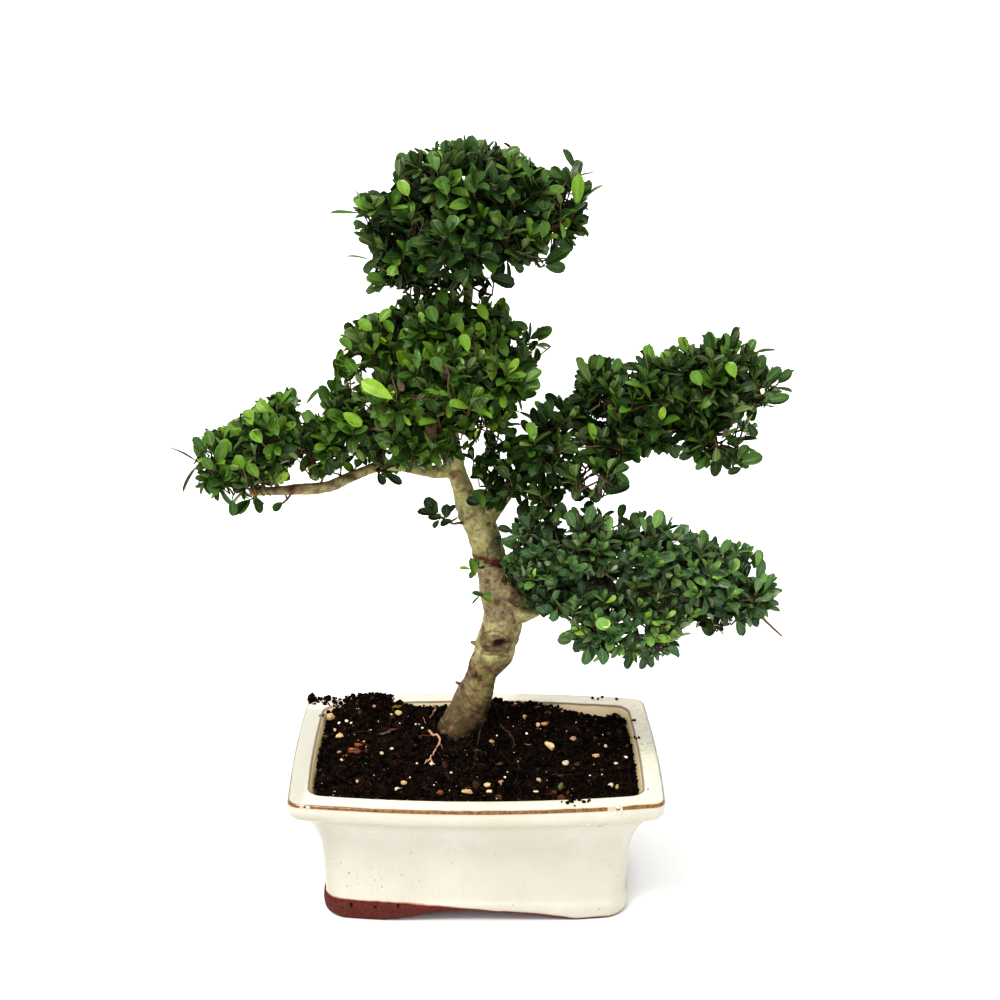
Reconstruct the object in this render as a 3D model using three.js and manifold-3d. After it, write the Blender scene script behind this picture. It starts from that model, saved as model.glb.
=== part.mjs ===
// Bonsai of a small-leaved evergreen holly in a glazed rectangular pot.
// Millimetres, +Z up. The pot's feet stand on z = 0, the pot's long side lies along X and the
// side that the tree is looked at from faces -Y. The origin is under the middle of the whole outline.
import * as THREE from "three";
import { mergeVertices } from "three/addons/utils/BufferGeometryUtils.js";
import Module from "manifold-3d";

const wasm = await Module();
wasm.setup();

// ---------------------------------------------------------------- driving dimensions
const POT_X = -4.0; // middle of the pot along X
const POT_LENGTH = 250; // rim, corner to corner, outside
const POT_WIDTH = 155.4; // rim, corner to corner, outside
const POT_HEIGHT = 101; // feet included
const LIP_WIDTH = 14.2; // flat top of the rim
const BOW_LONG = 10; // how far the long sides bow outwards in the middle
const BOW_SHORT = 2.2; // the same on the short sides
const FLOOR_UNDER = 12; // underside of the pot's floor
const FLOOR_TOP = 20; // inside of the pot's floor
const DRAIN_X = 52; // drainage holes, from the middle of the pot
const DRAIN_R = 11;
const SCREEN = 44; // side of the screens over the drainage holes
const SCREEN_T = 1.2;
const GAP = 0.3; // clearance between touching pieces
const SOIL_EDGE = 93.6; // soil height at the pot's wall
const SOIL_CROWN = 7.5; // how much higher the soil stands round the trunk
const CLUMP_LUMPS = 0.09; // unevenness of a shoot cluster, as a share of its radius

// Outer profile of the pot: [height, inset from the rim's outer edge, corner radius].
const POT_OUTSIDE = [
  [0, 22.4, 15], [2, 20.9, 15], [12.4, 20.2, 14], [13.6, 21.2, 13], [40, 20.6, 12], [56, 19.2, 12],
  [68, 16.0, 11], [77, 12.0, 11], [82, 9.2, 10], [86.2, 4.4, 8.5], [89, 1.2, 7.5], [91.4, 0.1, 7], [99.4, 0, 7], [POT_HEIGHT, 1.2, 7],
];
// The hollow: the same columns.
const POT_INSIDE = [
  [FLOOR_TOP, 33, 12], [26, 30, 12], [56, 27.5, 11], [78, 22.6, 10], [95, 16.2, 9.5], [99.6, LIP_WIDTH, 9], [POT_HEIGHT + 0.001, LIP_WIDTH - 1.0, 9], [POT_HEIGHT + 6, LIP_WIDTH - 4.5, 9],
];
// Lower edge of the long walls between the feet: [x, height], seen from the front.
const LONG_ARCH = [[-66, 0], [-52, 2.4], [-40, 5.2], [-28, 7.6], [-14, 9.2], [-2, 9.6], [14, 8.6], [30, 7.0], [44, 5.2], [58, 2.4], [70, 0]];
// The same on the short walls.
const SHORT_ARCH = [[-32, 0], [-24, 2.8], [-14, 6.2], [0, 7.6], [14, 6.2], [24, 2.8], [32, 0]];

// Trunk and limbs: [x, y, z, radius] along the middle of each.
const LIMBS = {
  trunk: [[-27.3, 33.0, 66.6, 15.5], [-22.9, 32.0, 77.8, 15.25], [-18.6, 31.0, 90.6, 14.75], [-13.5, 30.0, 105.6, 13.75], [-7.5, 29.5, 123.5, 12.75], [-2.9, 29.0, 136.4, 11.25], [0.6, 28.5, 147.6, 10.75], [4.4, 28.0, 155.7, 11.5], [8.3, 27.5, 163.7, 13.1], [11.3, 27.0, 173.2, 13.3], [13.9, 26.5, 182.7, 13.2], [14.3, 26.0, 192.8, 12.75], [12.1, 25.0, 204.6, 11.75], [9.5, 24.0, 217.1, 10.9], [7.7, 23.0, 227.9, 10.6], [5.9, 22.5, 237.0, 10.6], [3.0, 21.5, 248.5, 10.8], [-0.8, 20.5, 259.8, 10.25], [-5.6, 19.5, 268.9, 8.5], [-9.7, 18.5, 277.9, 7.3], [-12.8, 17.5, 286.9, 6.5], [-16.2, 16.5, 297.2, 5.9], [-18.5, 15.5, 307.4, 5.4], [-21.2, 14.0, 323.3, 4.9], [-22.5, 12.0, 343.3, 4.5], [-21.1, 10.0, 362.4, 4.2], [-17.9, 8.5, 383.0, 3.9], [-14.0, 7.0, 403.4, 3.5], [-10.8, 6.0, 422.0, 3.1], [-9.6, 5.0, 439.7, 2.7], [-10.9, 4.0, 459.1, 2.3], [-12.2, 3.0, 477.0, 1.8], [-11.0, 2.0, 492.1, 1.3]],
  left_branch: [[-13.8, 17.0, 295.6, 4.7], [-23.2, 15.0, 301.6, 4.0], [-35.9, 13.0, 303.6, 3.3], [-54.1, 10.0, 304.6, 3.2], [-75.0, 6.0, 301.4, 3.3], [-91.7, 3.0, 295.0, 3.4], [-105.4, 0.0, 292.3, 3.2], [-123.2, -3.0, 294.7, 3.1], [-134.5, -4.0, 293.9, 3.1], [-145.0, -6.0, 293.5, 3.1], [-153.2, -7.0, 293.8, 3.0]],
  left_fork: [[-122.1, -3.0, 294.7, 2.3], [-131.6, -3.0, 304.7, 1.8], [-145.6, -3.0, 315.8, 1.5], [-162.6, -3.0, 317.8, 1.2], [-178.2, -4.0, 315.9, 0.9]],
  right_upper: [[-2.2, 20.5, 261.3, 8.5], [5.9, 20.0, 270.9, 6.7], [13.3, 19.0, 281.4, 5.4], [21.2, 18.0, 294.0, 4.5], [34.5, 17.0, 307.2, 4.0], [51.0, 15.0, 316.3, 3.6], [70.7, 13.0, 325.5, 3.3], [90.3, 12.0, 332.8, 3.0], [113.2, 11.0, 338.8, 2.6], [136.1, 11.0, 345.8, 2.2], [157.0, 11.0, 352.8, 1.8], [176.2, 10.0, 360.0, 1.3]],
  right_lower: [[12.2, 26.0, 192.0, 10.0], [24.7, 24.0, 194.5, 8.5], [35.0, 21.0, 198.8, 6.75], [45.2, 17.0, 205.9, 5.5], [59.9, 12.0, 213.3, 4.5], [80.0, 6.0, 218.8, 3.9], [103.4, 1.0, 222.5, 3.3], [126.8, -2.0, 223.8, 2.8], [150.6, -3.0, 222.8, 2.3], [171.0, -4.0, 220.4, 1.8], [186.1, -5.0, 214.2, 1.3]],
  bare_twig: [[181.3, -5.0, 215.7, 1.2], [189.5, -5.0, 204.6, 0.95], [197.5, -5.0, 196.4, 0.8], [204.8, -5.0, 189.7, 0.6]],
  right_middle: [[7.7, 23.0, 230.2, 5.5], [18.6, 22.0, 232.8, 4.2], [32.2, 18.0, 237.4, 3.2], [52.4, 12.0, 245.8, 2.6], [79.0, 6.0, 251.8, 2.1], [105.6, 0.0, 252.1, 1.6], [124.1, -4.0, 250.8, 1.1]],
  mid_low: [[-18.5, 15.5, 306.0, 3.5], [-34.3, 5.0, 320.6, 2.5], [-51.6, -6.0, 333.6, 2.1], [-70.8, -10.0, 338.9, 1.6], [-85.7, -10.0, 338.8, 1.1]],
  mid_left: [[-21.8, 11.5, 348.3, 3.2], [-35.3, 0.0, 367.1, 2.5], [-51.0, -8.0, 382.6, 1.9], [-63.6, -10.0, 392.2, 1.2]],
  mid_right: [[-20.5, 9.5, 365.9, 3.0], [-6.8, 2.0, 378.8, 2.3], [6.0, -4.0, 388.4, 1.7], [13.6, -6.0, 395.6, 1.1]],
  mid_front: [[-21.8, 12.5, 334.9, 3.0], [-19.0, -5.0, 351.1, 2.2], [-16.9, -25.0, 368.9, 1.6], [-16.8, -38.0, 381.0, 1.0]],
  mid_back: [[-21.8, 11.0, 353.2, 3.2], [-22.7, 30.0, 357.5, 2.5], [-19.6, 48.0, 359.5, 1.7], [-16.3, 60.0, 363.3, 1.1]],
  top_left: [[-10.3, 4.2, 455.3, 2.2], [-28.6, 2.0, 468.2, 1.9], [-44.0, -4.0, 476.7, 1.5], [-54.9, -10.0, 483.9, 1.0]],
  top_right: [[-10.9, 4.0, 461.7, 2.1], [6.0, 0.0, 474.5, 1.8], [24.6, -4.0, 480.9, 1.4], [41.3, -6.0, 480.1, 0.95]],
  top_back: [[-9.6, 4.6, 448.8, 2.3], [-12.3, 22.0, 459.6, 1.8], [-14.3, 40.0, 469.3, 1.2]],
  top_front: [[-11.0, 3.6, 466.8, 1.9], [-13.4, -14.0, 468.7, 1.5], [-15.1, -30.0, 469.2, 1.0]],
  sprig_left: [[-11.7, 18.0, 262.9, 1.6], [-16.1, 11.0, 265.5, 1.0], [-20.7, 7.0, 266.6, 0.75], [-26.5, 4.0, 270.9, 0.65], [-31.1, 2.0, 273.8, 0.55]],
  sprout_upper: [[4.2, 20.0, 232.9, 1.5], [-1.4, 10.0, 233.2, 0.8], [-6.2, 6.0, 236.2, 0.6]],
  sprout_lower: [[7.8, 20.0, 205.2, 1.5], [2.2, 11.0, 210.6, 0.8], [-1.3, 8.0, 213.7, 0.55]],
  spur_low: [[-5.7, 27.0, 132.6, 2.5], [-13.6, 24.0, 137.6, 1.6], [-18.5, 22.0, 141.3, 0.9]],
  spur_knee: [[1.2, 26.0, 168.2, 3.5], [-5.5, 24.0, 170.7, 1.7], [-8.0, 23.0, 171.9, 0.9]],
};
// Twigs that carry one shoot cluster each.
const TWIGS = {
  twig_top_2: [[-11.8, 2.7, 482.0, 1.31], [-12.7, -2.9, 495.4, 1.18], [-16.1, -10.9, 496.4, 0.98], [-18.9, -20.0, 502.8, 0.75]],
  twig_top_3: [[15.3, -2.0, 477.7, 1.28], [21.4, -5.9, 484.1, 1.15], [15.7, -9.2, 490.8, 0.96], [16.0, -14.0, 497.3, 0.75]],
  twig_top_5: [[-33.7, 0.0, 471.0, 1.41], [-43.6, -3.6, 470.8, 1.27], [-44.9, -3.6, 461.4, 1.06], [-52.3, -6.0, 455.7, 0.78]],
  twig_top_7: [[9.1, -0.7, 475.6, 1.39], [18.3, -7.8, 476.0, 1.25], [14.1, -15.9, 469.4, 1.04], [17.4, -26.0, 466.2, 0.76]],
  twig_top_9: [[-13.3, 31.0, 464.4, 1.2], [-8.6, 40.5, 470.3, 1.08], [1.7, 37.6, 471.7, 0.9], [11.7, 42.0, 473.7, 0.75]],
  twig_top_10: [[-11.8, 2.7, 482.0, 1.31], [-9.4, 6.9, 492.2, 1.18], [-6.8, 15.5, 491.5, 0.98], [-3.5, 24.0, 495.1, 0.75]],
  twig_mid_2: [[-15.3, 7.5, 396.6, 1.9], [-17.0, 1.7, 408.8, 1.71], [-24.7, -6.6, 407.8, 1.42], [-30.9, -16.0, 412.1, 1.04]],
  twig_mid_4: [[-0.4, -1.0, 383.6, 1.6], [6.8, -5.3, 385.0, 1.44], [8.1, -7.6, 378.7, 1.2], [13.7, -12.0, 376.0, 0.88]],
  twig_mid_6: [[-43.2, -4.0, 374.8, 1.76], [-51.3, -12.0, 378.6, 1.58], [-50.9, -18.4, 370.4, 1.32], [-56.1, -28.0, 368.3, 0.97]],
  twig_mid_8: [[-45.8, -2.3, 329.3, 1.79], [-48.6, -8.8, 333.9, 1.61], [-42.4, -12.9, 334.9, 1.34], [-40.1, -20.0, 336.7, 0.98]],
  twig_mid_9: [[-19.9, 0.8, 345.7, 1.9], [-15.2, -5.3, 350.1, 1.71], [-8.9, -4.5, 348.4, 1.42], [-1.5, -8.0, 348.1, 1.04]],
  twig_mid_10: [[-22.6, 26.8, 356.8, 1.9], [-29.4, 41.9, 363.6, 1.71], [-39.7, 38.3, 371.0, 1.42], [-51.2, 46.0, 376.5, 1.04]],
  twig_mid_12: [[-23.8, 12.0, 310.9, 1.9], [-38.3, 12.2, 320.3, 1.71], [-42.7, 26.4, 320.0, 1.42], [-55.4, 36.0, 321.9, 1.04]],
  twig_left_2: [[-136.3, -3.0, 308.4, 1.36], [-144.7, -5.0, 321.8, 1.22], [-138.3, -8.4, 330.6, 1.02], [-139.7, -12.0, 341.9, 0.75]],
  twig_left_3: [[-138.6, -3.0, 310.2, 1.32], [-144.6, -6.3, 312.9, 1.19], [-144.2, -12.0, 310.2, 0.99], [-148.0, -18.0, 308.4, 0.75]],
  twig_left_4: [[-123.7, -3.0, 296.4, 1.77], [-127.1, -2.8, 308.4, 1.6], [-117.5, -2.4, 314.7, 1.33], [-113.4, -2.0, 323.9, 0.98]],
  twig_left_5: [[-138.6, -3.0, 310.2, 1.32], [-151.0, 5.6, 317.5, 1.19], [-147.4, 20.4, 312.7, 0.99], [-153.3, 36.0, 310.1, 0.75]],
  twig_right_upper_1: [[40.0, 16.3, 310.2, 1.9], [46.9, 10.6, 317.7, 1.71], [40.3, 2.9, 322.1, 1.42], [40.5, -6.0, 327.2, 1.04]],
  twig_right_upper_2: [[74.0, 12.8, 326.7, 1.9], [84.5, 8.6, 338.3, 1.71], [74.6, 2.7, 350.3, 1.42], [75.0, -4.0, 362.1, 1.04]],
  twig_right_upper_3: [[64.1, 13.7, 322.4, 1.9], [74.2, 6.3, 326.4, 1.71], [70.1, -4.1, 325.1, 1.42], [74.0, -16.0, 323.7, 1.04]],
  twig_right_upper_4: [[105.6, 11.3, 336.8, 1.9], [118.0, 5.3, 347.2, 1.71], [108.2, -3.9, 359.6, 1.42], [110.0, -14.0, 370.5, 1.04]],
  twig_right_upper_6: [[139.6, 11.0, 347.0, 1.71], [151.0, 6.4, 357.0, 1.54], [143.6, -1.6, 367.5, 1.28], [146.2, -10.0, 377.5, 0.94]],
  twig_right_upper_8: [[139.6, 11.0, 347.0, 1.71], [147.2, 8.1, 346.6, 1.54], [146.3, 3.2, 340.9, 1.28], [150.7, -2.0, 337.4, 0.94]],
  twig_right_upper_9: [[77.2, 12.7, 327.9, 1.9], [88.9, 19.1, 332.7, 1.71], [84.7, 31.5, 333.9, 1.42], [89.6, 44.0, 334.4, 1.04]],
  twig_right_upper_10: [[128.5, 11.0, 343.5, 1.87], [142.6, 18.7, 347.1, 1.68], [138.6, 32.0, 347.0, 1.4], [145.3, 46.0, 345.4, 1.03]],
  twig_right_upper_12: [[19.9, 18.2, 291.9, 1.9], [23.3, 13.3, 299.5, 1.71], [20.0, 6.1, 299.4, 1.42], [20.0, -2.0, 302.2, 1.04]],
  twig_right_lower_1: [[38.9, 16.0, 240.2, 1.9], [45.7, 9.6, 247.0, 1.71], [39.1, 4.0, 252.7, 1.42], [39.2, -4.0, 258.4, 1.04]],
  twig_right_lower_2: [[65.7, 9.0, 248.8, 1.88], [76.8, -0.5, 254.6, 1.69], [69.0, -10.8, 260.7, 1.41], [71.2, -24.0, 264.9, 1.03]],
  twig_right_lower_3: [[101.2, 1.0, 252.0, 1.35], [108.9, -5.1, 253.8, 1.21], [104.8, -11.6, 258.2, 1.01], [107.3, -20.0, 259.9, 0.75]],
  twig_right_lower_4: [[134.7, -2.3, 223.5, 1.9], [143.4, -5.2, 226.9, 1.71], [140.8, -9.3, 235.1, 1.42], [144.8, -14.0, 240.5, 1.04]],
  twig_right_lower_6: [[52.6, 14.5, 209.6, 1.9], [60.4, 5.6, 217.1, 1.71], [52.7, -2.6, 221.2, 1.42], [52.8, -14.0, 225.7, 1.04]],
  twig_right_lower_7: [[73.3, 8.0, 217.0, 1.9], [85.8, -4.6, 219.1, 1.71], [77.3, -17.2, 217.0, 1.42], [79.9, -34.0, 212.7, 1.04]],
  twig_right_lower_8: [[103.4, 1.0, 222.5, 1.9], [113.9, -6.4, 220.8, 1.71], [109.0, -15.2, 214.9, 1.42], [112.7, -26.0, 210.7, 1.04]],
  twig_right_lower_9: [[66.6, 10.0, 215.1, 1.9], [78.2, 13.3, 219.4, 1.71], [75.8, 25.6, 222.6, 1.42], [82.0, 36.0, 224.4, 1.04]],
  twig_right_lower_10: [[122.9, -1.5, 223.6, 1.9], [139.1, 5.2, 221.5, 1.71], [134.1, 21.0, 215.2, 1.42], [141.6, 36.0, 211.0, 1.04]],
};
// Roots under the soil.
const ROOTS = {
  root_right: [[-20, 32, 80, 10], [6, 27, 76, 7.5], [30, 18, 72, 5], [52, 6, 68, 3]],
  root_left: [[-22, 32, 82, 10], [-46, 22, 78, 7], [-66, 8, 72, 4.5], [-82, -6, 68, 2.8]],
  root_front: [[-20, 30, 80, 9], [-18, 6, 76, 6.5], [-10, -18, 70, 4.2], [-6, -38, 66, 2.6]],
  root_back: [[-20, 34, 78, 9], [-14, 46, 70, 6], [2, 54, 60, 3.6]],
  root_down: [[-24, 32, 80, 11], [-28, 26, 60, 6.5], [-30, 14, 44, 3.4]],
};
// Shoot clusters: [x, y, z, half length x, half depth y, half height z].
const CLUMPS = {
  top_1: [-54.2, -10.0, 488.8, 24.7, 32.0, 23.5],
  top_2: [-18.9, -20.0, 502.8, 25.6, 32.0, 21.3],
  top_3: [16.0, -14.0, 497.3, 24.6, 32.0, 21.5],
  top_4: [41.6, -2.0, 478.2, 21.3, 32.0, 25.0],
  top_5: [-52.3, -6.0, 455.7, 25.1, 32.0, 23.8],
  top_6: [-16.9, -36.0, 466.6, 25.5, 28.0, 25.5],
  top_7: [17.4, -26.0, 466.2, 24.6, 30.0, 23.3],
  top_8: [-31.9, 40.0, 470.5, 29.9, 34.0, 29.9],
  top_9: [11.7, 42.0, 473.7, 31.3, 34.0, 30.0],
  top_10: [-3.5, 24.0, 495.1, 26.7, 28.0, 21.6],
  mid_1: [-65.5, -10.0, 395.5, 24.2, 32.0, 19.1],
  mid_2: [-30.9, -16.0, 412.1, 26.5, 34.0, 18.9],
  mid_3: [2.0, -6.0, 400.7, 20.4, 32.0, 19.8],
  mid_4: [13.7, -12.0, 376.0, 19.2, 30.0, 18.6],
  mid_5: [-20.5, -42.0, 385.3, 24.8, 28.0, 23.6],
  mid_6: [-56.1, -28.0, 368.3, 24.0, 30.0, 21.5],
  mid_7: [-85.9, -6.0, 341.6, 20.1, 30.0, 23.4],
  mid_8: [-40.1, -20.0, 336.7, 25.7, 30.0, 19.3],
  mid_9: [-1.5, -8.0, 348.1, 18.2, 26.0, 23.3],
  mid_10: [-51.2, 46.0, 376.5, 33.6, 34.0, 31.0],
  mid_11: [-8.0, 52.0, 359.8, 35.4, 36.0, 35.4],
  mid_12: [-55.4, 36.0, 321.9, 32.6, 34.0, 21.7],
  left_1: [-174.0, -2.0, 313.9, 18.4, 28.0, 20.4],
  left_2: [-139.7, -12.0, 341.9, 19.4, 30.0, 19.4],
  left_3: [-148.0, -18.0, 308.4, 18.8, 28.0, 16.9],
  left_4: [-113.4, -2.0, 323.9, 17.7, 28.0, 17.7],
  left_5: [-153.3, 36.0, 310.1, 29.9, 28.0, 24.5],
  right_upper_1: [40.5, -6.0, 327.2, 20.9, 30.0, 22.2],
  right_upper_2: [75.0, -4.0, 362.1, 22.1, 30.0, 19.5],
  right_upper_3: [74.0, -16.0, 323.7, 23.4, 30.0, 23.4],
  right_upper_4: [110.0, -14.0, 370.5, 21.8, 30.0, 19.2],
  right_upper_5: [109.5, -6.0, 338.5, 19.6, 28.0, 15.7],
  right_upper_6: [146.2, -10.0, 377.5, 21.9, 32.0, 20.6],
  right_upper_7: [175.9, 2.0, 365.0, 19.6, 28.0, 14.4],
  right_upper_8: [150.7, -2.0, 337.4, 24.9, 30.0, 18.4],
  right_upper_9: [89.6, 44.0, 334.4, 36.8, 30.0, 25.9],
  right_upper_10: [145.3, 46.0, 345.4, 36.8, 30.0, 25.9],
  right_upper_12: [20.0, -2.0, 302.2, 15.9, 24.0, 15.9],
  right_lower_1: [39.2, -4.0, 258.4, 18.7, 28.0, 21.4],
  right_lower_2: [71.2, -24.0, 264.9, 22.3, 30.0, 19.7],
  right_lower_3: [107.3, -20.0, 259.9, 23.8, 30.0, 20.5],
  right_lower_4: [144.8, -14.0, 240.5, 24.1, 32.0, 21.4],
  right_lower_5: [177.9, -6.0, 224.2, 19.6, 30.0, 22.3],
  right_lower_6: [52.8, -14.0, 225.7, 18.8, 28.0, 17.4],
  right_lower_7: [79.9, -34.0, 212.7, 23.8, 30.0, 22.5],
  right_lower_8: [112.7, -26.0, 210.7, 24.0, 32.0, 25.4],
  right_lower_9: [82.0, 36.0, 224.4, 37.8, 32.0, 29.4],
  right_lower_10: [141.6, 36.0, 211.0, 40.8, 32.0, 28.1],
  left_6: [-195.9, -6.0, 320.6, 9.8, 9, 7.2],
  left_7: [-194.7, -4.0, 299.9, 5.3, 7, 6.6],
  right_upper_11: [196.6, 2.0, 369.8, 5.2, 8, 7.2],
};
// Small leafy sprouts, the same columns.
const SPROUTS = {
  sprig_left_leaves: [-34.4, 1.0, 277.0, 8.7, 8, 6.7],
  sprout_upper_leaves: [-9.6, 4.0, 237.0, 4.7, 6, 4.7],
  sprout_lower_leaves: [-1.3, 6.0, 214.9, 4.8, 6, 4.1],
};

const COLOUR = {
  glaze: 0xe9e6d6, wood: 0x9a8f6c, soil: 0x1d1510, screen: 0x2c2c2a,
  leaf: 0x2c5421, leafLight: 0x3f7427, leafBlue: 0x2a4e30,
};

// ---------------------------------------------------------------- geometry helpers
function solid(positions, triangles) {
  return new wasm.Manifold(new wasm.Mesh({
    numProp: 3,
    vertProperties: new Float32Array(positions),
    triVerts: new Uint32Array(triangles),
  }));
}

function solidOf(geometry) {
  const g = geometry.clone();
  for (const name of Object.keys(g.attributes)) if (name !== "position") g.deleteAttribute(name);
  const merged = mergeVertices(g, 1e-4);
  return solid(merged.attributes.position.array, merged.index.array);
}

function toMesh(name, body, colour, roughness) {
  const m = body.getMesh();
  const g = new THREE.BufferGeometry();
  const p = new Float32Array((m.vertProperties.length / m.numProp) * 3);
  for (let i = 0; i < p.length / 3; i++)
    for (let k = 0; k < 3; k++) p[3 * i + k] = m.vertProperties[i * m.numProp + k];
  g.setAttribute("position", new THREE.BufferAttribute(p, 3));
  g.setIndex(new THREE.BufferAttribute(new Uint32Array(m.triVerts), 1));
  g.computeVertexNormals();
  const mesh = new THREE.Mesh(g, new THREE.MeshStandardMaterial({ color: colour, roughness, metalness: 0 }));
  mesh.name = name;
  return mesh;
}

// The largest of the separate bodies that a cut leaves.
function largest(body) {
  const bodies = body.decompose();
  if (!bodies.length) throw new Error("a cut left nothing");
  return bodies.sort((a, b) => b.volume() - a.volume())[0];
}

// Stacked closed rings, all with the same number of points, counter-clockwise seen from above.
function loft(rings) {
  const n = rings[0].length, positions = [], triangles = [];
  for (const ring of rings) for (const p of ring) positions.push(...p);
  for (let k = 0; k + 1 < rings.length; k++)
    for (let i = 0; i < n; i++) {
      const a = k * n + i, b = k * n + ((i + 1) % n), c = a + n, d = b + n;
      triangles.push(a, b, d, a, d, c);
    }
  for (const [k, up] of [[0, false], [rings.length - 1, true]]) {
    const middle = positions.length / 3, ring = rings[k];
    positions.push(...[0, 1, 2].map((axis) => ring.reduce((s, p) => s + p[axis], 0) / n));
    for (let i = 0; i < n; i++) {
      const a = k * n + i, b = k * n + ((i + 1) % n);
      triangles.push(...(up ? [a, b, middle] : [b, a, middle]));
    }
  }
  return solid(positions, triangles);
}

// Plan of the pot at one height: a rectangle with round corners whose sides bow outwards.
function potRing(z, inset, corner, bowShare = 1) {
  const a = POT_LENGTH / 2 - inset, b = POT_WIDTH / 2 - inset, ring = [];
  const arcs = [[a - corner, b - corner, 0], [-(a - corner), b - corner, 90], [-(a - corner), -(b - corner), 180], [a - corner, -(b - corner), 270]];
  const along = [6, 4, 6, 4];
  arcs.forEach(([cx, cy, start], k) => {
    for (let i = 0; i <= 3; i++) {
      const t = THREE.MathUtils.degToRad(start + 30 * i);
      ring.push([cx + corner * Math.cos(t), cy + corner * Math.sin(t)]);
    }
    const [nx, ny, ns] = arcs[(k + 1) % 4], t = THREE.MathUtils.degToRad(ns);
    const from = ring[ring.length - 1], to = [nx + corner * Math.cos(t), ny + corner * Math.sin(t)];
    for (let i = 1; i < along[k]; i++)
      ring.push([from[0] + ((to[0] - from[0]) * i) / along[k], from[1] + ((to[1] - from[1]) * i) / along[k]]);
  });
  return ring.map(([x, y]) => {
    const ex = x / a, ey = y / b;
    return [
      POT_X + x + Math.sign(x) * BOW_SHORT * bowShare * Math.max(0, 1 - ey * ey) * Math.min(1, Math.abs(ex) * 1.0),
      y + Math.sign(y) * BOW_LONG * bowShare * Math.max(0, 1 - ex * ex) * Math.min(1, Math.abs(ey) * 1.0),
      z,
    ];
  });
}

// A closed tapering tube along a smooth line through [x, y, z, radius] points.
function limb(points, sides, step, grow = 0) {
  const v = points.map((p) => new THREE.Vector3(p[0], p[1], p[2]));
  const curve = new THREE.CatmullRomCurve3(v, false, "centripetal");
  const stations = Math.max(4, Math.ceil(curve.getLength() / step) + 1);
  const frames = { t: [], n: [], b: [] };
  const rings = [];
  let normal = null;
  for (let i = 0; i < stations; i++) {
    const u = i / (stations - 1), f = u * (points.length - 1);
    const k = Math.min(points.length - 2, Math.floor(f)), w = f - k;
    const at = curve.getPoint(u), tangent = curve.getTangent(u);
    const r = points[k][3] * (1 - w) + points[k + 1][3] * w + grow;
    if (!normal) normal = new THREE.Vector3(1, 0, 0).projectOnPlane(tangent).normalize();
    else normal = normal.clone().projectOnPlane(tangent).normalize();
    const side = new THREE.Vector3().crossVectors(tangent, normal);
    if (grow) {
      if (i === 0) at.addScaledVector(tangent, -grow);
      if (i === stations - 1) at.addScaledVector(tangent, grow);
    }
    const ring = [];
    for (let j = 0; j < sides; j++) {
      const a = (2 * Math.PI * j) / sides;
      const p = at.clone().addScaledVector(normal, r * Math.cos(a)).addScaledVector(side, r * Math.sin(a));
      ring.push([p.x, p.y, p.z]);
    }
    rings.push(ring);
  }
  return loft(rings);
}

// A closed outline in a plane, pushed straight through from one side to the other.
function prism(outline, depth, place) {
  const shape = new THREE.Shape(outline.map(([x, y]) => new THREE.Vector2(x, y)));
  const g = new THREE.ExtrudeGeometry(shape, { depth, bevelEnabled: false, steps: 1 });
  g.applyMatrix4(place);
  return solidOf(g);
}

// ---------------------------------------------------------------- pot
let pot = loft(POT_OUTSIDE.map(([z, inset, corner]) => potRing(z, inset, corner, 1 - inset / 90)));
pot = pot.subtract(loft(POT_INSIDE.map(([z, inset, corner]) => potRing(z, inset, corner, 1 - inset / 90))));
// the recess under the floor leaves the feet standing at the four corners
pot = pot.subtract(loft([[-2, 35, 8], [FLOOR_UNDER - 2, 37, 8], [FLOOR_UNDER, 40, 7]].map(([z, inset, corner]) => potRing(z, inset, corner, 0))));
const archOutline = (arch) => [...arch, [arch[arch.length - 1][0], -2], [arch[0][0], -2]].reverse();
pot = pot.subtract(prism(archOutline(LONG_ARCH), 260,
  new THREE.Matrix4().makeTranslation(POT_X, 130, 0).multiply(new THREE.Matrix4().makeRotationX(Math.PI / 2))));
pot = pot.subtract(prism(archOutline(SHORT_ARCH), 320,
  new THREE.Matrix4().makeTranslation(POT_X - 160, 0, 0).multiply(new THREE.Matrix4().set(0, 0, 1, 0, 1, 0, 0, 0, 0, 1, 0, 0, 0, 0, 0, 1))));
for (const x of [-DRAIN_X, DRAIN_X]) {
  const hole = new THREE.CylinderGeometry(DRAIN_R, DRAIN_R, 40, 24, 1);
  hole.rotateX(Math.PI / 2);
  hole.translate(POT_X + x, 0, FLOOR_TOP - 4);
  pot = pot.subtract(solidOf(hole));
}
pot = largest(pot);

// ---------------------------------------------------------------- screens over the drainage holes
const screenBox = (sx, sy, sz, x, y) => solidOf(new THREE.BoxGeometry(sx, sy, sz).translate(x, y, FLOOR_TOP + GAP + SCREEN_T / 2));
const screens = [["drain_screen_left", -DRAIN_X], ["drain_screen_right", DRAIN_X]].map(([name, x]) => {
  const n = 4, pitch = SCREEN / (n + 0.4), windows = [];
  for (let i = 0; i < n; i++)
    for (let j = 0; j < n; j++)
      windows.push(screenBox(pitch * 0.72, pitch * 0.72, 3 * SCREEN_T, POT_X + x + (i - (n - 1) / 2) * pitch, (j - (n - 1) / 2) * pitch));
  const plate = screenBox(SCREEN, SCREEN, SCREEN_T, POT_X + x, 0).subtract(wasm.Manifold.union(windows));
  return toMesh(name, plate, COLOUR.screen, 0.6);
});

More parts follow.
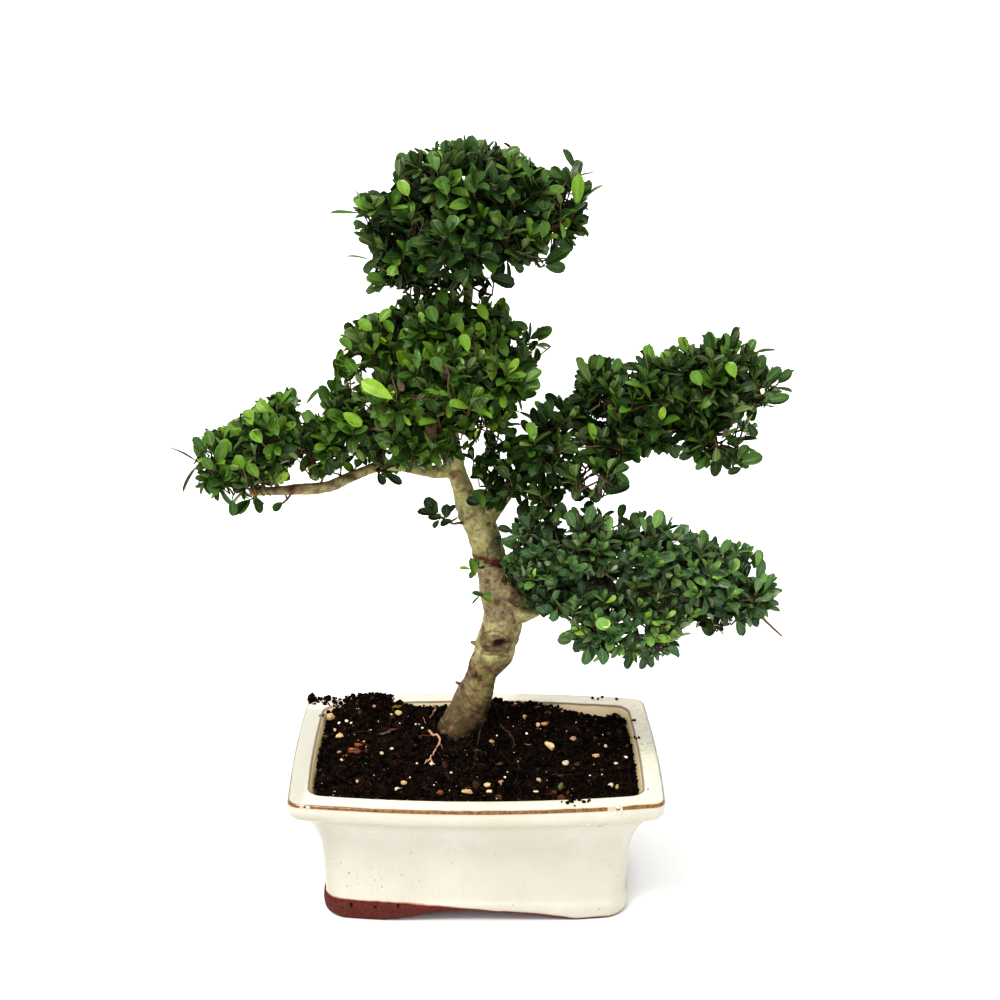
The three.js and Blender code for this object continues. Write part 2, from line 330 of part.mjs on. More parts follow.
// ---------------------------------------------------------------- trunk, limbs and roots, grown as one
function wood(grow) {
  const parts = [];
  for (const [name, points] of Object.entries(LIMBS))
    parts.push(limb(points, name === "trunk" ? 11 : points[0][3] > 4 ? 7 : points[0][3] > 1.7 ? 6 : 4, name === "trunk" ? 14 : 22, grow));
  for (const points of Object.values(TWIGS)) parts.push(limb(points, 4, 40, grow));
  for (const points of Object.values(ROOTS)) parts.push(limb(points, 5, 30, grow));
  return wasm.Manifold.union(parts);
}
const tree = largest(wood(0));
const treeSpace = wood(GAP + 0.05);

// ---------------------------------------------------------------- soil
function soilTop(x, y) {
  const dx = x - (POT_X - 8), dy = y - 28;
  const crown = SOIL_CROWN * Math.exp(-(dx * dx) / (2 * 34 * 34) - (dy * dy) / (2 * 22 * 22));
  const hx = x - (POT_X - 62), hy = y - 56;
  const heap = 7 * Math.exp(-(hx * hx) / (2 * 18 * 18) - (hy * hy) / (2 * 9 * 9));
  const rx = x - (POT_X + 22), ry = y - 52;
  const back = 3.5 * Math.exp(-(rx * rx) / (2 * 22 * 22) - (ry * ry) / (2 * 10 * 10));
  const waves = 0.9 * Math.sin(x * 0.11 + 1.3) * Math.sin(y * 0.13 + 0.4);
  return SOIL_EDGE + crown + heap + back + waves;
}
function soilCover() {
  const nx = 14, ny = 9, x0 = POT_X - 125, y0 = -90, dx = 250 / nx, dy = 180 / ny;
  const positions = [], triangles = [], id = (i, j, top) => (j * (nx + 1) + i) * 2 + (top ? 1 : 0);
  for (let j = 0; j <= ny; j++)
    for (let i = 0; i <= nx; i++) {
      const x = x0 + i * dx, y = y0 + j * dy;
      positions.push(x, y, 140, x, y, soilTop(x, y));
    }
  for (let j = 0; j < ny; j++)
    for (let i = 0; i < nx; i++) {
      const low = [id(i, j, 1), id(i + 1, j, 1), id(i + 1, j + 1, 1), id(i, j + 1, 1)];
      const up = [id(i, j, 0), id(i + 1, j, 0), id(i + 1, j + 1, 0), id(i, j + 1, 0)];
      triangles.push(low[0], low[2], low[1], low[0], low[3], low[2]);
      triangles.push(up[0], up[1], up[2], up[0], up[2], up[3]);
    }
  const edge = (i0, j0, i1, j1) => triangles.push(id(i0, j0, 1), id(i1, j1, 1), id(i1, j1, 0), id(i0, j0, 1), id(i1, j1, 0), id(i0, j0, 0));
  for (let i = 0; i < nx; i++) { edge(i, 0, i + 1, 0); edge(i + 1, ny, i, ny); }
  for (let j = 0; j < ny; j++) { edge(nx, j, nx, j + 1); edge(0, j + 1, 0, j); }
  return solid(positions, triangles);
}
let soil = loft(POT_INSIDE.map(([z, inset, corner]) => potRing(z + (z === FLOOR_TOP ? GAP : 0), inset + 0.35, corner, 1 - inset / 90)));
soil = soil.subtract(soilCover());
for (const x of [-DRAIN_X, DRAIN_X]) {
  const g = new THREE.BoxGeometry(SCREEN + 2 * GAP, SCREEN + 2 * GAP, 2 * (SCREEN_T + 2 * GAP));
  g.translate(POT_X + x, 0, FLOOR_TOP);
  soil = soil.subtract(solidOf(g));
}
soil = largest(soil.subtract(treeSpace));

// ---------------------------------------------------------------- foliage
function lumpy([x, y, z, rx, ry, rz], seed, detail, lumps) {
  const g = new THREE.IcosahedronGeometry(1, detail);
  const p = g.attributes.position, v = new THREE.Vector3();
  for (let i = 0; i < p.count; i++) {
    v.fromBufferAttribute(p, i).normalize();
    const wave = Math.sin(3.1 * v.x + seed) * Math.sin(2.7 * v.y - 1.7 * seed) + 0.7 * Math.sin(4.3 * v.z + 2.1 * seed) * Math.cos(3.7 * v.x - seed);
    v.multiplyScalar(1 + lumps * wave);
    p.setXYZ(i, x + v.x * rx, y + v.y * ry, z + v.z * rz);
  }
  return solidOf(g);
}
const names = Object.keys(CLUMPS);
const reach = (c, d) => 1 / Math.hypot(d.x / c[3], d.y / c[4], d.z / c[5]);
const clumps = names.map((name, k) => lumpy(CLUMPS[name], k * 1.37 + 0.5, 1, CLUMP_LUMPS));
// neighbours in a pad meet on a flat between them, a hair apart
for (let i = 0; i < names.length; i++)
  for (let j = i + 1; j < names.length; j++) {
    const a = CLUMPS[names[i]], b = CLUMPS[names[j]];
    const d = new THREE.Vector3(b[0] - a[0], b[1] - a[1], b[2] - a[2]), far = d.length();
    d.normalize();
    const ra = reach(a, d), rb = reach(b, d);
    if (far > 1.12 * (ra + rb)) continue;
    const at = (far * ra) / (ra + rb);
    const middle = a[0] * d.x + a[1] * d.y + a[2] * d.z + at;
    clumps[i] = clumps[i].trimByPlane([-d.x, -d.y, -d.z], -(middle - GAP / 2));
    clumps[j] = clumps[j].trimByPlane([d.x, d.y, d.z], middle + GAP / 2);
  }
const tint = (name) => (name.startsWith("right_lower") ? COLOUR.leafBlue : /_(1|2|4)$/.test(name) ? COLOUR.leafLight : COLOUR.leaf);
const foliage = names.map((name, k) => toMesh("foliage_" + name, largest(clumps[k].subtract(treeSpace)), tint(name), 0.45));
const sprouts = Object.keys(SPROUTS).map((name, k) =>
  toMesh(name, largest(lumpy(SPROUTS[name], k + 2.2, 1, 0.06).subtract(treeSpace)), COLOUR.leafLight, 0.45));

// ---------------------------------------------------------------- the whole thing
const bonsai = new THREE.Group();
const potted = new THREE.Group();
potted.add(toMesh("pot", pot, COLOUR.glaze, 0.3), ...screens, toMesh("soil", soil, COLOUR.soil, 0.95));
const plant = new THREE.Group();
plant.add(toMesh("tree_wood", tree, COLOUR.wood, 0.8), ...foliage, ...sprouts);
bonsai.add(potted, plant);
export default bonsai;
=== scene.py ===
"""Japanese holly bonsai in a glazed pot: the visual model.

Lengths inside this script are millimetres in the part's own frame (origin under the middle, +Z up, -Y the
front); a mesh is scaled to metres when it is made.
"""
import math
import bpy
import numpy as np
from mathutils import Matrix, Vector
from mathutils.bvhtree import BVHTree


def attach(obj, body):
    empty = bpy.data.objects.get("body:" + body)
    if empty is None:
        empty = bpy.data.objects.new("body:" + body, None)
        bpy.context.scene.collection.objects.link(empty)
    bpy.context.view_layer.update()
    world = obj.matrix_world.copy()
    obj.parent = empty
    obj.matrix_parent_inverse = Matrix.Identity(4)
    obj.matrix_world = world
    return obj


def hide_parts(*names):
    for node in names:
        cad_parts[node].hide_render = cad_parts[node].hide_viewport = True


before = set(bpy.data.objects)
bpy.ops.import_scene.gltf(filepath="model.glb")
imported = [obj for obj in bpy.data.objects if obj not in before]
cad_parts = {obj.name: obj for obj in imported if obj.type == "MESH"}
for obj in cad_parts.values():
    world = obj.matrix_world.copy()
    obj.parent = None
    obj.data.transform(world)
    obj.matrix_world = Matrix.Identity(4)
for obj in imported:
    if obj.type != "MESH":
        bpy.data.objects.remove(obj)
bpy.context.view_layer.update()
NODES = set(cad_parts)

POT_X = -4.0

# ---------------------------------------------------------------- viewpoint of the photograph
CAM_AT = np.array([-8.769, -1032.115, 654.720])
CAM_R = np.array([0.99983195, -0.01563716, 0.00956814])
CAM_U = np.array([-0.0037498, 0.33644821, 0.94169451])
CAM_F = np.array([0.01794461, 0.94157213, -0.33633303])
FOCAL = 1646.6586

data = bpy.data.cameras.new("photo_camera")
data.sensor_width = 36.0
data.lens = 36.0 * FOCAL / 1000.0
data.clip_start = 0.02
data.clip_end = 300.0
camera = bpy.data.objects.new("photo_camera", data)
bpy.context.scene.collection.objects.link(camera)
camera.matrix_world = Matrix((
    (CAM_R[0], CAM_U[0], -CAM_F[0], CAM_AT[0] / 1000),
    (CAM_R[1], CAM_U[1], -CAM_F[1], CAM_AT[1] / 1000),
    (CAM_R[2], CAM_U[2], -CAM_F[2], CAM_AT[2] / 1000),
    (0, 0, 0, 1)))
bpy.context.scene.camera = camera


def seen(P):
    """Where points land in the photograph's frame, 1000 x 1000."""
    d = np.atleast_2d(P) - CAM_AT
    z = d @ CAM_F
    return np.stack([500 + FOCAL * (d @ CAM_R) / z, 500 - FOCAL * (d @ CAM_U) / z], -1)


def sight(px, py):
    d = CAM_F + CAM_R * (px - 500) / FOCAL - CAM_U * (py - 500) / FOCAL
    return d / np.linalg.norm(d)


def at_depth(px, py, y):
    """The point of a line of sight that lies in the plane of that y."""
    d = sight(px, py)
    return CAM_AT + d * ((y - CAM_AT[1]) / d[1])


# ---------------------------------------------------------------- number helpers
def unit(v):
    v = np.asarray(v, float)
    return v / np.maximum(np.linalg.norm(v, axis=-1, keepdims=True), 1e-9)


def smooth(a, b, x):
    t = np.clip((np.asarray(x, float) - a) / (b - a), 0, 1)
    return t * t * (3 - 2 * t)


def hashed(ix, iy, iz, seed):
    with np.errstate(over="ignore"):
        h = (ix.astype(np.uint32) * np.uint32(374761393) + iy.astype(np.uint32) * np.uint32(668265263)
             + iz.astype(np.uint32) * np.uint32(2246822519) + np.uint32((seed * 3266489917) & 0xFFFFFFFF))
        h ^= h >> np.uint32(13)
        h *= np.uint32(1274126177)
        h ^= h >> np.uint32(16)
        h *= np.uint32(2654435761)
        h ^= h >> np.uint32(15)
    return (h & np.uint32(0xFFFFFF)).astype(float) / 16777215.0


def vnoise(P, seed=0):
    """Smooth value noise, 0 to 1."""
    P = np.atleast_2d(P)
    i = np.floor(P).astype(np.int64)
    f = P - i
    f = f * f * (3 - 2 * f)
    out = 0
    for dx in (0, 1):
        wx = f[:, 0] if dx else 1 - f[:, 0]
        for dy in (0, 1):
            wy = f[:, 1] if dy else 1 - f[:, 1]
            for dz in (0, 1):
                wz = f[:, 2] if dz else 1 - f[:, 2]
                out = out + wx * wy * wz * hashed(i[:, 0] + dx, i[:, 1] + dy, i[:, 2] + dz, seed)
    return out


def fbm(P, seed=0, octaves=3):
    out, amp, tot, P = 0, 1.0, 0, np.atleast_2d(P)
    for k in range(octaves):
        out = out + amp * vnoise(P * (2.03 ** k) + 7.3 * k, seed + k)
        tot += amp
        amp *= 0.5
    return out / tot


def srgb(r, g, b):
    c = np.array([r, g, b], float) / 255.0
    return tuple(np.where(c <= 0.04045, c / 12.92, ((c + 0.055) / 1.055) ** 2.4)) + (1.0,)


def through(points, step):
    """A smooth curve through points (any number of columns), sampled about every `step` mm."""
    P = np.array(points, float)
    if len(P) < 3:
        n = max(2, int(np.linalg.norm(P[-1, :3] - P[0, :3]) / step) + 1)
        t = np.linspace(0, 1, n)[:, None]
        return P[0] * (1 - t) + P[-1] * t
    Q = np.vstack([2 * P[0] - P[1], P, 2 * P[-1] - P[-2]])
    out = []
    for i in range(1, len(Q) - 2):
        p0, p1, p2, p3 = Q[i - 1], Q[i], Q[i + 1], Q[i + 2]
        k = [0.0]
        for a, b in ((p0, p1), (p1, p2), (p2, p3)):
            k.append(k[-1] + max(np.linalg.norm((b - a)[:3]), 1e-3) ** 0.5)
        n = max(1, int(round(np.linalg.norm((p2 - p1)[:3]) / step)))
        for t in np.linspace(k[1], k[2], n, endpoint=False):
            A1 = (k[1] - t) / (k[1] - k[0]) * p0 + (t - k[0]) / (k[1] - k[0]) * p1
            A2 = (k[2] - t) / (k[2] - k[1]) * p1 + (t - k[1]) / (k[2] - k[1]) * p2
            A3 = (k[3] - t) / (k[3] - k[2]) * p2 + (t - k[2]) / (k[3] - k[2]) * p3
            B1 = (k[2] - t) / (k[2] - k[0]) * A1 + (t - k[0]) / (k[2] - k[0]) * A2
            B2 = (k[3] - t) / (k[3] - k[1]) * A2 + (t - k[1]) / (k[3] - k[1]) * A3
            out.append((k[2] - t) / (k[2] - k[1]) * B1 + (t - k[1]) / (k[2] - k[1]) * B2)
    out.append(P[-1])
    return np.array(out)


# ---------------------------------------------------------------- mesh helpers
def mesh_object(name, V, faces, mats, slots=None, points=None, corner_uv=None, sharp=None, flat=False):
    """A mesh object from millimetre vertices. `faces` is a list of (n, k) index arrays, `slots` one material
    index per array, `points` a dict of per-vertex values, `corner_uv` a bake map per vertex."""
    me = bpy.data.meshes.new(name)
    V = np.asarray(V, float)
    faces = [np.asarray(f, np.int32) for f in faces]
    me.vertices.add(len(V))
    me.vertices.foreach_set("co", (V / 1000.0).astype(np.float32).ravel())
    loops = np.concatenate([f.ravel() for f in faces])
    sizes = np.concatenate([np.full(len(f), f.shape[1], np.int32) for f in faces])
    me.loops.add(len(loops))
    me.loops.foreach_set("vertex_index", loops)
    me.polygons.add(len(sizes))
    me.polygons.foreach_set("loop_start", np.concatenate([[0], np.cumsum(sizes)[:-1]]).astype(np.int32))
    if slots is not None:
        me.polygons.foreach_set("material_index", np.concatenate(
            [np.full(len(f), s, np.int32) if np.isscalar(s) else np.asarray(s, np.int32) for f, s in zip(faces, slots)]))
    for m in mats:
        me.materials.append(m)
    me.update(calc_edges=True)
    for key, val in (points or {}).items():
        val = np.asarray(val, np.float32)
        if val.ndim == 1:
            me.attributes.new(key, "FLOAT", "POINT").data.foreach_set("value", val)
        elif val.shape[1] == 3:
            me.attributes.new(key, "FLOAT_VECTOR", "POINT").data.foreach_set("vector", val.ravel())
        else:
            me.attributes.new(key, "FLOAT_COLOR", "POINT").data.foreach_set("color", val.ravel())
    if corner_uv is not None:
        layer = me.uv_layers.new(name="OFBake", do_init=False)
        layer.data.foreach_set("uv", np.asarray(corner_uv, np.float32)[loops].ravel())
    if flat:
        me.shade_flat()
    else:
        me.shade_smooth()
        if sharp:
            me.set_sharp_from_angle(angle=math.radians(sharp))
    me.validate()
    ob = bpy.data.objects.new(name, me)
    bpy.context.scene.collection.objects.link(ob)
    return ob


class Heap:
    """Collects many small solids into one mesh."""

    def __init__(self):
        self.v, self.f3, self.f4, self.at, self.n = [], [], [], {}, 0

    def add(self, V, f3=None, f4=None, **values):
        self.v.append(np.asarray(V, float))
        if f3 is not None and len(f3):
            self.f3.append(np.asarray(f3) + self.n)
        if f4 is not None and len(f4):
            self.f4.append(np.asarray(f4) + self.n)
        for k, val in values.items():
            val = np.asarray(val, float)
            if val.ndim <= 1 and (val.ndim == 0 or len(val) != len(V)):
                val = np.broadcast_to(val, (len(V),) + val.shape)
            self.at.setdefault(k, []).append(val)
        self.n += len(V)

    def make(self, name, mats, **kw):
        faces = []
        if self.f3:
            faces.append(np.concatenate(self.f3))
        if self.f4:
            faces.append(np.concatenate(self.f4))
        return mesh_object(name, np.concatenate(self.v), faces, mats,
                           points={k: np.concatenate(v) for k, v in self.at.items()}, **kw)


def tube(path, radii, sides=8, cap=True):
    """A closed tube along a path: vertices, quads, triangles."""
    P = np.asarray(path, float)
    r = np.broadcast_to(np.asarray(radii, float), (len(P),))
    T = unit(np.gradient(P, axis=0))
    n = np.array([0.3, -0.2, 0.93])
    if abs(T[0] @ n) > 0.9:
        n = np.array([1.0, 0.1, 0.0])
    n = unit(n - T[0] * (T[0] @ n))
    V = []
    a = np.linspace(0, 2 * math.pi, sides, endpoint=False)
    for i in range(len(P)):
        n = unit(n - T[i] * (T[i] @ n))
        b = np.cross(T[i], n)
        V.append(P[i] + r[i] * (np.cos(a)[:, None] * n + np.sin(a)[:, None] * b))
    V = np.concatenate(V)
    k = len(P)
    i = np.arange(k - 1)[:, None] * sides
    j = np.arange(sides)[None, :]
    j2 = (j + 1) % sides
    quads = np.stack([i + j, i + j2, i + sides + j2, i + sides + j], -1).reshape(-1, 4)
    tris = np.zeros((0, 3), int)
    if cap:
        V = np.vstack([V, P[0] - T[0] * r[0] * 0.35, P[-1] + T[-1] * r[-1] * 0.5])
        s = np.arange(sides)
        s2 = (s + 1) % sides
        tris = np.vstack([np.stack([s2, s, np.full(sides, k * sides)], -1),
                          np.stack([(k - 1) * sides + s, (k - 1) * sides + s2, np.full(sides, k * sides + 1)], -1)])
    return V, quads, tris


def ico(level):
    g = (1 + 5 ** 0.5) / 2
    V = [(-1, g, 0), (1, g, 0), (-1, -g, 0), (1, -g, 0), (0, -1, g), (0, 1, g), (0, -1, -g), (0, 1, -g),
         (g, 0, -1), (g, 0, 1), (-g, 0, -1), (-g, 0, 1)]
    F = [(0, 11, 5), (0, 5, 1), (0, 1, 7), (0, 7, 10), (0, 10, 11), (1, 5, 9), (5, 11, 4), (11, 10, 2), (10, 7, 6),
         (7, 1, 8), (3, 9, 4), (3, 4, 2), (3, 2, 6), (3, 6, 8), (3, 8, 9), (4, 9, 5), (2, 4, 11), (6, 2, 10),
         (8, 6, 7), (9, 8, 1)]
    V = [tuple(unit(v)) for v in V]
    for _ in range(level):
        mid, G = {}, []

        def half(a, b):
            key = (min(a, b), max(a, b))
            if key not in mid:
                V.append(tuple(unit(np.array(V[a]) + np.array(V[b]))))
                mid[key] = len(V) - 1
            return mid[key]
        for a, b, c in F:
            ab, bc, ca = half(a, b), half(b, c), half(c, a)
            G += [(a, ab, ca), (b, bc, ab), (c, ca, bc), (ab, bc, ca)]
        F = G
    return np.array(V), np.array(F)


ICO0, ICO1, ICO2 = ico(0), ico(1), ico(2)


def turned(rng):
    """A random rotation matrix."""
    q = unit(rng.normal(size=4))
    w, x, y, z = q
    return np.array([[1 - 2 * (y * y + z * z), 2 * (x * y - z * w), 2 * (x * z + y * w)],
                     [2 * (x * y + z * w), 1 - 2 * (x * x + z * z), 2 * (y * z - x * w)],
                     [2 * (x * z - y * w), 2 * (y * z + x * w), 1 - 2 * (x * x + y * y)]])


# ---------------------------------------------------------------- material helpers
class Mat:
    def __init__(self, name, roughness, specular=0.5, base=None):
        self.m = bpy.data.materials.new(name)
        self.m.use_nodes = True
        self.t = self.m.node_tree
        self.t.nodes.clear()
        out = self.t.nodes.new("ShaderNodeOutputMaterial")
        self.b = self.t.nodes.new("ShaderNodeBsdfPrincipled")
        self.t.links.new(self.b.outputs[0], out.inputs[0])
        self.b.inputs["Roughness"].default_value = roughness
        self.b.inputs["Specular IOR Level"].default_value = specular
        if base is not None:
            self.b.inputs["Base Color"].default_value = base

    def put(self, value, socket):
        if isinstance(value, (int, float)):
            socket.default_value = value
        elif isinstance(value, tuple):
            socket.default_value = value if len(value) == len(socket.default_value) else value[:len(socket.default_value)]
        else:
            self.t.links.new(value, socket)

    def math(self, op, a, b=0.0, c=0.0, clamp=False):
        n = self.t.nodes.new("ShaderNodeMath")
        n.operation = op
        n.use_clamp = clamp
        for k, v in enumerate((a, b, c)):
            if k < len(n.inputs):
                self.put(v, n.inputs[k])
        return n.outputs[0]

    def mix(self, f, a, b, mode="MIX"):
        n = self.t.nodes.new("ShaderNodeMix")
        n.data_type = "RGBA"
        n.blend_type = mode
        self.put(f, n.inputs[0])
        self.put(a, n.inputs[6])
        self.put(b, n.inputs[7])
        return n.outputs[2]

    def step(self, x, lo, hi, a=0.0, b=1.0):
        n = self.t.nodes.new("ShaderNodeMapRange")
        n.interpolation_type = "SMOOTHSTEP"
        self.put(x, n.inputs[0])
        n.inputs[1].default_value, n.inputs[2].default_value = lo, hi
        n.inputs[3].default_value, n.inputs[4].default_value = a, b
        return n.outputs[0]

    def attr(self, name, out="Fac"):
        n = self.t.nodes.new("ShaderNodeAttribute")
        n.attribute_name = name
        return n.outputs[out]

    def xyz(self, v):
        n = self.t.nodes.new("ShaderNodeSeparateXYZ")
        self.put(v, n.inputs[0])
        return n.outputs

    def place(self):
        n = self.t.nodes.new("ShaderNodeTexCoord")
        return n.outputs["Object"]

    def noise(self, vec, scale, detail=3.0, rough=0.55, distort=0.0):
        n = self.t.nodes.new("ShaderNodeTexNoise")
        self.put(vec, n.inputs["Vector"])
        n.inputs["Scale"].default_value = scale
        n.inputs["Detail"].default_value = detail
        n.inputs["Roughness"].default_value = rough
        n.inputs["Distortion"].default_value = distort
        return n.outputs[0]

    def bump(self, height, strength=0.3, distance=0.0005):
        n = self.t.nodes.new("ShaderNodeBump")
        n.inputs["Strength"].default_value = strength
        n.inputs["Distance"].default_value = distance
        self.put(height, n.inputs["Height"])
        self.t.links.new(n.outputs[0], self.b.inputs["Normal"])

    def color(self, value):
        self.put(value, self.b.inputs["Base Color"])

# ---------------------------------------------------------------- the pot
LIP_OUT = [[0, 22.4, 15], [2, 20.9, 15], [12.4, 20.2, 14], [13.6, 21.2, 13], [40, 20.6, 12], [56, 19.2, 12],
           [68, 16.0, 11], [77, 12.0, 11], [82, 9.2, 10], [86.2, 4.4, 8.5], [88.6, 1.5, 7.6], [91.0, 0.25, 7],
           [95.0, 0.0, 7], [98.9, 0.0, 7], [100.3, 0.45, 7], [101.0, 1.6, 7]]
LIP_IN = [[101.05, 7.0, 8], [101.0, 11.6, 9], [100.3, 13.1, 9], [98.4, 14.3, 9], [95, 15.6, 9.5], [78, 22.6, 10],
          [56, 27.5, 11], [26, 30, 12], [20, 33, 12]]
LONG_ARCH = [[-66, 0], [-52, 2.4], [-40, 5.2], [-28, 7.6], [-14, 9.2], [-2, 9.6], [14, 8.6], [30, 7.0], [44, 5.2],
             [58, 2.4], [70, 0]]
SHORT_ARCH = [[-32, 0], [-24, 2.8], [-14, 6.2], [0, 7.6], [14, 6.2], [24, 2.8], [32, 0]]


def outline(inset, corner, share):
    """Points round the pot in plan, always the same number and order, starting at the front left."""
    a, b = 125 - inset, 77.7 - inset
    c = corner
    pts = []
    n_long, n_short, n_arc = 96, 58, 9

    def line(p, q, n):
        t = np.linspace(0, 1, n, endpoint=False)[:, None]
        pts.append(np.array(p) * (1 - t) + np.array(q) * t)

    def arc(cx, cy, a0):
        t = a0 + np.linspace(0, math.pi / 2, n_arc, endpoint=False)
        pts.append(np.stack([cx + c * np.cos(t), cy + c * np.sin(t)], -1))
    line((-a + c, -b), (a - c, -b), n_long)
    arc(a - c, -b + c, -math.pi / 2)
    line((a, -b + c), (a, b - c), n_short)
    arc(a - c, b - c, 0)
    line((a - c, b), (-a + c, b), n_long)
    arc(-a + c, b - c, math.pi / 2)
    line((-a, b - c), (-a, -b + c), n_short)
    arc(-a + c, -b + c, math.pi)
    P = np.concatenate(pts)
    x, y = P[:, 0].copy(), P[:, 1].copy()
    P[:, 0] += np.sign(x) * 2.2 * share * np.maximum(0, 1 - (y / b) ** 2) * np.minimum(1, np.abs(x / a))
    P[:, 1] += np.sign(y) * 10.0 * share * np.maximum(0, 1 - (x / a) ** 2) * np.minimum(1, np.abs(y / b))
    return P


def ring(z, inset, corner, share=None):
    P = outline(inset, corner, 1 - inset / 90 if share is None else share)
    return np.column_stack([P[:, 0] + POT_X, P[:, 1], np.full(len(P), z)])


BASE = outline(21, 14, 0)
N_RING = len(BASE)


def foot_height():
    """How high the underside stands above the table round the outline: the arches between the feet."""
    x, y = BASE[:, 0], BASE[:, 1]
    front = np.abs(y) > 77.7 - 21 - 0.01
    h = np.where(front, np.interp(x, *np.array(LONG_ARCH).T), 0)
    side = np.abs(x) > 125 - 21 - 0.01
    h = np.where(side, np.interp(y, *np.array(SHORT_ARCH).T), h)
    k = np.array([1, 3, 5, 3, 1]) / 13
    return sum(w * np.roll(h, s) for w, s in zip(k, range(-2, 3)))


FOOT = foot_height()


def pot_mesh():
    prof = [[i, 0.0, z, c] for z, i, c in LIP_OUT] + [[i, 0.0, z, c] for z, i, c in LIP_IN]
    prof = through(prof, 2.9)
    ins, zz, cc = prof[:, 0], prof[:, 2], prof[:, 3]
    s = np.concatenate([[0], np.cumsum(np.hypot(np.diff(ins), np.diff(zz)))])
    edge = s[np.argmin(np.hypot(ins - 0.45, zz - 100.3))]
    inner = s[np.argmin(np.hypot(ins - 13.1, zz - 100.3))]
    V, S, kind = [], [], []
    low = 22.0
    for k in range(len(ins)):
        outer_side = s[k] < edge + 3
        P = ring(zz[k], ins[k], cc[k])
        if outer_side and zz[k] < low:
            P[:, 2] = FOOT + zz[k] * (low - FOOT) / low
        V.append(P)
        S.append(np.full(len(P), s[k]))
    # the underside: foot, then the recess under the floor
    under = []
    for z, i, c, f in ((0.35, 23.4, 14.6, 1), (0.0, 24.6, 14, 1), (0.0, 34, 9, 1), (0.6, 35, 8.5, 1), (10, 37, 8, 0), (12, 40, 7, 0)):
        share = (1 - i / 90) * (1 if i < 30 else 0)
        P = ring(z, i, c, share)
        if i >= 30:
            P = ring(z, i, c, 0.0)
        P[:, 2] = np.maximum(z + FOOT * f, z) if f else np.maximum(z, FOOT + 0.4)
        under.append(P)
    rings = under[::-1] + V
    sv = [np.full(N_RING, -10.0 - 3 * k) for k in range(len(under))][::-1] + S
    V = np.concatenate(rings)
    sv = np.concatenate(sv)
    k = len(rings)
    i = np.arange(k - 1)[:, None] * N_RING
    j = np.arange(N_RING)[None, :]
    j2 = (j + 1) % N_RING
    quads = np.stack([i + j, i + j2, i + N_RING + j2, i + N_RING + j], -1).reshape(-1, 4)
    heap = Heap()
    # a gentle hand-made unevenness in the walls
    sw = (fbm(V / np.array([42, 42, 30]), 11, 2) - 0.5) * 1.0 + (fbm(V / 9.0, 12, 2) - 0.5) * 0.16
    wall = sv > 0
    centre = np.array([POT_X, 0, 0])
    outward = unit((V - centre) * np.array([1, 1.6, 0]))
    V = V + outward * (sw * smooth(0, 6, sv) * (sv < inner))[:, None] * 0.6
    x = V[:, 0] - POT_X
    foot = np.tile(FOOT, k)
    # where the glaze stops above the front left foot (measured heights), and a thin bare edge elsewhere
    bare = np.interp(x, [-112, -102, -96, -89.8, -71.2, -51.9, -24.6, 2.8, 20], [14.5, 15.0, 15.2, 15.0, 14.8, 15.2, 14.2, 11.6, 9.0])
    bare = np.where((V[:, 1] < -38) & (x < 18), bare, foot + np.where(V[:, 1] < -20, 1.7, 0.9))
    bare = np.where((V[:, 1] >= -38) & (x < -88), np.interp(V[:, 1], [-42, -30, -10, 60], [14.5, 11, 5, 1.2]), bare)
    bare = np.where((V[:, 1] > 40), foot + 1.0 + 0.8 * np.sin(x * 0.06), bare)
    glz = V[:, 2] - bare
    glz = np.where(sv < 0, -6.0, glz)
    glz = np.where(sv > edge, 20, glz)
    glz = np.where(sv > s[-1] - 60, 20 - smooth(s[-1] - 60, s[-1] - 40, sv) * 40, glz)
    heap.add(V, f4=quads, sv=sv, glz=glz)
    # floor and drain holes: each half is bridged to its hole
    ends = {"top": ((k - 1) * N_RING, 20.0), "low": (0, 12.0)}
    loops = {}
    for key, (first, z) in ends.items():
        R = V[first:first + N_RING]
        for side in (-1, 1):
            hole = np.array([POT_X + 52 * side, 0.0])
            pts = R[(R[:, 0] - POT_X) * side > 0.5][:, :2]
            ys = np.linspace(-1, 1, 14) * (np.abs(R[np.argmin(np.abs(R[:, 0] - POT_X)), 1]))
            pts = np.vstack([pts, np.column_stack([np.full(14, POT_X), ys])])
            ang = np.arctan2(pts[:, 1] - hole[1], pts[:, 0] - hole[0])
            o = np.argsort(ang)
            pts, ang = pts[o], ang[o]
            m = len(pts)
            circ = hole + 11 * np.column_stack([np.cos(ang), np.sin(ang)])
            P = np.vstack([np.column_stack([pts, np.full(m, z)]), np.column_stack([circ, np.full(m, z)])])
            a = np.arange(m)
            b = (a + 1) % m
            q = np.stack([a, b, m + b, m + a], -1)
            heap.add(P, f4=q if key == "top" else q[:, ::-1], sv=-40.0, glz=-6.0)
            if key == "top":
                t = np.linspace(0, 2 * math.pi, 40, endpoint=False)
                c0 = np.column_stack([hole[0] + 11 * np.cos(t), 11 * np.sin(t), np.full(40, 12.0)])
                c1 = c0 + np.array([0, 0, 8.0])
                a = np.arange(40)
                b = (a + 1) % 40
                heap.add(np.vstack([c0, c1]), f4=np.stack([a, 40 + a, 40 + b, b], -1), sv=-40.0, glz=-6.0)
    return heap, edge, inner


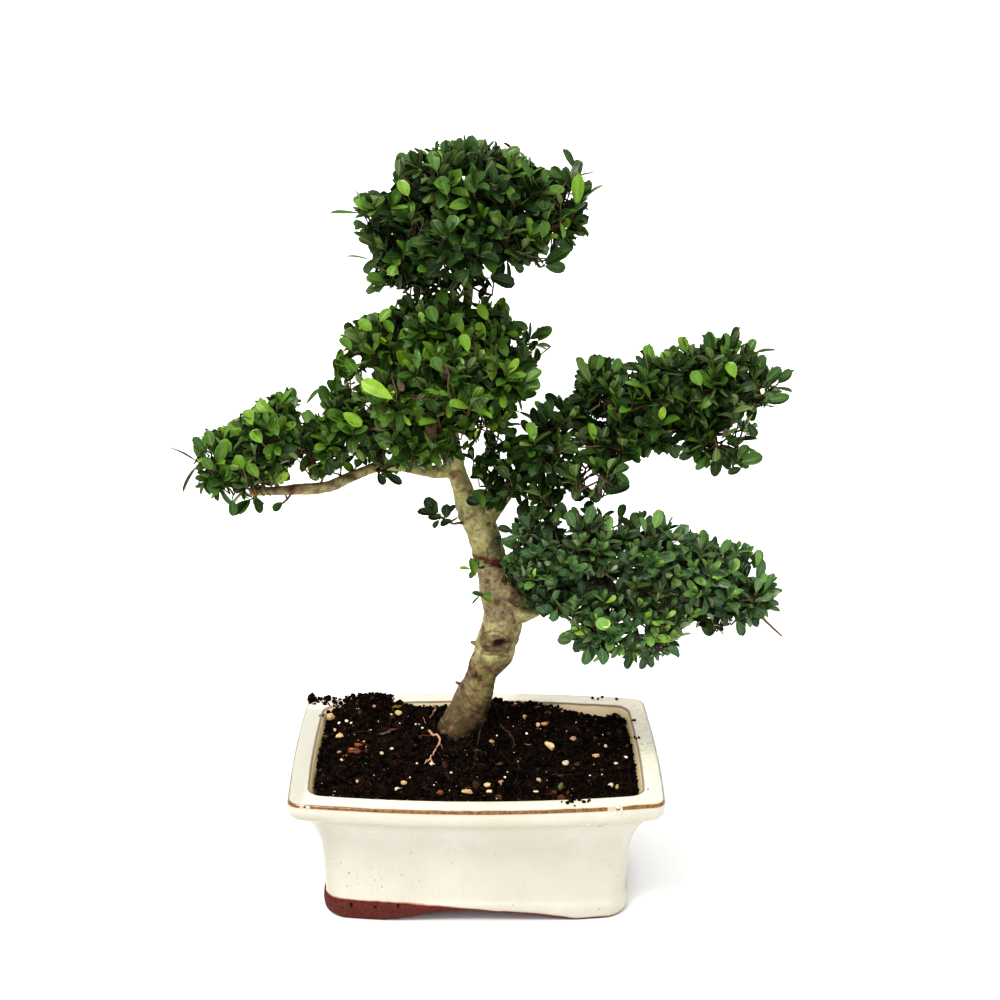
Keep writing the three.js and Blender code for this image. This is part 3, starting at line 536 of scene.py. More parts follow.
def glaze_material(edge, inner):
    m = Mat("cream_glaze", 0.24, 0.5)
    p = m.place()
    x, y, z = m.xyz(p)
    s = m.attr("sv")
    g = m.attr("glz")
    wob = m.noise(p, 60, 3)
    fine = m.noise(p, 420, 3, 0.6)
    broad = m.noise(p, 16, 2)
    cream = m.mix(m.step(broad, 0.3, 0.7), srgb(197, 194, 183), srgb(190, 187, 174))
    # painted shade: a darker, greener band of glaze under the overhanging lip
    under_lip_shade = m.math("MULTIPLY", m.step(z, 0.076, 0.0865), m.step(z, 0.094, 0.0885))
    cream = m.mix(m.math("MULTIPLY", under_lip_shade, 0.55), cream, srgb(184, 182, 156))
    cream = m.mix(m.math("MULTIPLY", m.step(fine, 0.60, 0.72), 0.25), cream, srgb(180, 170, 142))
    # painted light: the top of the lip is painted whiter, as if lit from above; its left end is painted greyer (painted
    # shade) and its back end whiter
    lit_lip_top = m.math("MULTIPLY", m.step(s, edge + 0.5, edge + 2.5), m.step(s, inner + 3.0, inner + 0.5))
    lit_lip_top_colour = m.mix(m.step(fine, 0.4, 0.7), srgb(226, 222, 205), srgb(214, 209, 190))
    lit_lip_top_colour = m.mix(m.step(x, -0.114, -0.121), lit_lip_top_colour, srgb(190, 187, 175))
    lit_lip_top_colour = m.mix(m.step(y, 0.056, 0.064), lit_lip_top_colour, srgb(233, 226, 210))
    cream = m.mix(lit_lip_top, cream, lit_lip_top_colour)
    # painted shade: the rounded left corner of the wall below the lip is painted darker
    corner = m.math("MULTIPLY", m.step(x, -0.094, -0.110), m.step(z, 0.096, 0.090))
    cream = m.mix(m.math("MULTIPLY", corner, 0.75), cream, srgb(176, 171, 158))
    # painted warm bounce light: the inner wall inside the lip is painted brighter and warmer
    inner_wall_bounce_light = m.step(s, inner + 0.4, inner + 1.8)
    cream = m.mix(m.math("MULTIPLY", inner_wall_bounce_light, 0.95), cream, srgb(234, 214, 172))
    # cloudy streaks down the walls
    comb = m.t.nodes.new("ShaderNodeCombineXYZ")
    m.put(m.math("MULTIPLY", x, 3.0), comb.inputs[0])
    m.put(m.math("MULTIPLY", y, 3.0), comb.inputs[1])
    m.put(z, comb.inputs[2])
    streak = m.noise(comb.outputs[0], 42, 4, 0.6)
    cream = m.mix(m.math("MULTIPLY", m.step(streak, 0.50, 0.68), 0.30), cream, srgb(181, 182, 172))
    # faint crackle
    v = m.t.nodes.new("ShaderNodeTexVoronoi")
    v.feature = "DISTANCE_TO_EDGE"
    v.inputs["Scale"].default_value = 210
    m.put(p, v.inputs["Vector"])
    crack = m.math("MULTIPLY", m.step(v.outputs[0], 0.028, 0.006), m.step(wob, 0.46, 0.64))
    cream = m.mix(m.math("MULTIPLY", crack, 0.26), cream, srgb(168, 152, 116))
    # brown break line along the outer edge of the lip, strongest on the front
    front = m.step(y, -0.071, -0.0765)
    wid = m.math("MULTIPLY_ADD", wob, 1.3, 0.95)
    off = m.math("ABSOLUTE", m.math("SUBTRACT", s, m.math("MULTIPLY_ADD", wob, 0.9, edge - 0.75)))
    line = m.math("SUBTRACT", 1.0, m.math("DIVIDE", off, wid), clamp=True)
    line = m.step(line, 0.04, 0.42)
    gap_l = m.step(m.math("ABSOLUTE", m.math("ADD", x, 0.119)), 0.0008, 0.0018)
    gap_r = m.step(m.math("ABSOLUTE", m.math("SUBTRACT", x, 0.0850)), 0.0022, 0.0036)
    line = m.math("MULTIPLY", m.math("MULTIPLY", line, gap_l), gap_r)
    strong = m.math("MULTIPLY_ADD", front, 0.28, 0.70)
    cream = m.mix(m.math("MULTIPLY", m.step(m.math("SUBTRACT", 1.0, m.math("DIVIDE", off, m.math("ADD", wid, 1.3)), clamp=True), 0.0, 0.9), m.math("MULTIPLY", front, 0.55)),
                  cream, srgb(172, 146, 102))
    brown = m.mix(m.step(fine, 0.35, 0.62), srgb(98, 62, 28), srgb(134, 96, 54))
    brown = m.mix(front, srgb(96, 84, 74), brown)
    cream = m.mix(m.math("MULTIPLY", line, strong), cream, brown)
    # finer line on the inner edge
    offi = m.math("ABSOLUTE", m.math("SUBTRACT", s, m.math("MULTIPLY_ADD", wob, 1.2, inner - 0.7)))
    thin = m.step(offi, 1.35, 0.40)
    thin = m.math("MULTIPLY", thin, m.step(y, -0.070, -0.060, 0.25, 0.8))
    cream = m.mix(thin, cream, srgb(124, 100, 72))
    # unglazed clay
    ragged = m.math("ADD", g, m.math("MULTIPLY_ADD", wob, 2.2, -1.1))
    bare = m.step(ragged, 0.35, -0.35)
    rimline = m.math("MULTIPLY", m.step(ragged, 1.3, 0.2), 0.75)
    cream = m.mix(rimline, cream, srgb(160, 88, 52))
    pits = m.step(m.noise(p, 230, 2), 0.66, 0.74)
    clay = m.mix(m.step(fine, 0.3, 0.7), srgb(80, 31, 23), srgb(100, 45, 33))
    clay = m.mix(m.math("MULTIPLY", pits, 0.85), clay, srgb(34, 14, 9))
    m.color(m.mix(bare, cream, clay))
    m.put(m.math("MULTIPLY_ADD", bare, 0.58, 0.24), m.b.inputs["Roughness"])
    return m.m


heap, EDGE, INNER = pot_mesh()
pot = heap.make("glazed_pot", [glaze_material(EDGE, INNER)], sharp=50)
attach(pot, "root")
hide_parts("pot")
bpy.context.view_layer.update()


def tree_of(ob):
    me = ob.data
    co = np.zeros(len(me.vertices) * 3, np.float32)
    me.vertices.foreach_get("co", co)
    return BVHTree.FromPolygons((co.reshape(-1, 3).astype(float) * 1000).tolist(), [list(p.vertices) for p in me.polygons])


POT_TREE = tree_of(pot)


def hit(tree, px, py):
    """Where a line of sight meets a surface: point and normal in mm, or None."""
    d = sight(px, py)
    loc, nor, _, _ = tree.ray_cast(Vector(CAM_AT), Vector(d), 3000)
    if loc is None:
        return None
    n = np.array(nor)
    if n @ d > 0:
        n = -n
    return np.array(loc), n


def sit(tree, x, y, top=140.0):
    """The highest surface point under (x, y), and its normal."""
    loc, nor, _, _ = tree.ray_cast(Vector((x, y, top)), Vector((0, 0, -1)), 200)
    if loc is None:
        return None
    return np.array(loc), np.array(nor)


# pinholes, blisters and a drip in the glaze
dots, lumps = Heap(), Heap()
rng = np.random.default_rng(3)
PINHOLES = [(333, 859, 1.0), (336, 864, .8), (341, 863, 1.1), (349, 873, 1.5), (347, 886, 1.2), (358, 878, .8),
            (358, 884, 1.0), (375, 880, 1.1), (382, 887, 1.3), (381, 878, .9), (401, 875, .9), (419, 881, 1.0),
            (411, 853, 1.2), (452, 863, 1.0), (495, 854, .9), (371, 868, .8), (424, 861, .7), (513, 905, 1.0),
            (642, 744, 1.7), (654, 776, 1.1), (656, 778, .9), (648, 789, 2.2), (633, 798, 1.0), (587, 803, 1.0),
            (638, 772, .8), (618, 876, 1.2), (616, 888, 1.0), (605, 860, .8), (627, 869, .9), (616, 903, 1.0),
            (599, 909, 1.3), (600, 826, 1.3), (604, 827, 1.1), (387, 799, 1.2), (326, 824, .9), (342, 827, .9),
            (452, 811, 1.0), (636, 698, 1.3), (430, 836, .6), (560, 850, .6), (520, 870, .7), (580, 880, .6),
        (351, 905, 4.2), (375, 907, 3.6), (398, 906, 3.4), (343, 908, 2.0), (389, 903, 1.8), (366, 910, 1.8), (362, 902, 1.4), (336, 902, 1.6), (306, 776, .6), (300, 752, .6), (304, 731, .6), (654, 829, .7), (469, 829, .6), (536, 843, .6)]


def dot(tree, px, py, d, kind=0.0, squash=1.0):
    h = hit(tree, px, py)
    if h is None:
        return
    P, n = h
    n = unit(n)
    a = unit(np.cross(n, [0.2, 0.1, 0.97]))
    b = np.cross(n, a)
    t = np.linspace(0, 2 * math.pi, 11, endpoint=False)
    r = d / 1.5 / 2 * (1 + 0.25 * np.sin(t * 2 + rng.uniform(0, 6)) + 0.15 * rng.uniform(-1, 1, 11))
    edge_pts = P + n * 0.03 + r[:, None] * (np.cos(t)[:, None] * a + squash * np.sin(t)[:, None] * b)
    V = np.vstack([edge_pts - n * 0.25, edge_pts, P + n * 0.10])
    i = np.arange(11)
    j = (i + 1) % 11
    dots.add(V, f3=np.stack([11 + i, 11 + j, np.full(11, 22)], -1), f4=np.stack([i, j, 11 + j, 11 + i], -1), k=kind)


for px, py, d in PINHOLES:
    dot(POT_TREE, px, py, d)
for _ in range(46):   # the same glaze on the sides nobody photographed
    side = rng.integers(0, 3)
    z = rng.uniform(20, 84)
    o = np.array([[POT_X, 300, z], [-400, rng.uniform(-50, 50), z], [400, rng.uniform(-50, 50), z]])[side]
    aim = np.array([rng.uniform(-100, 100) if side == 0 else POT_X, 0 if side == 0 else o[1], z])
    if side == 0:
        o[0] = aim[0]
    d = unit(aim - o)
    loc, nor, _, _ = POT_TREE.ray_cast(Vector(o), Vector(d), 900)
    if loc is not None:
        n = unit(np.array(nor)) * (-1 if np.dot(nor, d) > 0 else 1)
        P = np.array(loc)
        a = unit(np.cross(n, [0.1, 0.2, 0.97]))
        b = np.cross(n, a)
        t = np.linspace(0, 2 * math.pi, 9, endpoint=False)
        r = rng.uniform(0.25, 0.6)
        E = P + n * 0.03 + r * (np.cos(t)[:, None] * a + np.sin(t)[:, None] * b)
        i = np.arange(9)
        j = (i + 1) % 9
        dots.add(np.vstack([E - n * 0.25, E, P + n * 0.1]), f3=np.stack([9 + i, 9 + j, np.full(9, 18)], -1),
                 f4=np.stack([i, j, 9 + j, 9 + i], -1), k=0.0)
m = Mat("pinhole_dark", 0.7, 0.1, srgb(38, 28, 22))
pin = dots.make("glaze_pinholes", [m.m], flat=True)
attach(pin, "root")

for px, py, rx, rz in ((308, 807.5, 1.5, 0.9), (305.2, 809.5, 1.0, 0.8), (618, 806.5, 1.6, 1.8), (615.5, 813, 0.8, 2.0), (621.5, 810, 0.9, 2.4),
                       (594, 824.5, 3.0, .9), (600, 826.5, 1.6, .8), (588, 824.0, 2.0, .7)):
    h = hit(POT_TREE, px, py)
    if h is None:
        continue
    P, n = h
    a = unit(np.cross([0, 0, 1], n))
    b = unit(np.cross(n, a))
    I = ICO2[0]
    V = P + I[:, :1] * a * rx + I[:, 1:2] * b * rz + I[:, 2:3] * n * 0.55
    lumps.add(V, f3=ICO2[1])
m = Mat("cream_glaze_drip", 0.24, 0.4, srgb(196, 195, 182))
drip = lumps.make("glaze_drips", [m.m])
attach(drip, "root")

# ---------------------------------------------------------------- potting mix
def on_level(px, py, z):
    """The point of a line of sight at that height."""
    d = sight(px, py)
    return CAM_AT + d * ((z - CAM_AT[2]) / d[2])


BANK = on_level(489, 727, 97.0)


def soil_top(x, y):
    return (93.6 + 7.5 * np.exp(-(x - (POT_X - 8)) ** 2 / (2 * 34 ** 2) - (y - 28) ** 2 / (2 * 22 ** 2))
            + 11.0 * np.exp(-(x - (POT_X - 66)) ** 2 / (2 * 22 ** 2) - (y - 58) ** 2 / (2 * 9 ** 2))
            + 4.5 * np.exp(-(x - (POT_X - 92)) ** 2 / (2 * 12 ** 2) - (y - 58) ** 2 / (2 * 8 ** 2))
            + 9.0 * np.exp(-(x - (POT_X + 14)) ** 2 / (2 * 27 ** 2) - (y - 57) ** 2 / (2 * 11 ** 2))
            + 6.0 * np.exp(-(x - (POT_X + 46)) ** 2 / (2 * 16 ** 2) - (y - 60) ** 2 / (2 * 7 ** 2))
            + 1.8 * np.exp(-(np.abs(x - POT_X) - 110) ** 2 / (2 * 7 ** 2))
            + 6.0 * np.exp(-((x - BANK[0]) ** 2 + (y - BANK[1]) ** 2) / (2 * 9 ** 2))
            + 0.9 * np.sin(0.11 * x + 1.3) * np.sin(0.13 * y + 0.4))


def soil_mesh():
    heap = Heap()
    n_in = 60
    E = ring(0, 16.4, 9.5)[:, :2]
    # the mix meets the wall raggedly
    E = np.array([POT_X, 0]) + (E - np.array([POT_X, 0])) * 1.0
    c = np.array([POT_X, 0.0])
    t = np.linspace(0.01, 1, n_in) ** 0.82
    P = c + (E - c)[None] * t[:, None, None]
    P = P.reshape(-1, 2)
    z = soil_top(P[:, 0], P[:, 1])
    Q = np.column_stack([P, np.zeros(len(P))])
    rough = (fbm(Q / 11.0, 21, 3) - 0.5) * 6.4 + (fbm(Q / 3.6, 25, 2) - 0.5) * 5.0 + (vnoise(Q / 1.4, 29) - 0.5) * 1.8
    rim = np.repeat(t, N_RING)
    z = z + rough - 1.2 * smooth(0.93, 1, rim) * fbm(Q / 5.0, 31, 2)
    top = np.column_stack([P, z])
    col = fbm(Q / 4.0, 33, 3)
    k = n_in
    rings = [top]
    skirt = []
    for zz, ins, cr in ((88, 18.9, 9.6), (78, 23.0, 9.7), (56, 27.9, 10.5), (26, 30.4, 11.5), (21.9, 32.4, 11.5)):
        skirt.append(ring(zz, ins, cr))
    V = np.vstack(rings + skirt + [[[POT_X, 0, 21.9]], [[POT_X, 0, float(soil_top(POT_X, 0))]]])
    K = k + len(skirt)
    i = np.arange(K - 1)[:, None] * N_RING
    j = np.arange(N_RING)[None, :]
    j2 = (j + 1) % N_RING
    q = np.stack([i + j, i + N_RING + j, i + N_RING + j2, i + j2], -1).reshape(-1, 4)
    a, b = np.arange(N_RING), (np.arange(N_RING) + 1) % N_RING
    low, mid = K * N_RING, K * N_RING + 1
    f3 = np.vstack([np.stack([(K - 1) * N_RING + b, (K - 1) * N_RING + a, np.full(N_RING, low)], -1),
                    np.stack([a, b, np.full(N_RING, mid)], -1)])
    cc = np.concatenate([col, np.full(len(V) - len(col), 0.45)])
    heap.add(V, f3=f3, f4=q, k=cc)
    return heap


def soil_material(name, attr_name="k"):
    m = Mat(name, 0.9, 0.08)
    p = m.place()
    k = m.attr(attr_name)
    n1 = m.noise(p, 330, 4, 0.65)
    n2 = m.noise(p, 95, 3, 0.6)
    c = m.mix(m.step(n1, 0.36, 0.70), srgb(7, 5, 4), srgb(42, 31, 25))
    c = m.mix(m.math("MULTIPLY", m.step(n2, 0.54, 0.72), 0.50), c, srgb(60, 38, 29))
    c = m.mix(m.math("MULTIPLY", m.step(k, 0.62, 0.80), 0.5), c, srgb(54, 38, 31))
    c = m.mix(m.math("MULTIPLY", m.step(k, 0.90, 0.97), 0.75), c, srgb(104, 74, 58))
    c = m.mix(m.math("MULTIPLY", m.step(k, 0.30, 0.12), 0.7), c, srgb(10, 7, 5))
    c = m.mix(m.math("MULTIPLY", m.step(m.noise(p, 900, 1), 0.70, 0.76), 0.6), c, srgb(140, 112, 84))
    m.color(c)
    return m.m


SOIL_MAT = soil_material("potting_mix")
soil = soil_mesh().make("potting_mix_surface", [SOIL_MAT])
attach(soil, "root")
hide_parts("soil")
SOIL_TREE = tree_of(soil)

# crumbs, from dust to lumps the size of a pea
rng = np.random.default_rng(5)
crumbs = Heap()


def lump(heap, P, size, shape, level=0, up=None, seed_rng=None, wobble=0.28, **vals):
    r = seed_rng or rng
    I, F = (ICO0, ICO1, ICO2)[level]
    R = turned(r)
    S = (I * (1 + wobble * r.uniform(-1, 1, (len(I), 1)))) * np.array(shape) * size / 2
    heap.add(S @ R.T + P, f3=F, **vals)


def on_soil(x, y):
    return sit(SOIL_TREE, x, y)


inside = ring(0, 17.5, 9.0)[:, :2]


def in_pot(x, y, margin=0.0):
    a = 125 - 17.5 - margin + 2.2 * 0.8 * max(0, 1 - (y / 60) ** 2)
    b = 77.7 - 17.5 - margin + 10 * 0.8 * max(0, 1 - ((x - POT_X) / 107.5) ** 2)
    return abs(x - POT_X) < a and abs(y) < b


n_crumb = 2600
for i in range(n_crumb):
    x, y = rng.uniform(-116, 108), rng.uniform(-72, 72)
    if not in_pot(x, y):
        continue
    h = on_soil(x, y)
    if h is None:
        continue
    size = 1.2 + 4.4 * rng.random() ** 2.6
    if rng.random() < 0.045:
        size = rng.uniform(4.5, 8.5)
    lump(crumbs, h[0] + np.array([0, 0, size * 0.12]), size, (1, rng.uniform(0.55, 1), rng.uniform(0.4, 0.8)),
         k=rng.random())
for i in range(170):
    x, y = rng.uniform(-112, 104), rng.uniform(-66, 68)
    h = on_soil(x, y) if in_pot(x, y, 4) else None
    if h is not None:
        lump(crumbs, h[0], rng.uniform(3.6, 7.0), (1, rng.uniform(0.6, 1), rng.uniform(0.35, 0.6)), level=1, wobble=0.42, k=rng.random() * 0.62)
# crumbs caught along the wall
for i in range(420):
    j = rng.integers(0, N_RING)
    e = ring(0, 16.0 + rng.uniform(0, 3.2), 9.0)[j]
    z = soil_top(e[0], e[1]) + rng.uniform(-1.5, 1.7)
    lump(crumbs, np.array([e[0], e[1], z]), rng.uniform(1.2, 3.6), (1, 0.8, 0.7), k=rng.random())

# debris spilled on the rim, as photographed: back left corner, front right, right side
RIM = []
for (px, py, n, spread) in ((306, 697, 8, 2.5), (327, 697, 6, 3), (337, 698, 3, 4), (345, 696, 5, 4), (355, 696, 5, 3), (311, 704, 3, 2),
                            (566, 797.5, 5, 4), (573, 801, 5, 3), (560, 797, 3, 2), (587, 802, 2, 2), (386, 799, 2, 1.5),
                            (631, 721, 4, 2), (636, 738, 3, 2), (322, 716, 4, 2), (616, 699, 4, 3), (600, 699, 4, 4), (634, 790, 2, 2)):
    for _ in range(n):
        h = hit(POT_TREE, px + rng.normal() * spread, py + rng.normal() * spread * 0.35)
        if h is None or h[0][2] < 97:
            continue
        RIM.append(h[0])
for P in RIM:
    lump(crumbs, P + np.array([0, 0, 0.5]), rng.uniform(1.1, 3.2), (1, 0.75, 0.6), k=0.4 + rng.random() * 0.6)
# little drifts of mix lying over the back of the lip, deepest in the middle
for (px, py, n, spread) in ((357, 702.6, 34, 3), (364.5, 702.6, 30, 3.2), (350, 703.4, 18, 3), (371, 703, 18, 3), (308.5, 697, 34, 2.2), (308, 701, 12, 1.6), (315, 700, 8, 2.2), (322, 700.5, 16, 3), (327.5, 696.5, 24, 2.6), (331, 701.5, 10, 3),
                            (345, 695.4, 8, 3.4), (353.5, 694.6, 12, 1.6), (353, 701, 12, 1.6), (362, 698.5, 50, 4), (370, 699, 78, 4.4), (379, 699, 84, 4.4),
                            (387, 699.5, 60, 3.6), (340, 703.5, 10, 5), (352, 704, 18, 5), (566, 798.5, 16, 4), (575, 801, 12, 3.6)):
    for _ in range(n):
        a, b = rng.normal(size=2)
        h = hit(POT_TREE, px + a * spread, py + b * 2.4)
        if h is None or h[0][2] < 92:
            continue
        pile = 4.4 * min(1.0, n / 70) * math.exp(-(a * a + b * b) * 0.5) * rng.uniform(0, 1)
        lump(crumbs, h[0] + np.array([0, 0, 0.4 + pile]), rng.uniform(1.2, 3.8), (1, 0.8, 0.65), k=0.35 + rng.random() * 0.65)
for px, py, size in ((307, 697, 4.6), (309.6, 695.4, 5.0), (312, 698, 4.8), (308.4, 700.4, 4.4), (313.6, 700.6, 4.0), (310.4, 702.6, 3.8), (345.4, 702, 4.4),
                     (349, 703, 4.6), (353.6, 697, 4.2), (325.6, 697.4, 4.4), (328.6, 699, 4.6), (335, 702.6, 4.0), (357, 700.4, 4.8), (341, 704, 3.8)):
    h = hit(POT_TREE, px, py)
    if h is not None and h[0][2] > 92:
        lump(crumbs, h[0] + np.array([0, 0, size * 0.22]), size, (1, 0.85, 0.6), level=1, wobble=0.4, k=0.5 + rng.random() * 0.3)
# a clod on the back left corner of the lip
for px, py, lift in ((307.5, 700.4, 1.4), (310.6, 700.4, 1.5), (313.6, 700.6, 1.2), (309, 699.8, 3.4), (312.2, 699.8, 3.2), (307.4, 700, 3.6), (310.2, 701.6, 2.4)):
    h = hit(POT_TREE, px, py)
    if h is not None and h[0][2] > 92:
        lump(crumbs, h[0] + np.array([0, 0, lift]), 5.2, (1, 0.85, 0.75), level=1, wobble=0.4, k=0.5 + rng.random() * 0.2)
crumb = crumbs.make("potting_mix_crumbs", [soil_material("potting_crumbs")], flat=True)
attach(crumb, "root")

# ---------------------------------------------------------------- pellets, perlite and bark chips
chips = Heap()
PALE, YELLOW, BEIGE, ORANGE, GREEN, WHITE, RUST = (srgb(226, 206, 168), srgb(205, 176, 92), srgb(206, 172, 130),
                                                 srgb(190, 112, 46), srgb(96, 108, 48), srgb(240, 234, 222), srgb(120, 66, 40))
CREAM, PINKISH, STONE, DULL = srgb(216, 194, 148), srgb(178, 140, 116), srgb(134, 120, 104), srgb(160, 150, 96)
YELLOW, BEIGE, PALE = srgb(206, 182, 130), srgb(194, 170, 126), srgb(216, 202, 170)
ORANGE, RUST = srgb(212, 140, 66), srgb(134, 82, 50)
PELLETS = [(550, 747.5, 13.5, 7.6, 52, CREAM), (596.3, 757, 10, 5.2, -4, YELLOW), (566, 764.3, 8, 6, -25, PALE), (573.3, 740, 8, 5, 22, PINKISH),
           (538, 726, 5, 4.6, 0, CREAM), (544.5, 725, 9, 4.6, -10, srgb(196, 140, 84)), (524.8, 718, 6.4, 4.6, 70, BEIGE), (538.8, 782, 7, 5.2, 65, BEIGE),
           (560.5, 788, 9.5, 6, -72, GREEN), (610.8, 787, 8, 5.4, -60, PALE), (617.3, 788, 7, 4.4, -65, DULL), (487.6, 786.6, 8.6, 5.8, -28, CREAM),
           (489.2, 793, 7, 5, 0, PALE), (467.5, 793.2, 11, 5.4, 8, BEIGE), (501.2, 784.6, 7, 6, 10, PINKISH), (492, 743, 6, 5, 30, srgb(176, 142, 100)),
           (485, 721.2, 7, 5.6, 15, STONE), (526.5, 734.3, 3.2, 3, 0, WHITE), (514, 753.8, 2.6, 2.4, 0, WHITE), (606, 747, 4.6, 3.4, 60, PALE),
           (626, 758, 4.2, 3.4, 20, WHITE), (616, 764.2, 5, 3, 0, PALE), (536, 792.3, 7, 2.6, 4, PALE), (330.6, 718.6, 10, 8.4, 0, BEIGE),
           (339.7, 737.3, 9, 6.2, 12, YELLOW), (334.6, 731, 5, 4, 80, CREAM), (339, 723.8, 3.6, 3, -35, WHITE), (346.6, 722, 4.6, 3.8, 0, WHITE),
           (351, 723.6, 2.8, 2.6, 0, WHITE), (398.6, 714.4, 8.8, 6, 8, YELLOW), (391.6, 715.6, 3.8, 3.4, 0, PALE), (374.3, 707.2, 4.6, 3.4, 20, PINKISH),
           (382, 754.3, 4.8, 3.8, 40, PALE), (391.6, 749.6, 4.6, 3, 10, PALE), (341.6, 761, 4, 3.6, 0, PALE), (324.8, 756, 4, 2.8, 20, STONE),
           (339, 753, 5.2, 3, 0, PINKISH), (404, 784, 8, 4.4, 0, BEIGE), (397.5, 790.5, 7, 4.6, 10, PALE), (440, 794, 7.4, 5.2, 0, RUST),
           (357.5, 783, 5.6, 4.4, 0, BEIGE), (431.5, 765, 4.6, 4, 30, PALE), (427, 762, 4, 3.4, 0, PINKISH), (451, 773.4, 3.6, 2.6, 0, PALE),
           (321, 784, 3.4, 2.8, 0, PALE), (453.5, 781, 5.4, 3, 0, PALE), (505, 778, 3, 2.4, 0, WHITE), (417, 764, 2.8, 2.4, 0, PALE),
           (364, 742, 3, 2.4, 0, BEIGE), (378, 722, 2.2, 2, 0, WHITE), (518, 762, 2.4, 2, 0, PALE), (422.5, 728.6, 3.2, 2.4, 30, WHITE),
           (415.6, 724.8, 3.2, 2.2, 20, WHITE), (576, 723, 2.6, 2, 0, PALE), (590, 776, 2.4, 2, 0, WHITE), (497, 736, 2.2, 2, 0, WHITE),
           (508, 718, 2.4, 2, 0, PALE), (562, 712, 2.4, 2, 0, BEIGE), (602, 775, 2.2, 1.8, 0, PALE), (410, 778, 2.6, 2, 0, PALE)]
for px, py, w, h_, slope, c in PELLETS:
    h = hit(SOIL_TREE, px, py)
    if h is None:
        continue
    P, n = h
    w, hh = w / 1.6, h_ / 1.6
    I, F = ICO2
    # the long axis as it slopes in the frame, laid down on the mix
    t_ = math.radians(slope)
    a = CAM_R * math.cos(t_) - CAM_U * math.sin(t_)
    n = unit(np.array([0, 0, 1.0]) * 0.8 - CAM_F * 0.5)
    a = unit(a - n * (a @ n))
    b = np.cross(n, a)
    off3 = rng.uniform(0, 50)
    S = I * (1 + 0.42 * (fbm(I * 1.5 + off3, 3, 2) - 0.5)[:, None] * 2 + 0.22 * (vnoise(I * 3.4 + off3, 4) - 0.5)[:, None])
    V = P + np.array([0, 0, 0.32 * min(w, hh)]) + S[:, :1] * a * w / 2 + S[:, 1:2] * b * hh / 2 * 1.1 + S[:, 2:3] * n * min(w, hh) / 2 * 0.9
    # painted shade: each pellet is darker towards its underside, where it sits in the mix
    shade = 0.62 + 0.5 * smooth(-0.6, 0.5, S[:, 2] + 0.5 * (vnoise(I * 2.6 + px, 5) - 0.5))
    # random browner patches on top of that; the darker parts also turn browner
    shade = np.clip(shade * (1 + 0.7 * (vnoise(I * 3 + off3, 5) - 0.5)), 0.25, 1.05)[:, None]
    cc = np.array(c) * np.concatenate([shade, shade ** 1.35, shade ** 1.8, shade], 1)
    cc[:, 3] = 1
    chips.add(V, f3=F, c=cc)
# the orange bark chip, and smaller bits of bark and straw
for px, py, w, hh, c in ((353, 752, 22, 7.5, srgb(104, 52, 28)), (352.5, 751, 14, 6.0, srgb(196, 122, 52)), (358, 746, 10, 4.5, srgb(150, 84, 48)), (352, 783, 8, 3, srgb(120, 62, 40)),
                         (398, 707.4, 13, 4.6, srgb(124, 98, 48)), (468, 790, 8, 4, srgb(120, 70, 48)), (390, 731.4, 17, 4.6, srgb(112, 52, 46)), (385, 734.4, 12, 4.6, srgb(92, 80, 62)),
                         (346, 757, 7, 3, srgb(160, 90, 40)), (312, 731, 6, 3.4, srgb(86, 40, 30)), (547, 714, 10, 5, srgb(46, 56, 30)), (515, 707, 12, 4, srgb(96, 58, 44)), (560, 777, 10, 2.2, srgb(70, 62, 40)), (536, 708, 9, 2.6, srgb(150, 104, 60)),
                         (478, 752, 8, 4, srgb(74, 52, 38)), (500, 765, 9, 3, srgb(80, 60, 40))):
    h = hit(SOIL_TREE, px, py)
    if h is None:
        continue
    P, n = h
    I, F = ICO1
    S = I * (1 + 0.35 * rng.uniform(-1, 1, (len(I), 1)))
    ang = rng.uniform(-0.5, 0.5)
    a, b = unit([math.cos(ang), math.sin(ang), 0.1]), unit([-math.sin(ang), math.cos(ang), 0.25])
    V = P + np.array([0, 0, 0.8]) + S[:, :1] * a * w / 3.0 + S[:, 1:2] * b * hh / 3.0 + S[:, 2:3] * np.cross(a, b) * 1.0
    cc = np.array(c) * (0.65 + 0.7 * rng.random((len(I), 1)))
    cc[:, 3] = 1
    chips.add(V, f3=F, c=cc)
for i in range(210):
    x, y = rng.uniform(-112, 104), rng.uniform(-68, 68)
    if not in_pot(x, y, 2):
        continue
    h = on_soil(x, y)
    if h is None:
        continue
    c = [WHITE, PALE, BEIGE, srgb(120, 74, 48), srgb(96, 60, 42)][rng.choice(5, p=[.2, .2, .14, .23, .23])]
    lump(chips, h[0] + np.array([0, 0, 0.3]), rng.uniform(0.7, 1.7), (1, 0.8, 0.7), c=np.array(c))
m = Mat("pellets", 0.6, 0.4)
p = m.place()
m.color(m.mix(m.math("MULTIPLY", m.step(m.noise(p, 600, 3), 0.45, 0.7), 0.35), m.attr("c", "Color"), srgb(92, 62, 40)))
chip = chips.make("pellets_and_chips", [m.m])
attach(chip, "root")

# ---------------------------------------------------------------- fine dead roots and straws on the mix
fibres = Heap()


def lay(points, r, c, lift=0.3, sides=6, taper=0.5, tree=None):
    """A strand laid on the mix along points of the photograph."""
    P = []
    for px, py in points:
        h = hit(tree or SOIL_TREE, px, py)
        if h is not None:
            P.append(h[0])
    if len(P) < 2:
        return
    Q = through(P, 2.0)
    z = np.array([(on_soil(q[0], q[1]) or (q, 0))[0][2] for q in Q])
    Q[:, 2] = np.maximum(z, Q[:, 2] - 1.5) + r * 0.6 + lift
    rr = r * (1 - (1 - taper) * np.linspace(0, 1, len(Q)))
    rr = rr * (1 + 0.18 * (vnoise(Q / 2.0, 8) - 0.5) * 2)
    V, q, t = tube(Q, rr, sides)
    cc = np.array(c) * (1 + 0.5 * (vnoise(V / 1.6, 6)[:, None] - 0.5))
    cc[:, 3] = 1
    fibres.add(V, f3=t, f4=q, c=cc)


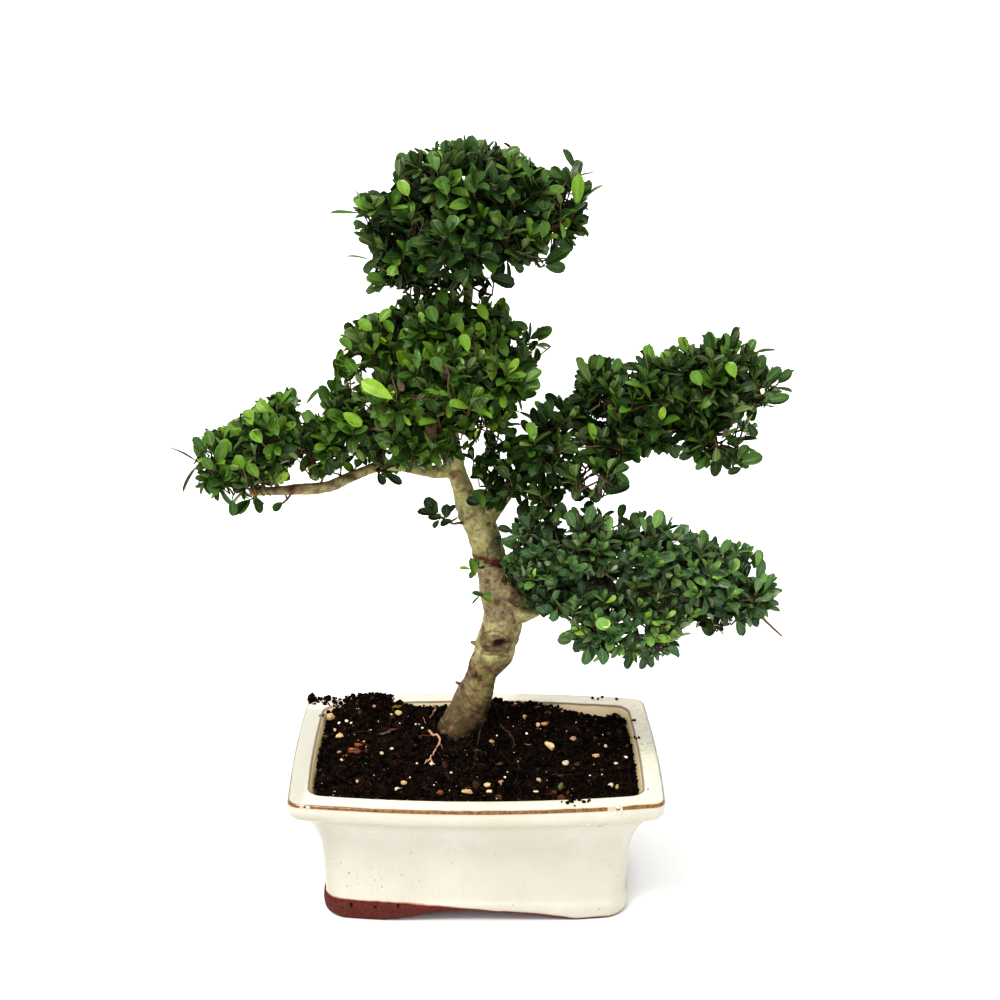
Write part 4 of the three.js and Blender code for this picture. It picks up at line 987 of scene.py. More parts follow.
TAN, RED, DARK, OLD = srgb(160, 130, 100), srgb(92, 46, 34), srgb(48, 34, 24), srgb(76, 60, 44)
PINK = srgb(196, 158, 134)
lay([(429.2, 733), (432, 736.3), (437, 736.8), (440, 741.5), (438.6, 747), (434, 754), (430.4, 760.5)], 1.05, PINK, 1.1)
lay([(431.6, 736.2), (427, 737.4), (422, 736.2)], 0.6, srgb(120, 62, 52), 0.8)
lay([(439.6, 744), (441.6, 747), (442.4, 750)], 0.5, TAN, 0.8)
lay([(430.6, 760), (427, 761.6), (425, 765)], 0.8, PINK, 0.6)
lay([(430.6, 760), (432, 763), (434, 766)], 0.8, PINK, 0.6)
lay([(435.8, 709.4), (433, 714.6), (430.6, 719.6)], 0.55, srgb(176, 148, 136), 0.9)
lay([(499, 726), (504, 731), (510, 736), (513.6, 742), (513, 750)], 0.85, srgb(90, 60, 49), 0.7)
lay([(480.5, 728), (479, 737), (477.6, 745), (476.8, 752)], 0.95, srgb(72, 54, 42), 0.5)
lay([(492, 703), (496, 713), (499, 724), (500, 732)], 1.2, srgb(38, 28, 22), 0.9)
lay([(486, 716), (487, 725), (484, 733)], 1.1, srgb(44, 33, 26), 0.8)
lay([(474, 742), (468, 747), (461, 749)], 0.9, srgb(50, 38, 30), 0.6)
lay([(445, 770), (450, 777), (462, 781), (476, 781), (487, 777), (493, 771)], 0.6, DARK, 0.3)
lay([(447, 774), (460, 786), (478, 785), (492, 776)], 0.4, DARK, 0.2)
lay([(500, 752), (508, 760), (515, 770), (518, 778)], 0.8, DARK, 0.5)
lay([(508, 753), (517, 762), (519, 775), (514, 785)], 0.55, OLD, 0.4)
lay([(430, 719), (436, 711), (440, 706)], 0.8, srgb(140, 92, 62), 0.8)
lay([(352, 710), (352, 701), (351.5, 692)], 0.9, srgb(128, 84, 60), 0.5)
lay([(545, 796), (556, 797.5), (566, 799), (573, 803)], 0.5, srgb(86, 48, 38), 0.8)
lay([(350, 784), (356, 779), (362, 785), (357, 788)], 0.6, RED, 0.6)
lay([(466, 770), (476, 766), (486, 770)], 0.5, OLD, 0.4)
lay([(518, 727), (528, 722), (541, 724)], 0.6, DARK, 0.5)
lay([(548, 776), (560, 777), (572, 776)], 0.5, srgb(70, 62, 42), 0.6)
for i in range(130):
    x, y = rng.uniform(-104, 96), rng.uniform(-62, 60)
    ang, L = rng.uniform(0, 6.28), rng.uniform(4, 13)
    pts, ok = [], True
    for t in np.linspace(0, 1, 4):
        xx = x + math.cos(ang + 0.7 * t * rng.uniform(-1, 1)) * L * t
        yy = y + math.sin(ang) * L * t + rng.normal() * 0.8
        h = on_soil(xx, yy) if in_pot(xx, yy, 3) else None
        if h is None:
            ok = False
            break
        pts.append(h[0] + np.array([0, 0, rng.uniform(0.1, 0.9)]))
    if ok:
        c = [DARK, RED, OLD, TAN][rng.choice(4, p=[.62, .14, .22, .02])]
        V, q, t = tube(through(pts, 3.5), rng.uniform(0.2, 0.45), 4)
        fibres.add(V, f3=t, f4=q, c=np.broadcast_to(np.array(c), (len(V), 4)))
m = Mat("dead_roots", 0.8, 0.12)
m.color(m.attr("c", "Color"))
fib = fibres.make("fine_roots_and_straws", [m.m])
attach(fib, "root")

# ---------------------------------------------------------------- the tree's framework, as in the CAD model
# each station is x, y, z, radius
LIMBS = {
    'trunk': [[-27.3, 33.0, 66.6, 15.5], [-22.9, 32.0, 77.8, 15.25], [-18.5, 31.0, 90.6, 14.75], [-13.2, 30.0, 105.6, 13.75], [-7.1, 29.5, 123.5, 12.94], [-2.5, 29.0, 136.4, 11.59], [1.0, 28.5, 147.6, 11.22], [4.8, 28.0, 155.7, 12.07], [8.4, 27.5, 163.7, 13.74], [11.0, 27.0, 173.2, 14.0], [13.2, 26.5, 182.7, 13.85], [13.3, 26.0, 192.8, 13.4], [10.9, 25.0, 204.6, 12.44], [8.3, 24.0, 217.1, 11.53], [6.6, 23.0, 227.9, 11.18], [4.9, 22.5, 237.0, 11.11], [2.2, 21.5, 248.5, 11.15], [-2.4, 20.5, 259.8, 10.75], [-7.7, 19.5, 268.9, 9.26], [-11.5, 18.5, 277.9, 8.11], [-13.9, 17.5, 286.9, 7.17], [-17.0, 16.5, 297.2, 6.38], [-19.0, 15.5, 307.4, 5.7], [-21.2, 14.0, 323.3, 4.9], [-22.5, 12.0, 343.3, 4.5], [-21.1, 10.0, 362.4, 4.2], [-17.9, 8.5, 383.0, 3.9], [-14.0, 7.0, 403.4, 3.5], [-10.8, 6.0, 422.0, 3.1], [-9.6, 5.0, 439.7, 2.7], [-10.9, 4.0, 459.1, 2.3], [-12.2, 3.0, 477.0, 1.8], [-11.0, 2.0, 492.1, 1.3]],
    'left_branch': [[-23.3, 17.0, 300.9, 4.7], [-31.9, 15.0, 300.5, 4.29], [-43.9, 13.0, 302.9, 3.61], [-57.1, 10.0, 306.3, 3.33], [-70.3, 7.0, 306.5, 3.32], [-82.1, 4.0, 303.3, 3.45], [-92.0, 2.0, 299.4, 3.65], [-103.8, 0.0, 294.7, 3.98], [-115.0, -1.5, 294.1, 3.84], [-126.7, -3.2, 293.9, 3.57], [-137.7, -4.8, 293.6, 3.03], [-146.1, -6.2, 293.7, 2.9], [-153.2, -7.0, 293.6, 2.9]],
    'left_fork': [[-135.0, -4.3, 294.2, 1.6], [-141.0, -1.0, 304.0, 1.3], [-150.0, -3.0, 313.0, 1.2], [-162.6, -3.0, 317.8, 1.0], [-178.2, -4.0, 315.9, 0.8]],
    'right_upper': [[-2.2, 20.5, 261.3, 8.5], [5.9, 20.0, 270.9, 6.7], [13.3, 19.0, 281.4, 5.4], [21.2, 18.0, 294.0, 4.5], [34.5, 17.0, 307.2, 4.0], [51.0, 15.0, 316.3, 3.6], [70.7, 13.0, 325.5, 3.3], [90.3, 12.0, 332.8, 3.0], [113.2, 11.0, 338.8, 2.6], [136.1, 11.0, 345.8, 2.2], [157.0, 11.0, 352.8, 1.8], [176.2, 10.0, 360.0, 1.3]],
    'right_lower': [[12.2, 26.0, 192.0, 10.0], [24.7, 24.0, 194.5, 8.5], [35.0, 21.0, 198.8, 6.75], [45.2, 17.0, 205.9, 5.5], [59.9, 12.0, 213.3, 4.5], [80.0, 6.0, 218.8, 3.9], [103.4, 1.0, 222.5, 3.3], [126.8, -2.0, 223.8, 2.8], [150.6, -3.0, 222.8, 2.3], [171.0, -4.0, 220.4, 1.8], [186.1, -5.0, 214.2, 1.3]],
    'bare_twig': [[181.3, -5.0, 215.7, 1.2], [189.5, -5.0, 204.6, 0.95], [197.5, -5.0, 196.4, 0.8], [204.8, -5.0, 189.7, 0.6]],
    'right_middle': [[7.7, 23.0, 230.2, 5.5], [18.6, 22.0, 232.8, 4.2], [32.2, 18.0, 237.4, 3.2], [52.4, 12.0, 245.8, 2.6], [79.0, 6.0, 251.8, 2.1], [105.6, 0.0, 252.1, 1.6], [124.1, -4.0, 250.8, 1.1]],
    'mid_low': [[-18.5, 15.5, 306.0, 3.5], [-34.3, 5.0, 320.6, 2.5], [-51.6, -6.0, 333.6, 2.1], [-70.8, -10.0, 338.9, 1.6], [-85.7, -10.0, 338.8, 1.1]],
    'mid_left': [[-21.8, 11.5, 348.3, 3.2], [-35.3, 0.0, 367.1, 2.5], [-51.0, -8.0, 382.6, 1.9], [-63.6, -10.0, 392.2, 1.2]],
    'mid_right': [[-20.5, 9.5, 365.9, 3.0], [-6.8, 2.0, 378.8, 2.3], [6.0, -4.0, 388.4, 1.7], [13.6, -6.0, 395.6, 1.1]],
    'mid_front': [[-21.8, 12.5, 334.9, 3.0], [-19.0, -5.0, 351.1, 2.2], [-16.9, -25.0, 368.9, 1.6], [-16.8, -38.0, 381.0, 1.0]],
    'mid_back': [[-21.8, 11.0, 353.2, 3.2], [-22.7, 30.0, 357.5, 2.5], [-19.6, 48.0, 359.5, 1.7], [-16.3, 60.0, 363.3, 1.1]],
    'top_left': [[-10.3, 4.2, 455.3, 2.2], [-28.6, 2.0, 468.2, 1.9], [-44.0, -4.0, 476.7, 1.5], [-54.9, -10.0, 483.9, 1.0]],
    'top_right': [[-10.9, 4.0, 461.7, 2.1], [6.0, 0.0, 474.5, 1.8], [24.6, -4.0, 480.9, 1.4], [41.3, -6.0, 480.1, 0.95]],
    'top_back': [[-9.6, 4.6, 448.8, 2.3], [-12.3, 22.0, 459.6, 1.8], [-14.3, 40.0, 469.3, 1.2]],
    'top_front': [[-11.0, 3.6, 466.8, 1.9], [-13.4, -14.0, 468.7, 1.5], [-15.1, -30.0, 469.2, 1.0]],
    'sprig_left': [[-11.7, 18.0, 262.9, 1.6], [-16.1, 11.0, 265.5, 1.0], [-20.7, 7.0, 266.6, 0.75], [-26.5, 4.0, 270.9, 0.65], [-31.1, 2.0, 273.8, 0.55]],
    'sprout_upper': [[4.2, 20.0, 232.9, 1.5], [-1.4, 10.0, 233.2, 0.8], [-6.2, 6.0, 236.2, 0.6]],
    'sprout_lower': [[7.8, 20.0, 205.2, 1.5], [2.2, 11.0, 210.6, 0.8], [-1.3, 8.0, 213.7, 0.55]],
    'spur_low': [[-5.7, 27.0, 132.6, 2.5], [-13.6, 24.0, 137.6, 1.6], [-18.5, 22.0, 141.3, 0.9]],
    'spur_knee': [[1.2, 26.0, 168.2, 3.5], [-5.5, 24.0, 170.7, 1.7], [-8.0, 23.0, 171.9, 0.9]],
}
TWIGS = {
    'twig_top_2': [[-11.8, 2.7, 482.0, 1.31], [-12.7, -2.9, 495.4, 1.18], [-16.1, -10.9, 496.4, 0.98], [-18.9, -20.0, 502.8, 0.75]],
    'twig_top_3': [[15.3, -2.0, 477.7, 1.28], [21.4, -5.9, 484.1, 1.15], [15.7, -9.2, 490.8, 0.96], [16.0, -14.0, 497.3, 0.75]],
    'twig_top_5': [[-33.7, 0.0, 471.0, 1.41], [-43.6, -3.6, 470.8, 1.27], [-44.9, -3.6, 461.4, 1.06], [-52.3, -6.0, 455.7, 0.78]],
    'twig_top_7': [[9.1, -0.7, 475.6, 1.39], [18.3, -7.8, 476.0, 1.25], [14.1, -15.9, 469.4, 1.04], [17.4, -26.0, 466.2, 0.76]],
    'twig_top_9': [[-13.3, 31.0, 464.4, 1.2], [-8.6, 40.5, 470.3, 1.08], [1.7, 37.6, 471.7, 0.9], [11.7, 42.0, 473.7, 0.75]],
    'twig_top_10': [[-11.8, 2.7, 482.0, 1.31], [-9.4, 6.9, 492.2, 1.18], [-6.8, 15.5, 491.5, 0.98], [-3.5, 24.0, 495.1, 0.75]],
    'twig_mid_2': [[-15.3, 7.5, 396.6, 1.9], [-17.0, 1.7, 408.8, 1.71], [-24.7, -6.6, 407.8, 1.42], [-30.9, -16.0, 412.1, 1.04]],
    'twig_mid_4': [[-0.4, -1.0, 383.6, 1.6], [6.8, -5.3, 385.0, 1.44], [8.1, -7.6, 378.7, 1.2], [13.7, -12.0, 376.0, 0.88]],
    'twig_mid_6': [[-43.2, -4.0, 374.8, 1.76], [-51.3, -12.0, 378.6, 1.58], [-50.9, -18.4, 370.4, 1.32], [-56.1, -28.0, 368.3, 0.97]],
    'twig_mid_8': [[-45.8, -2.3, 329.3, 1.79], [-48.6, -8.8, 333.9, 1.61], [-42.4, -12.9, 334.9, 1.34], [-40.1, -20.0, 336.7, 0.98]],
    'twig_mid_9': [[-19.9, 0.8, 345.7, 1.9], [-15.2, -5.3, 350.1, 1.71], [-8.9, -4.5, 348.4, 1.42], [-1.5, -8.0, 348.1, 1.04]],
    'twig_mid_10': [[-22.6, 26.8, 356.8, 1.9], [-29.4, 41.9, 363.6, 1.71], [-39.7, 38.3, 371.0, 1.42], [-51.2, 46.0, 376.5, 1.04]],
    'twig_mid_12': [[-23.8, 12.0, 310.9, 1.9], [-38.3, 12.2, 320.3, 1.71], [-42.7, 26.4, 320.0, 1.42], [-55.4, 36.0, 321.9, 1.04]],
    'twig_left_2': [[-143.8, -1.7, 306.9, 1.3], [-144.7, -5.0, 321.8, 1.22], [-138.3, -8.4, 330.6, 1.02], [-139.7, -12.0, 341.9, 0.75]],
    'twig_left_3': [[-146.4, -2.2, 309.4, 1.2], [-144.6, -6.3, 312.9, 1.19], [-144.2, -12.0, 310.2, 0.99], [-148.0, -18.0, 308.4, 0.75]],
    'twig_left_4': [[-108.5, -1.2, 295.6, 0.9], [-106.0, -1.6, 303.0, 0.75], [-106.5, -2.0, 313.0, 0.6], [-110.4, -2.0, 323.9, 0.55]],
    'twig_left_5': [[-146.4, -2.2, 309.4, 1.2], [-151.0, 5.6, 317.5, 1.19], [-147.4, 20.4, 312.7, 0.99], [-153.3, 36.0, 310.1, 0.75]],
    'twig_right_upper_1': [[40.0, 16.3, 310.2, 1.9], [46.9, 10.6, 317.7, 1.71], [40.3, 2.9, 322.1, 1.42], [40.5, -6.0, 327.2, 1.04]],
    'twig_right_upper_2': [[74.0, 12.8, 326.7, 1.9], [84.5, 8.6, 338.3, 1.71], [74.6, 2.7, 350.3, 1.42], [75.0, -4.0, 362.1, 1.04]],
    'twig_right_upper_3': [[64.1, 13.7, 322.4, 1.9], [74.2, 6.3, 326.4, 1.71], [70.1, -4.1, 325.1, 1.42], [74.0, -16.0, 323.7, 1.04]],
    'twig_right_upper_4': [[105.6, 11.3, 336.8, 1.9], [118.0, 5.3, 347.2, 1.71], [108.2, -3.9, 359.6, 1.42], [110.0, -14.0, 370.5, 1.04]],
    'twig_right_upper_6': [[139.6, 11.0, 347.0, 1.71], [151.0, 6.4, 357.0, 1.54], [143.6, -1.6, 367.5, 1.28], [146.2, -10.0, 377.5, 0.94]],
    'twig_right_upper_8': [[139.6, 11.0, 347.0, 1.71], [147.2, 8.1, 346.6, 1.54], [146.3, 3.2, 340.9, 1.28], [150.7, -2.0, 337.4, 0.94]],
    'twig_right_upper_9': [[77.2, 12.7, 327.9, 1.9], [88.9, 19.1, 332.7, 1.71], [84.7, 31.5, 333.9, 1.42], [89.6, 44.0, 334.4, 1.04]],
    'twig_right_upper_10': [[128.5, 11.0, 343.5, 1.87], [142.6, 18.7, 347.1, 1.68], [138.6, 32.0, 347.0, 1.4], [145.3, 46.0, 345.4, 1.03]],
    'twig_right_upper_12': [[19.9, 18.2, 291.9, 1.9], [23.3, 13.3, 299.5, 1.71], [20.0, 6.1, 299.4, 1.42], [20.0, -2.0, 302.2, 1.04]],
    'twig_right_lower_1': [[38.9, 16.0, 240.2, 1.9], [45.7, 9.6, 247.0, 1.71], [39.1, 4.0, 252.7, 1.42], [39.2, -4.0, 258.4, 1.04]],
    'twig_right_lower_2': [[65.7, 9.0, 248.8, 1.88], [76.8, -0.5, 254.6, 1.69], [69.0, -10.8, 260.7, 1.41], [71.2, -24.0, 264.9, 1.03]],
    'twig_right_lower_3': [[101.2, 1.0, 252.0, 1.35], [108.9, -5.1, 253.8, 1.21], [104.8, -11.6, 258.2, 1.01], [107.3, -20.0, 259.9, 0.75]],
    'twig_right_lower_4': [[134.7, -2.3, 223.5, 1.9], [143.4, -5.2, 226.9, 1.71], [140.8, -9.3, 235.1, 1.42], [144.8, -14.0, 240.5, 1.04]],
    'twig_right_lower_6': [[52.6, 14.5, 209.6, 1.9], [60.4, 5.6, 217.1, 1.71], [52.7, -2.6, 221.2, 1.42], [52.8, -14.0, 225.7, 1.04]],
    'twig_right_lower_7': [[73.3, 8.0, 217.0, 1.9], [85.8, -4.6, 219.1, 1.71], [77.3, -17.2, 217.0, 1.42], [79.9, -34.0, 212.7, 1.04]],
    'twig_right_lower_8': [[103.4, 1.0, 222.5, 1.9], [113.9, -6.4, 220.8, 1.71], [109.0, -15.2, 214.9, 1.42], [112.7, -26.0, 210.7, 1.04]],
    'twig_right_lower_9': [[66.6, 10.0, 215.1, 1.9], [78.2, 13.3, 219.4, 1.71], [75.8, 25.6, 222.6, 1.42], [82.0, 36.0, 224.4, 1.04]],
    'twig_right_lower_10': [[122.9, -1.5, 223.6, 1.9], [139.1, 5.2, 221.5, 1.71], [134.1, 21.0, 215.2, 1.42], [141.6, 36.0, 211.0, 1.04]],
}
CLUMPS = {
    'top_1': [-54.2, -10.0, 488.8, 24.7, 32.0, 23.5],
    'top_2': [-18.9, -20.0, 502.8, 25.6, 32.0, 21.3],
    'top_3': [16.0, -14.0, 497.3, 24.6, 32.0, 21.5],
    'top_4': [41.6, -2.0, 478.2, 21.3, 32.0, 25.0],
    'top_5': [-52.3, -6.0, 455.7, 25.1, 32.0, 23.8],
    'top_6': [-16.9, -36.0, 466.6, 25.5, 28.0, 25.5],
    'top_7': [17.4, -26.0, 466.2, 24.6, 30.0, 23.3],
    'top_8': [-31.9, 40.0, 470.5, 29.9, 34.0, 29.9],
    'top_9': [11.7, 42.0, 473.7, 31.3, 34.0, 30.0],
    'top_10': [-3.5, 24.0, 495.1, 26.7, 28.0, 21.6],
    'mid_1': [-65.5, -10.0, 395.5, 24.2, 32.0, 19.1],
    'mid_2': [-30.9, -16.0, 412.1, 26.5, 34.0, 18.9],
    'mid_3': [2.0, -6.0, 400.7, 20.4, 32.0, 19.8],
    'mid_4': [13.7, -12.0, 376.0, 19.2, 30.0, 18.6],
    'mid_5': [-20.5, -42.0, 385.3, 24.8, 28.0, 23.6],
    'mid_6': [-56.1, -28.0, 368.3, 24.0, 30.0, 21.5],
    'mid_7': [-85.9, -6.0, 341.6, 20.1, 30.0, 23.4],
    'mid_8': [-40.1, -20.0, 336.7, 25.7, 30.0, 19.3],
    'mid_9': [-1.5, -8.0, 348.1, 18.2, 26.0, 23.3],
    'mid_10': [-51.2, 46.0, 376.5, 33.6, 34.0, 31.0],
    'mid_11': [-8.0, 52.0, 359.8, 35.4, 36.0, 35.4],
    'mid_12': [-55.4, 36.0, 321.9, 32.6, 34.0, 21.7],
    'left_1': [-174.0, -2.0, 313.9, 18.4, 28.0, 20.4],
    'left_2': [-139.7, -12.0, 341.9, 19.4, 30.0, 19.4],
    'left_3': [-148.0, -18.0, 308.4, 18.8, 28.0, 16.9],
    'left_4': [-113.4, -2.0, 323.9, 17.7, 28.0, 17.7],
    'left_5': [-153.3, 36.0, 310.1, 29.9, 28.0, 24.5],
    'right_upper_1': [40.5, -6.0, 327.2, 20.9, 30.0, 22.2],
    'right_upper_2': [75.0, -4.0, 362.1, 22.1, 30.0, 19.5],
    'right_upper_3': [74.0, -16.0, 323.7, 23.4, 30.0, 23.4],
    'right_upper_4': [110.0, -14.0, 370.5, 21.8, 30.0, 19.2],
    'right_upper_5': [109.5, -6.0, 338.5, 19.6, 28.0, 15.7],
    'right_upper_6': [146.2, -10.0, 377.5, 21.9, 32.0, 20.6],
    'right_upper_7': [175.9, 2.0, 365.0, 19.6, 28.0, 14.4],
    'right_upper_8': [150.7, -2.0, 337.4, 24.9, 30.0, 18.4],
    'right_upper_9': [89.6, 44.0, 334.4, 36.8, 30.0, 25.9],
    'right_upper_10': [145.3, 46.0, 345.4, 36.8, 30.0, 25.9],
    'right_upper_12': [20.0, -2.0, 302.2, 15.9, 24.0, 15.9],
    'right_lower_1': [39.2, -4.0, 258.4, 18.7, 28.0, 21.4],
    'right_lower_2': [71.2, -24.0, 264.9, 22.3, 30.0, 19.7],
    'right_lower_3': [107.3, -20.0, 259.9, 23.8, 30.0, 20.5],
    'right_lower_4': [144.8, -14.0, 240.5, 24.1, 32.0, 21.4],
    'right_lower_5': [177.9, -6.0, 224.2, 19.6, 30.0, 22.3],
    'right_lower_6': [52.8, -14.0, 225.7, 18.8, 28.0, 17.4],
    'right_lower_7': [79.9, -34.0, 212.7, 23.8, 30.0, 22.5],
    'right_lower_8': [112.7, -26.0, 210.7, 24.0, 32.0, 25.4],
    'right_lower_9': [82.0, 36.0, 224.4, 37.8, 32.0, 29.4],
    'right_lower_10': [141.6, 36.0, 211.0, 40.8, 32.0, 28.1],
    'left_6': [-195.9, -6.0, 320.6, 9.8, 9, 7.2],
    'left_7': [-194.7, -4.0, 299.9, 5.3, 7, 6.6],
    'right_upper_11': [196.6, 2.0, 369.8, 5.2, 8, 7.2],
}
SPROUTS = {'sprig_left_leaves': [-34.4, 1.0, 277.0, 8.7, 8, 6.7], 'sprout_upper_leaves': [-9.6, 4.0, 237.0, 4.7, 6, 4.7], 'sprout_lower_leaves': [-1.3, 6.0, 214.9, 4.8, 6, 4.1]}
ROOTS = {
    "root_right": [[-20, 32, 80, 10], [6, 27, 76, 7.5], [30, 18, 72, 5], [52, 6, 68, 3]],
    "root_left": [[-22, 32, 82, 10], [-46, 22, 78, 7], [-66, 8, 72, 4.5], [-82, -6, 68, 2.8]],
    "root_front": [[-20, 30, 80, 9], [-18, 6, 76, 6.5], [-10, -18, 70, 4.2], [-6, -38, 66, 2.6]],
    "root_back": [[-20, 34, 78, 9], [-14, 46, 70, 6], [2, 54, 60, 3.6]],
    "root_down": [[-24, 32, 80, 11], [-28, 26, 60, 6.5], [-30, 14, 44, 3.4]],
}
FLARE = {   # shoulders where the trunk meets the mix
    "flare_left": [[-16, 30, 118, 7], [-24, 30, 104, 6.5], [-33, 30, 92, 4]],
    "flare_front": [[-16, 28, 116, 7], [-19, 22, 103, 6.5], [-21, 14, 90, 4]],
    "flare_right": [[-12, 30, 116, 7], [-8, 29, 102, 5.5], [0, 27, 90, 4]],
    "collar": [[6, 25, 226, 9.0], [13.5, 24, 215, 10.0], [22, 22.5, 206, 9.0], [31, 20.5, 201.5, 7.6], [41, 18, 203, 6.2]],
    "flare_back": [[-14, 34, 114, 7], [-16, 40, 100, 6], [-16, 48, 88, 4]],
}


def remeshed(parts, voxel):
    """One skin round several tubes."""
    heap = Heap()
    for P, sides in parts:
        Q = through(P, 2.2)
        V, q, t = tube(Q[:, :3], Q[:, 3], sides)
        heap.add(V, f3=t, f4=q)
    ob = heap.make("skin_raw", [])
    md = ob.modifiers.new("skin", "REMESH")
    md.mode = "VOXEL"
    md.voxel_size = voxel / 1000
    md.adaptivity = 0.0
    md.use_smooth_shade = True
    dg = bpy.context.evaluated_depsgraph_get()
    me = bpy.data.meshes.new_from_object(ob.evaluated_get(dg))
    co = np.zeros(len(me.vertices) * 3, np.float32)
    me.vertices.foreach_get("co", co)
    V = co.reshape(-1, 3).astype(float) * 1000
    quads = np.array([list(p.vertices) for p in me.polygons if len(p.vertices) == 4])
    tris = np.array([list(p.vertices) for p in me.polygons if len(p.vertices) == 3]).reshape(-1, 3)
    bpy.data.objects.remove(ob)
    bpy.data.meshes.remove(me)
    return V, quads, tris


def relax(V, quads, rounds=3, amount=0.5):
    n = len(V)
    E = np.vstack([quads[:, [0, 1]], quads[:, [1, 2]], quads[:, [2, 3]], quads[:, [3, 0]]])
    for k in range(rounds * 2):
        acc = np.zeros((n, 3))
        cnt = np.zeros(n)
        for c in range(3):
            acc[:, c] = np.bincount(E[:, 0], V[E[:, 1], c], n) + np.bincount(E[:, 1], V[E[:, 0], c], n)
        cnt = np.bincount(E[:, 0], minlength=n) + np.bincount(E[:, 1], minlength=n)
        ok = cnt > 0
        d = np.zeros((n, 3))
        d[ok] = acc[ok] / cnt[ok, None] - V[ok]
        V = V + d * (amount if k % 2 == 0 else -amount * 0.96)
    return V


def normals(V, quads, tris):
    N = np.zeros((len(V), 3))
    for F in (quads, tris):
        if not len(F):
            continue
        a, b, c = V[F[:, 0]], V[F[:, 1]], V[F[:, 2]]
        n = np.cross(b - a, c - a)
        for k in range(F.shape[1]):
            for ax in range(3):
                N[:, ax] += np.bincount(F[:, k], n[:, ax], len(V))
    return unit(N)


STOUT = {k: v for k, v in LIMBS.items() if v[0][3] >= 2.0}
parts = []
for k, v in list(STOUT.items()) + list(ROOTS.items()) + list(FLARE.items()):
    P = [p for p in v if p[3] >= 1.7]
    if len(P) < 2:
        P = v[:2]
    parts.append((P, 28 if k == "trunk" else 16))
V, quads, tris = remeshed(parts, 1.2)
V = relax(V, quads, 3)
N = normals(V, quads, tris)
WOOD0 = BVHTree.FromPolygons(V.tolist(), quads.tolist() + tris.tolist())

# nearest station of the framework: local radius, and whether it is on the trunk
stations, st_r, st_trunk = [], [], []
for k, v in list(LIMBS.items()) + list(ROOTS.items()):
    Q = through(v, 2.5)
    stations.append(Q[:, :3])
    st_r.append(Q[:, 3])
    st_trunk.append(np.full(len(Q), k == "trunk"))
stations, st_r, st_trunk = np.concatenate(stations), np.concatenate(st_r), np.concatenate(st_trunk)


def nearest(P, Q, r):
    """The station whose skin lies closest."""
    out = np.zeros(len(P), int)
    for i in range(0, len(P), 2000):
        d = np.sqrt(((P[i:i + 2000, None] - Q[None]) ** 2).sum(-1)) - r
        out[i:i + 2000] = d.argmin(1)
    return out


near = nearest(V, stations, st_r)
R = st_r[near]
on_trunk = st_trunk[near] & (V[:, 2] < 300)


def rgb(*c):
    return np.array(srgb(*c)[:3])


def blend(a, b, t):
    t = np.asarray(t)[:, None]
    return a * (1 - t) + b * t


def bark_colour(P, R, trunk):
    n1 = fbm(P / 10.0, 41, 3)
    n2 = fbm(P / 3.0, 45, 3)
    n3 = vnoise(P / 1.4, 49)
    n4 = fbm(P / 5.0, 47, 2)
    band = fbm((P + P[:, :1] * np.array([0, 0, 0.7])) / np.array([5.5, 5.5, 2.3]) + 0.3 * n1[:, None], 51, 2)
    n5 = fbm(P / 2.1, 53, 2)
    z = P[:, 2]
    col = blend(rgb(182, 176, 124) * np.ones((len(P), 3)), rgb(152, 142, 102), smooth(0.46, 0.62, n1))
    col = blend(col, rgb(150, 156, 98), smooth(0.5, 0.7, vnoise(P / 7.0, 57)) * 0.55)
    col = blend(col, rgb(118, 100, 74), 0.55 * smooth(0.56, 0.70, n2))
    col = blend(col, rgb(196, 190, 142), 0.55 * smooth(0.42, 0.30, n4))
    low = smooth(166, 152, z) * trunk
    col = blend(col, rgb(138, 118, 82), low * 0.62)
    col = blend(col, rgb(86, 62, 46), low * 0.75 * smooth(0.52, 0.64, band))
    col = blend(col, rgb(158, 150, 88), low * 0.50 * smooth(0.42, 0.32, band))
    col = blend(col, rgb(112, 118, 62), low * 0.50 * smooth(0.54, 0.68, vnoise(P / 5.0, 59)))
    col = blend(col, rgb(142, 112, 94), low * 0.55 * smooth(0.53, 0.65, n5))
    col = blend(col, rgb(82, 64, 43), smooth(134, 108, z) * trunk * 0.78)
    col = blend(col, rgb(50, 38, 29), smooth(106, 98, z) * trunk * 0.85)
    # middle of the trunk: greyer and rougher between the band and the knee
    mid = smooth(238, 228, z) * smooth(186, 196, z) * trunk
    col = blend(col, rgb(176, 154, 126), mid * 0.50)
    col = blend(col, rgb(132, 100, 82), mid * 0.55 * smooth(0.52, 0.64, n5))
    col = blend(col, rgb(128, 120, 92), mid * 0.45 * smooth(0.42, 0.58, n2))
    thin = smooth(5.2, 2.4, R) * (1 - trunk)
    col = blend(col, rgb(158, 142, 112), thin * 0.5)
    col = blend(col, rgb(100, 70, 52), thin * smooth(0.54, 0.68, n2) * 0.6)
    finer = smooth(1.9, 1.0, R)
    col = blend(col, rgb(92, 60, 46), finer * 0.75)
    return col * (0.84 + 0.30 * n3[:, None]) * np.array([1.0, 1.0, 1.03]) * (1 - 0.05 * low[:, None])


def bark_relief(P, R, trunk):
    z = P[:, 2]
    low = smooth(170, 150, z) * trunk
    band = fbm((P + P[:, :1] * np.array([0, 0, 0.7])) / np.array([5.5, 5.5, 2.3]) + 0.3 * fbm(P / 10.0, 41, 3)[:, None], 51, 2)
    d = (fbm(P / 13.0, 61, 2) - 0.5) * R * 0.26 + (fbm(P / 4.2, 63, 2) - 0.5) * np.minimum(R * 0.18, 1.25)
    d = d - (smooth(0.48, 0.62, band) - 0.4) * low * 0.45
    d = d + (vnoise(P / 1.4, 67) - 0.5) * 0.26 * np.minimum(1, R / 6)
    return d


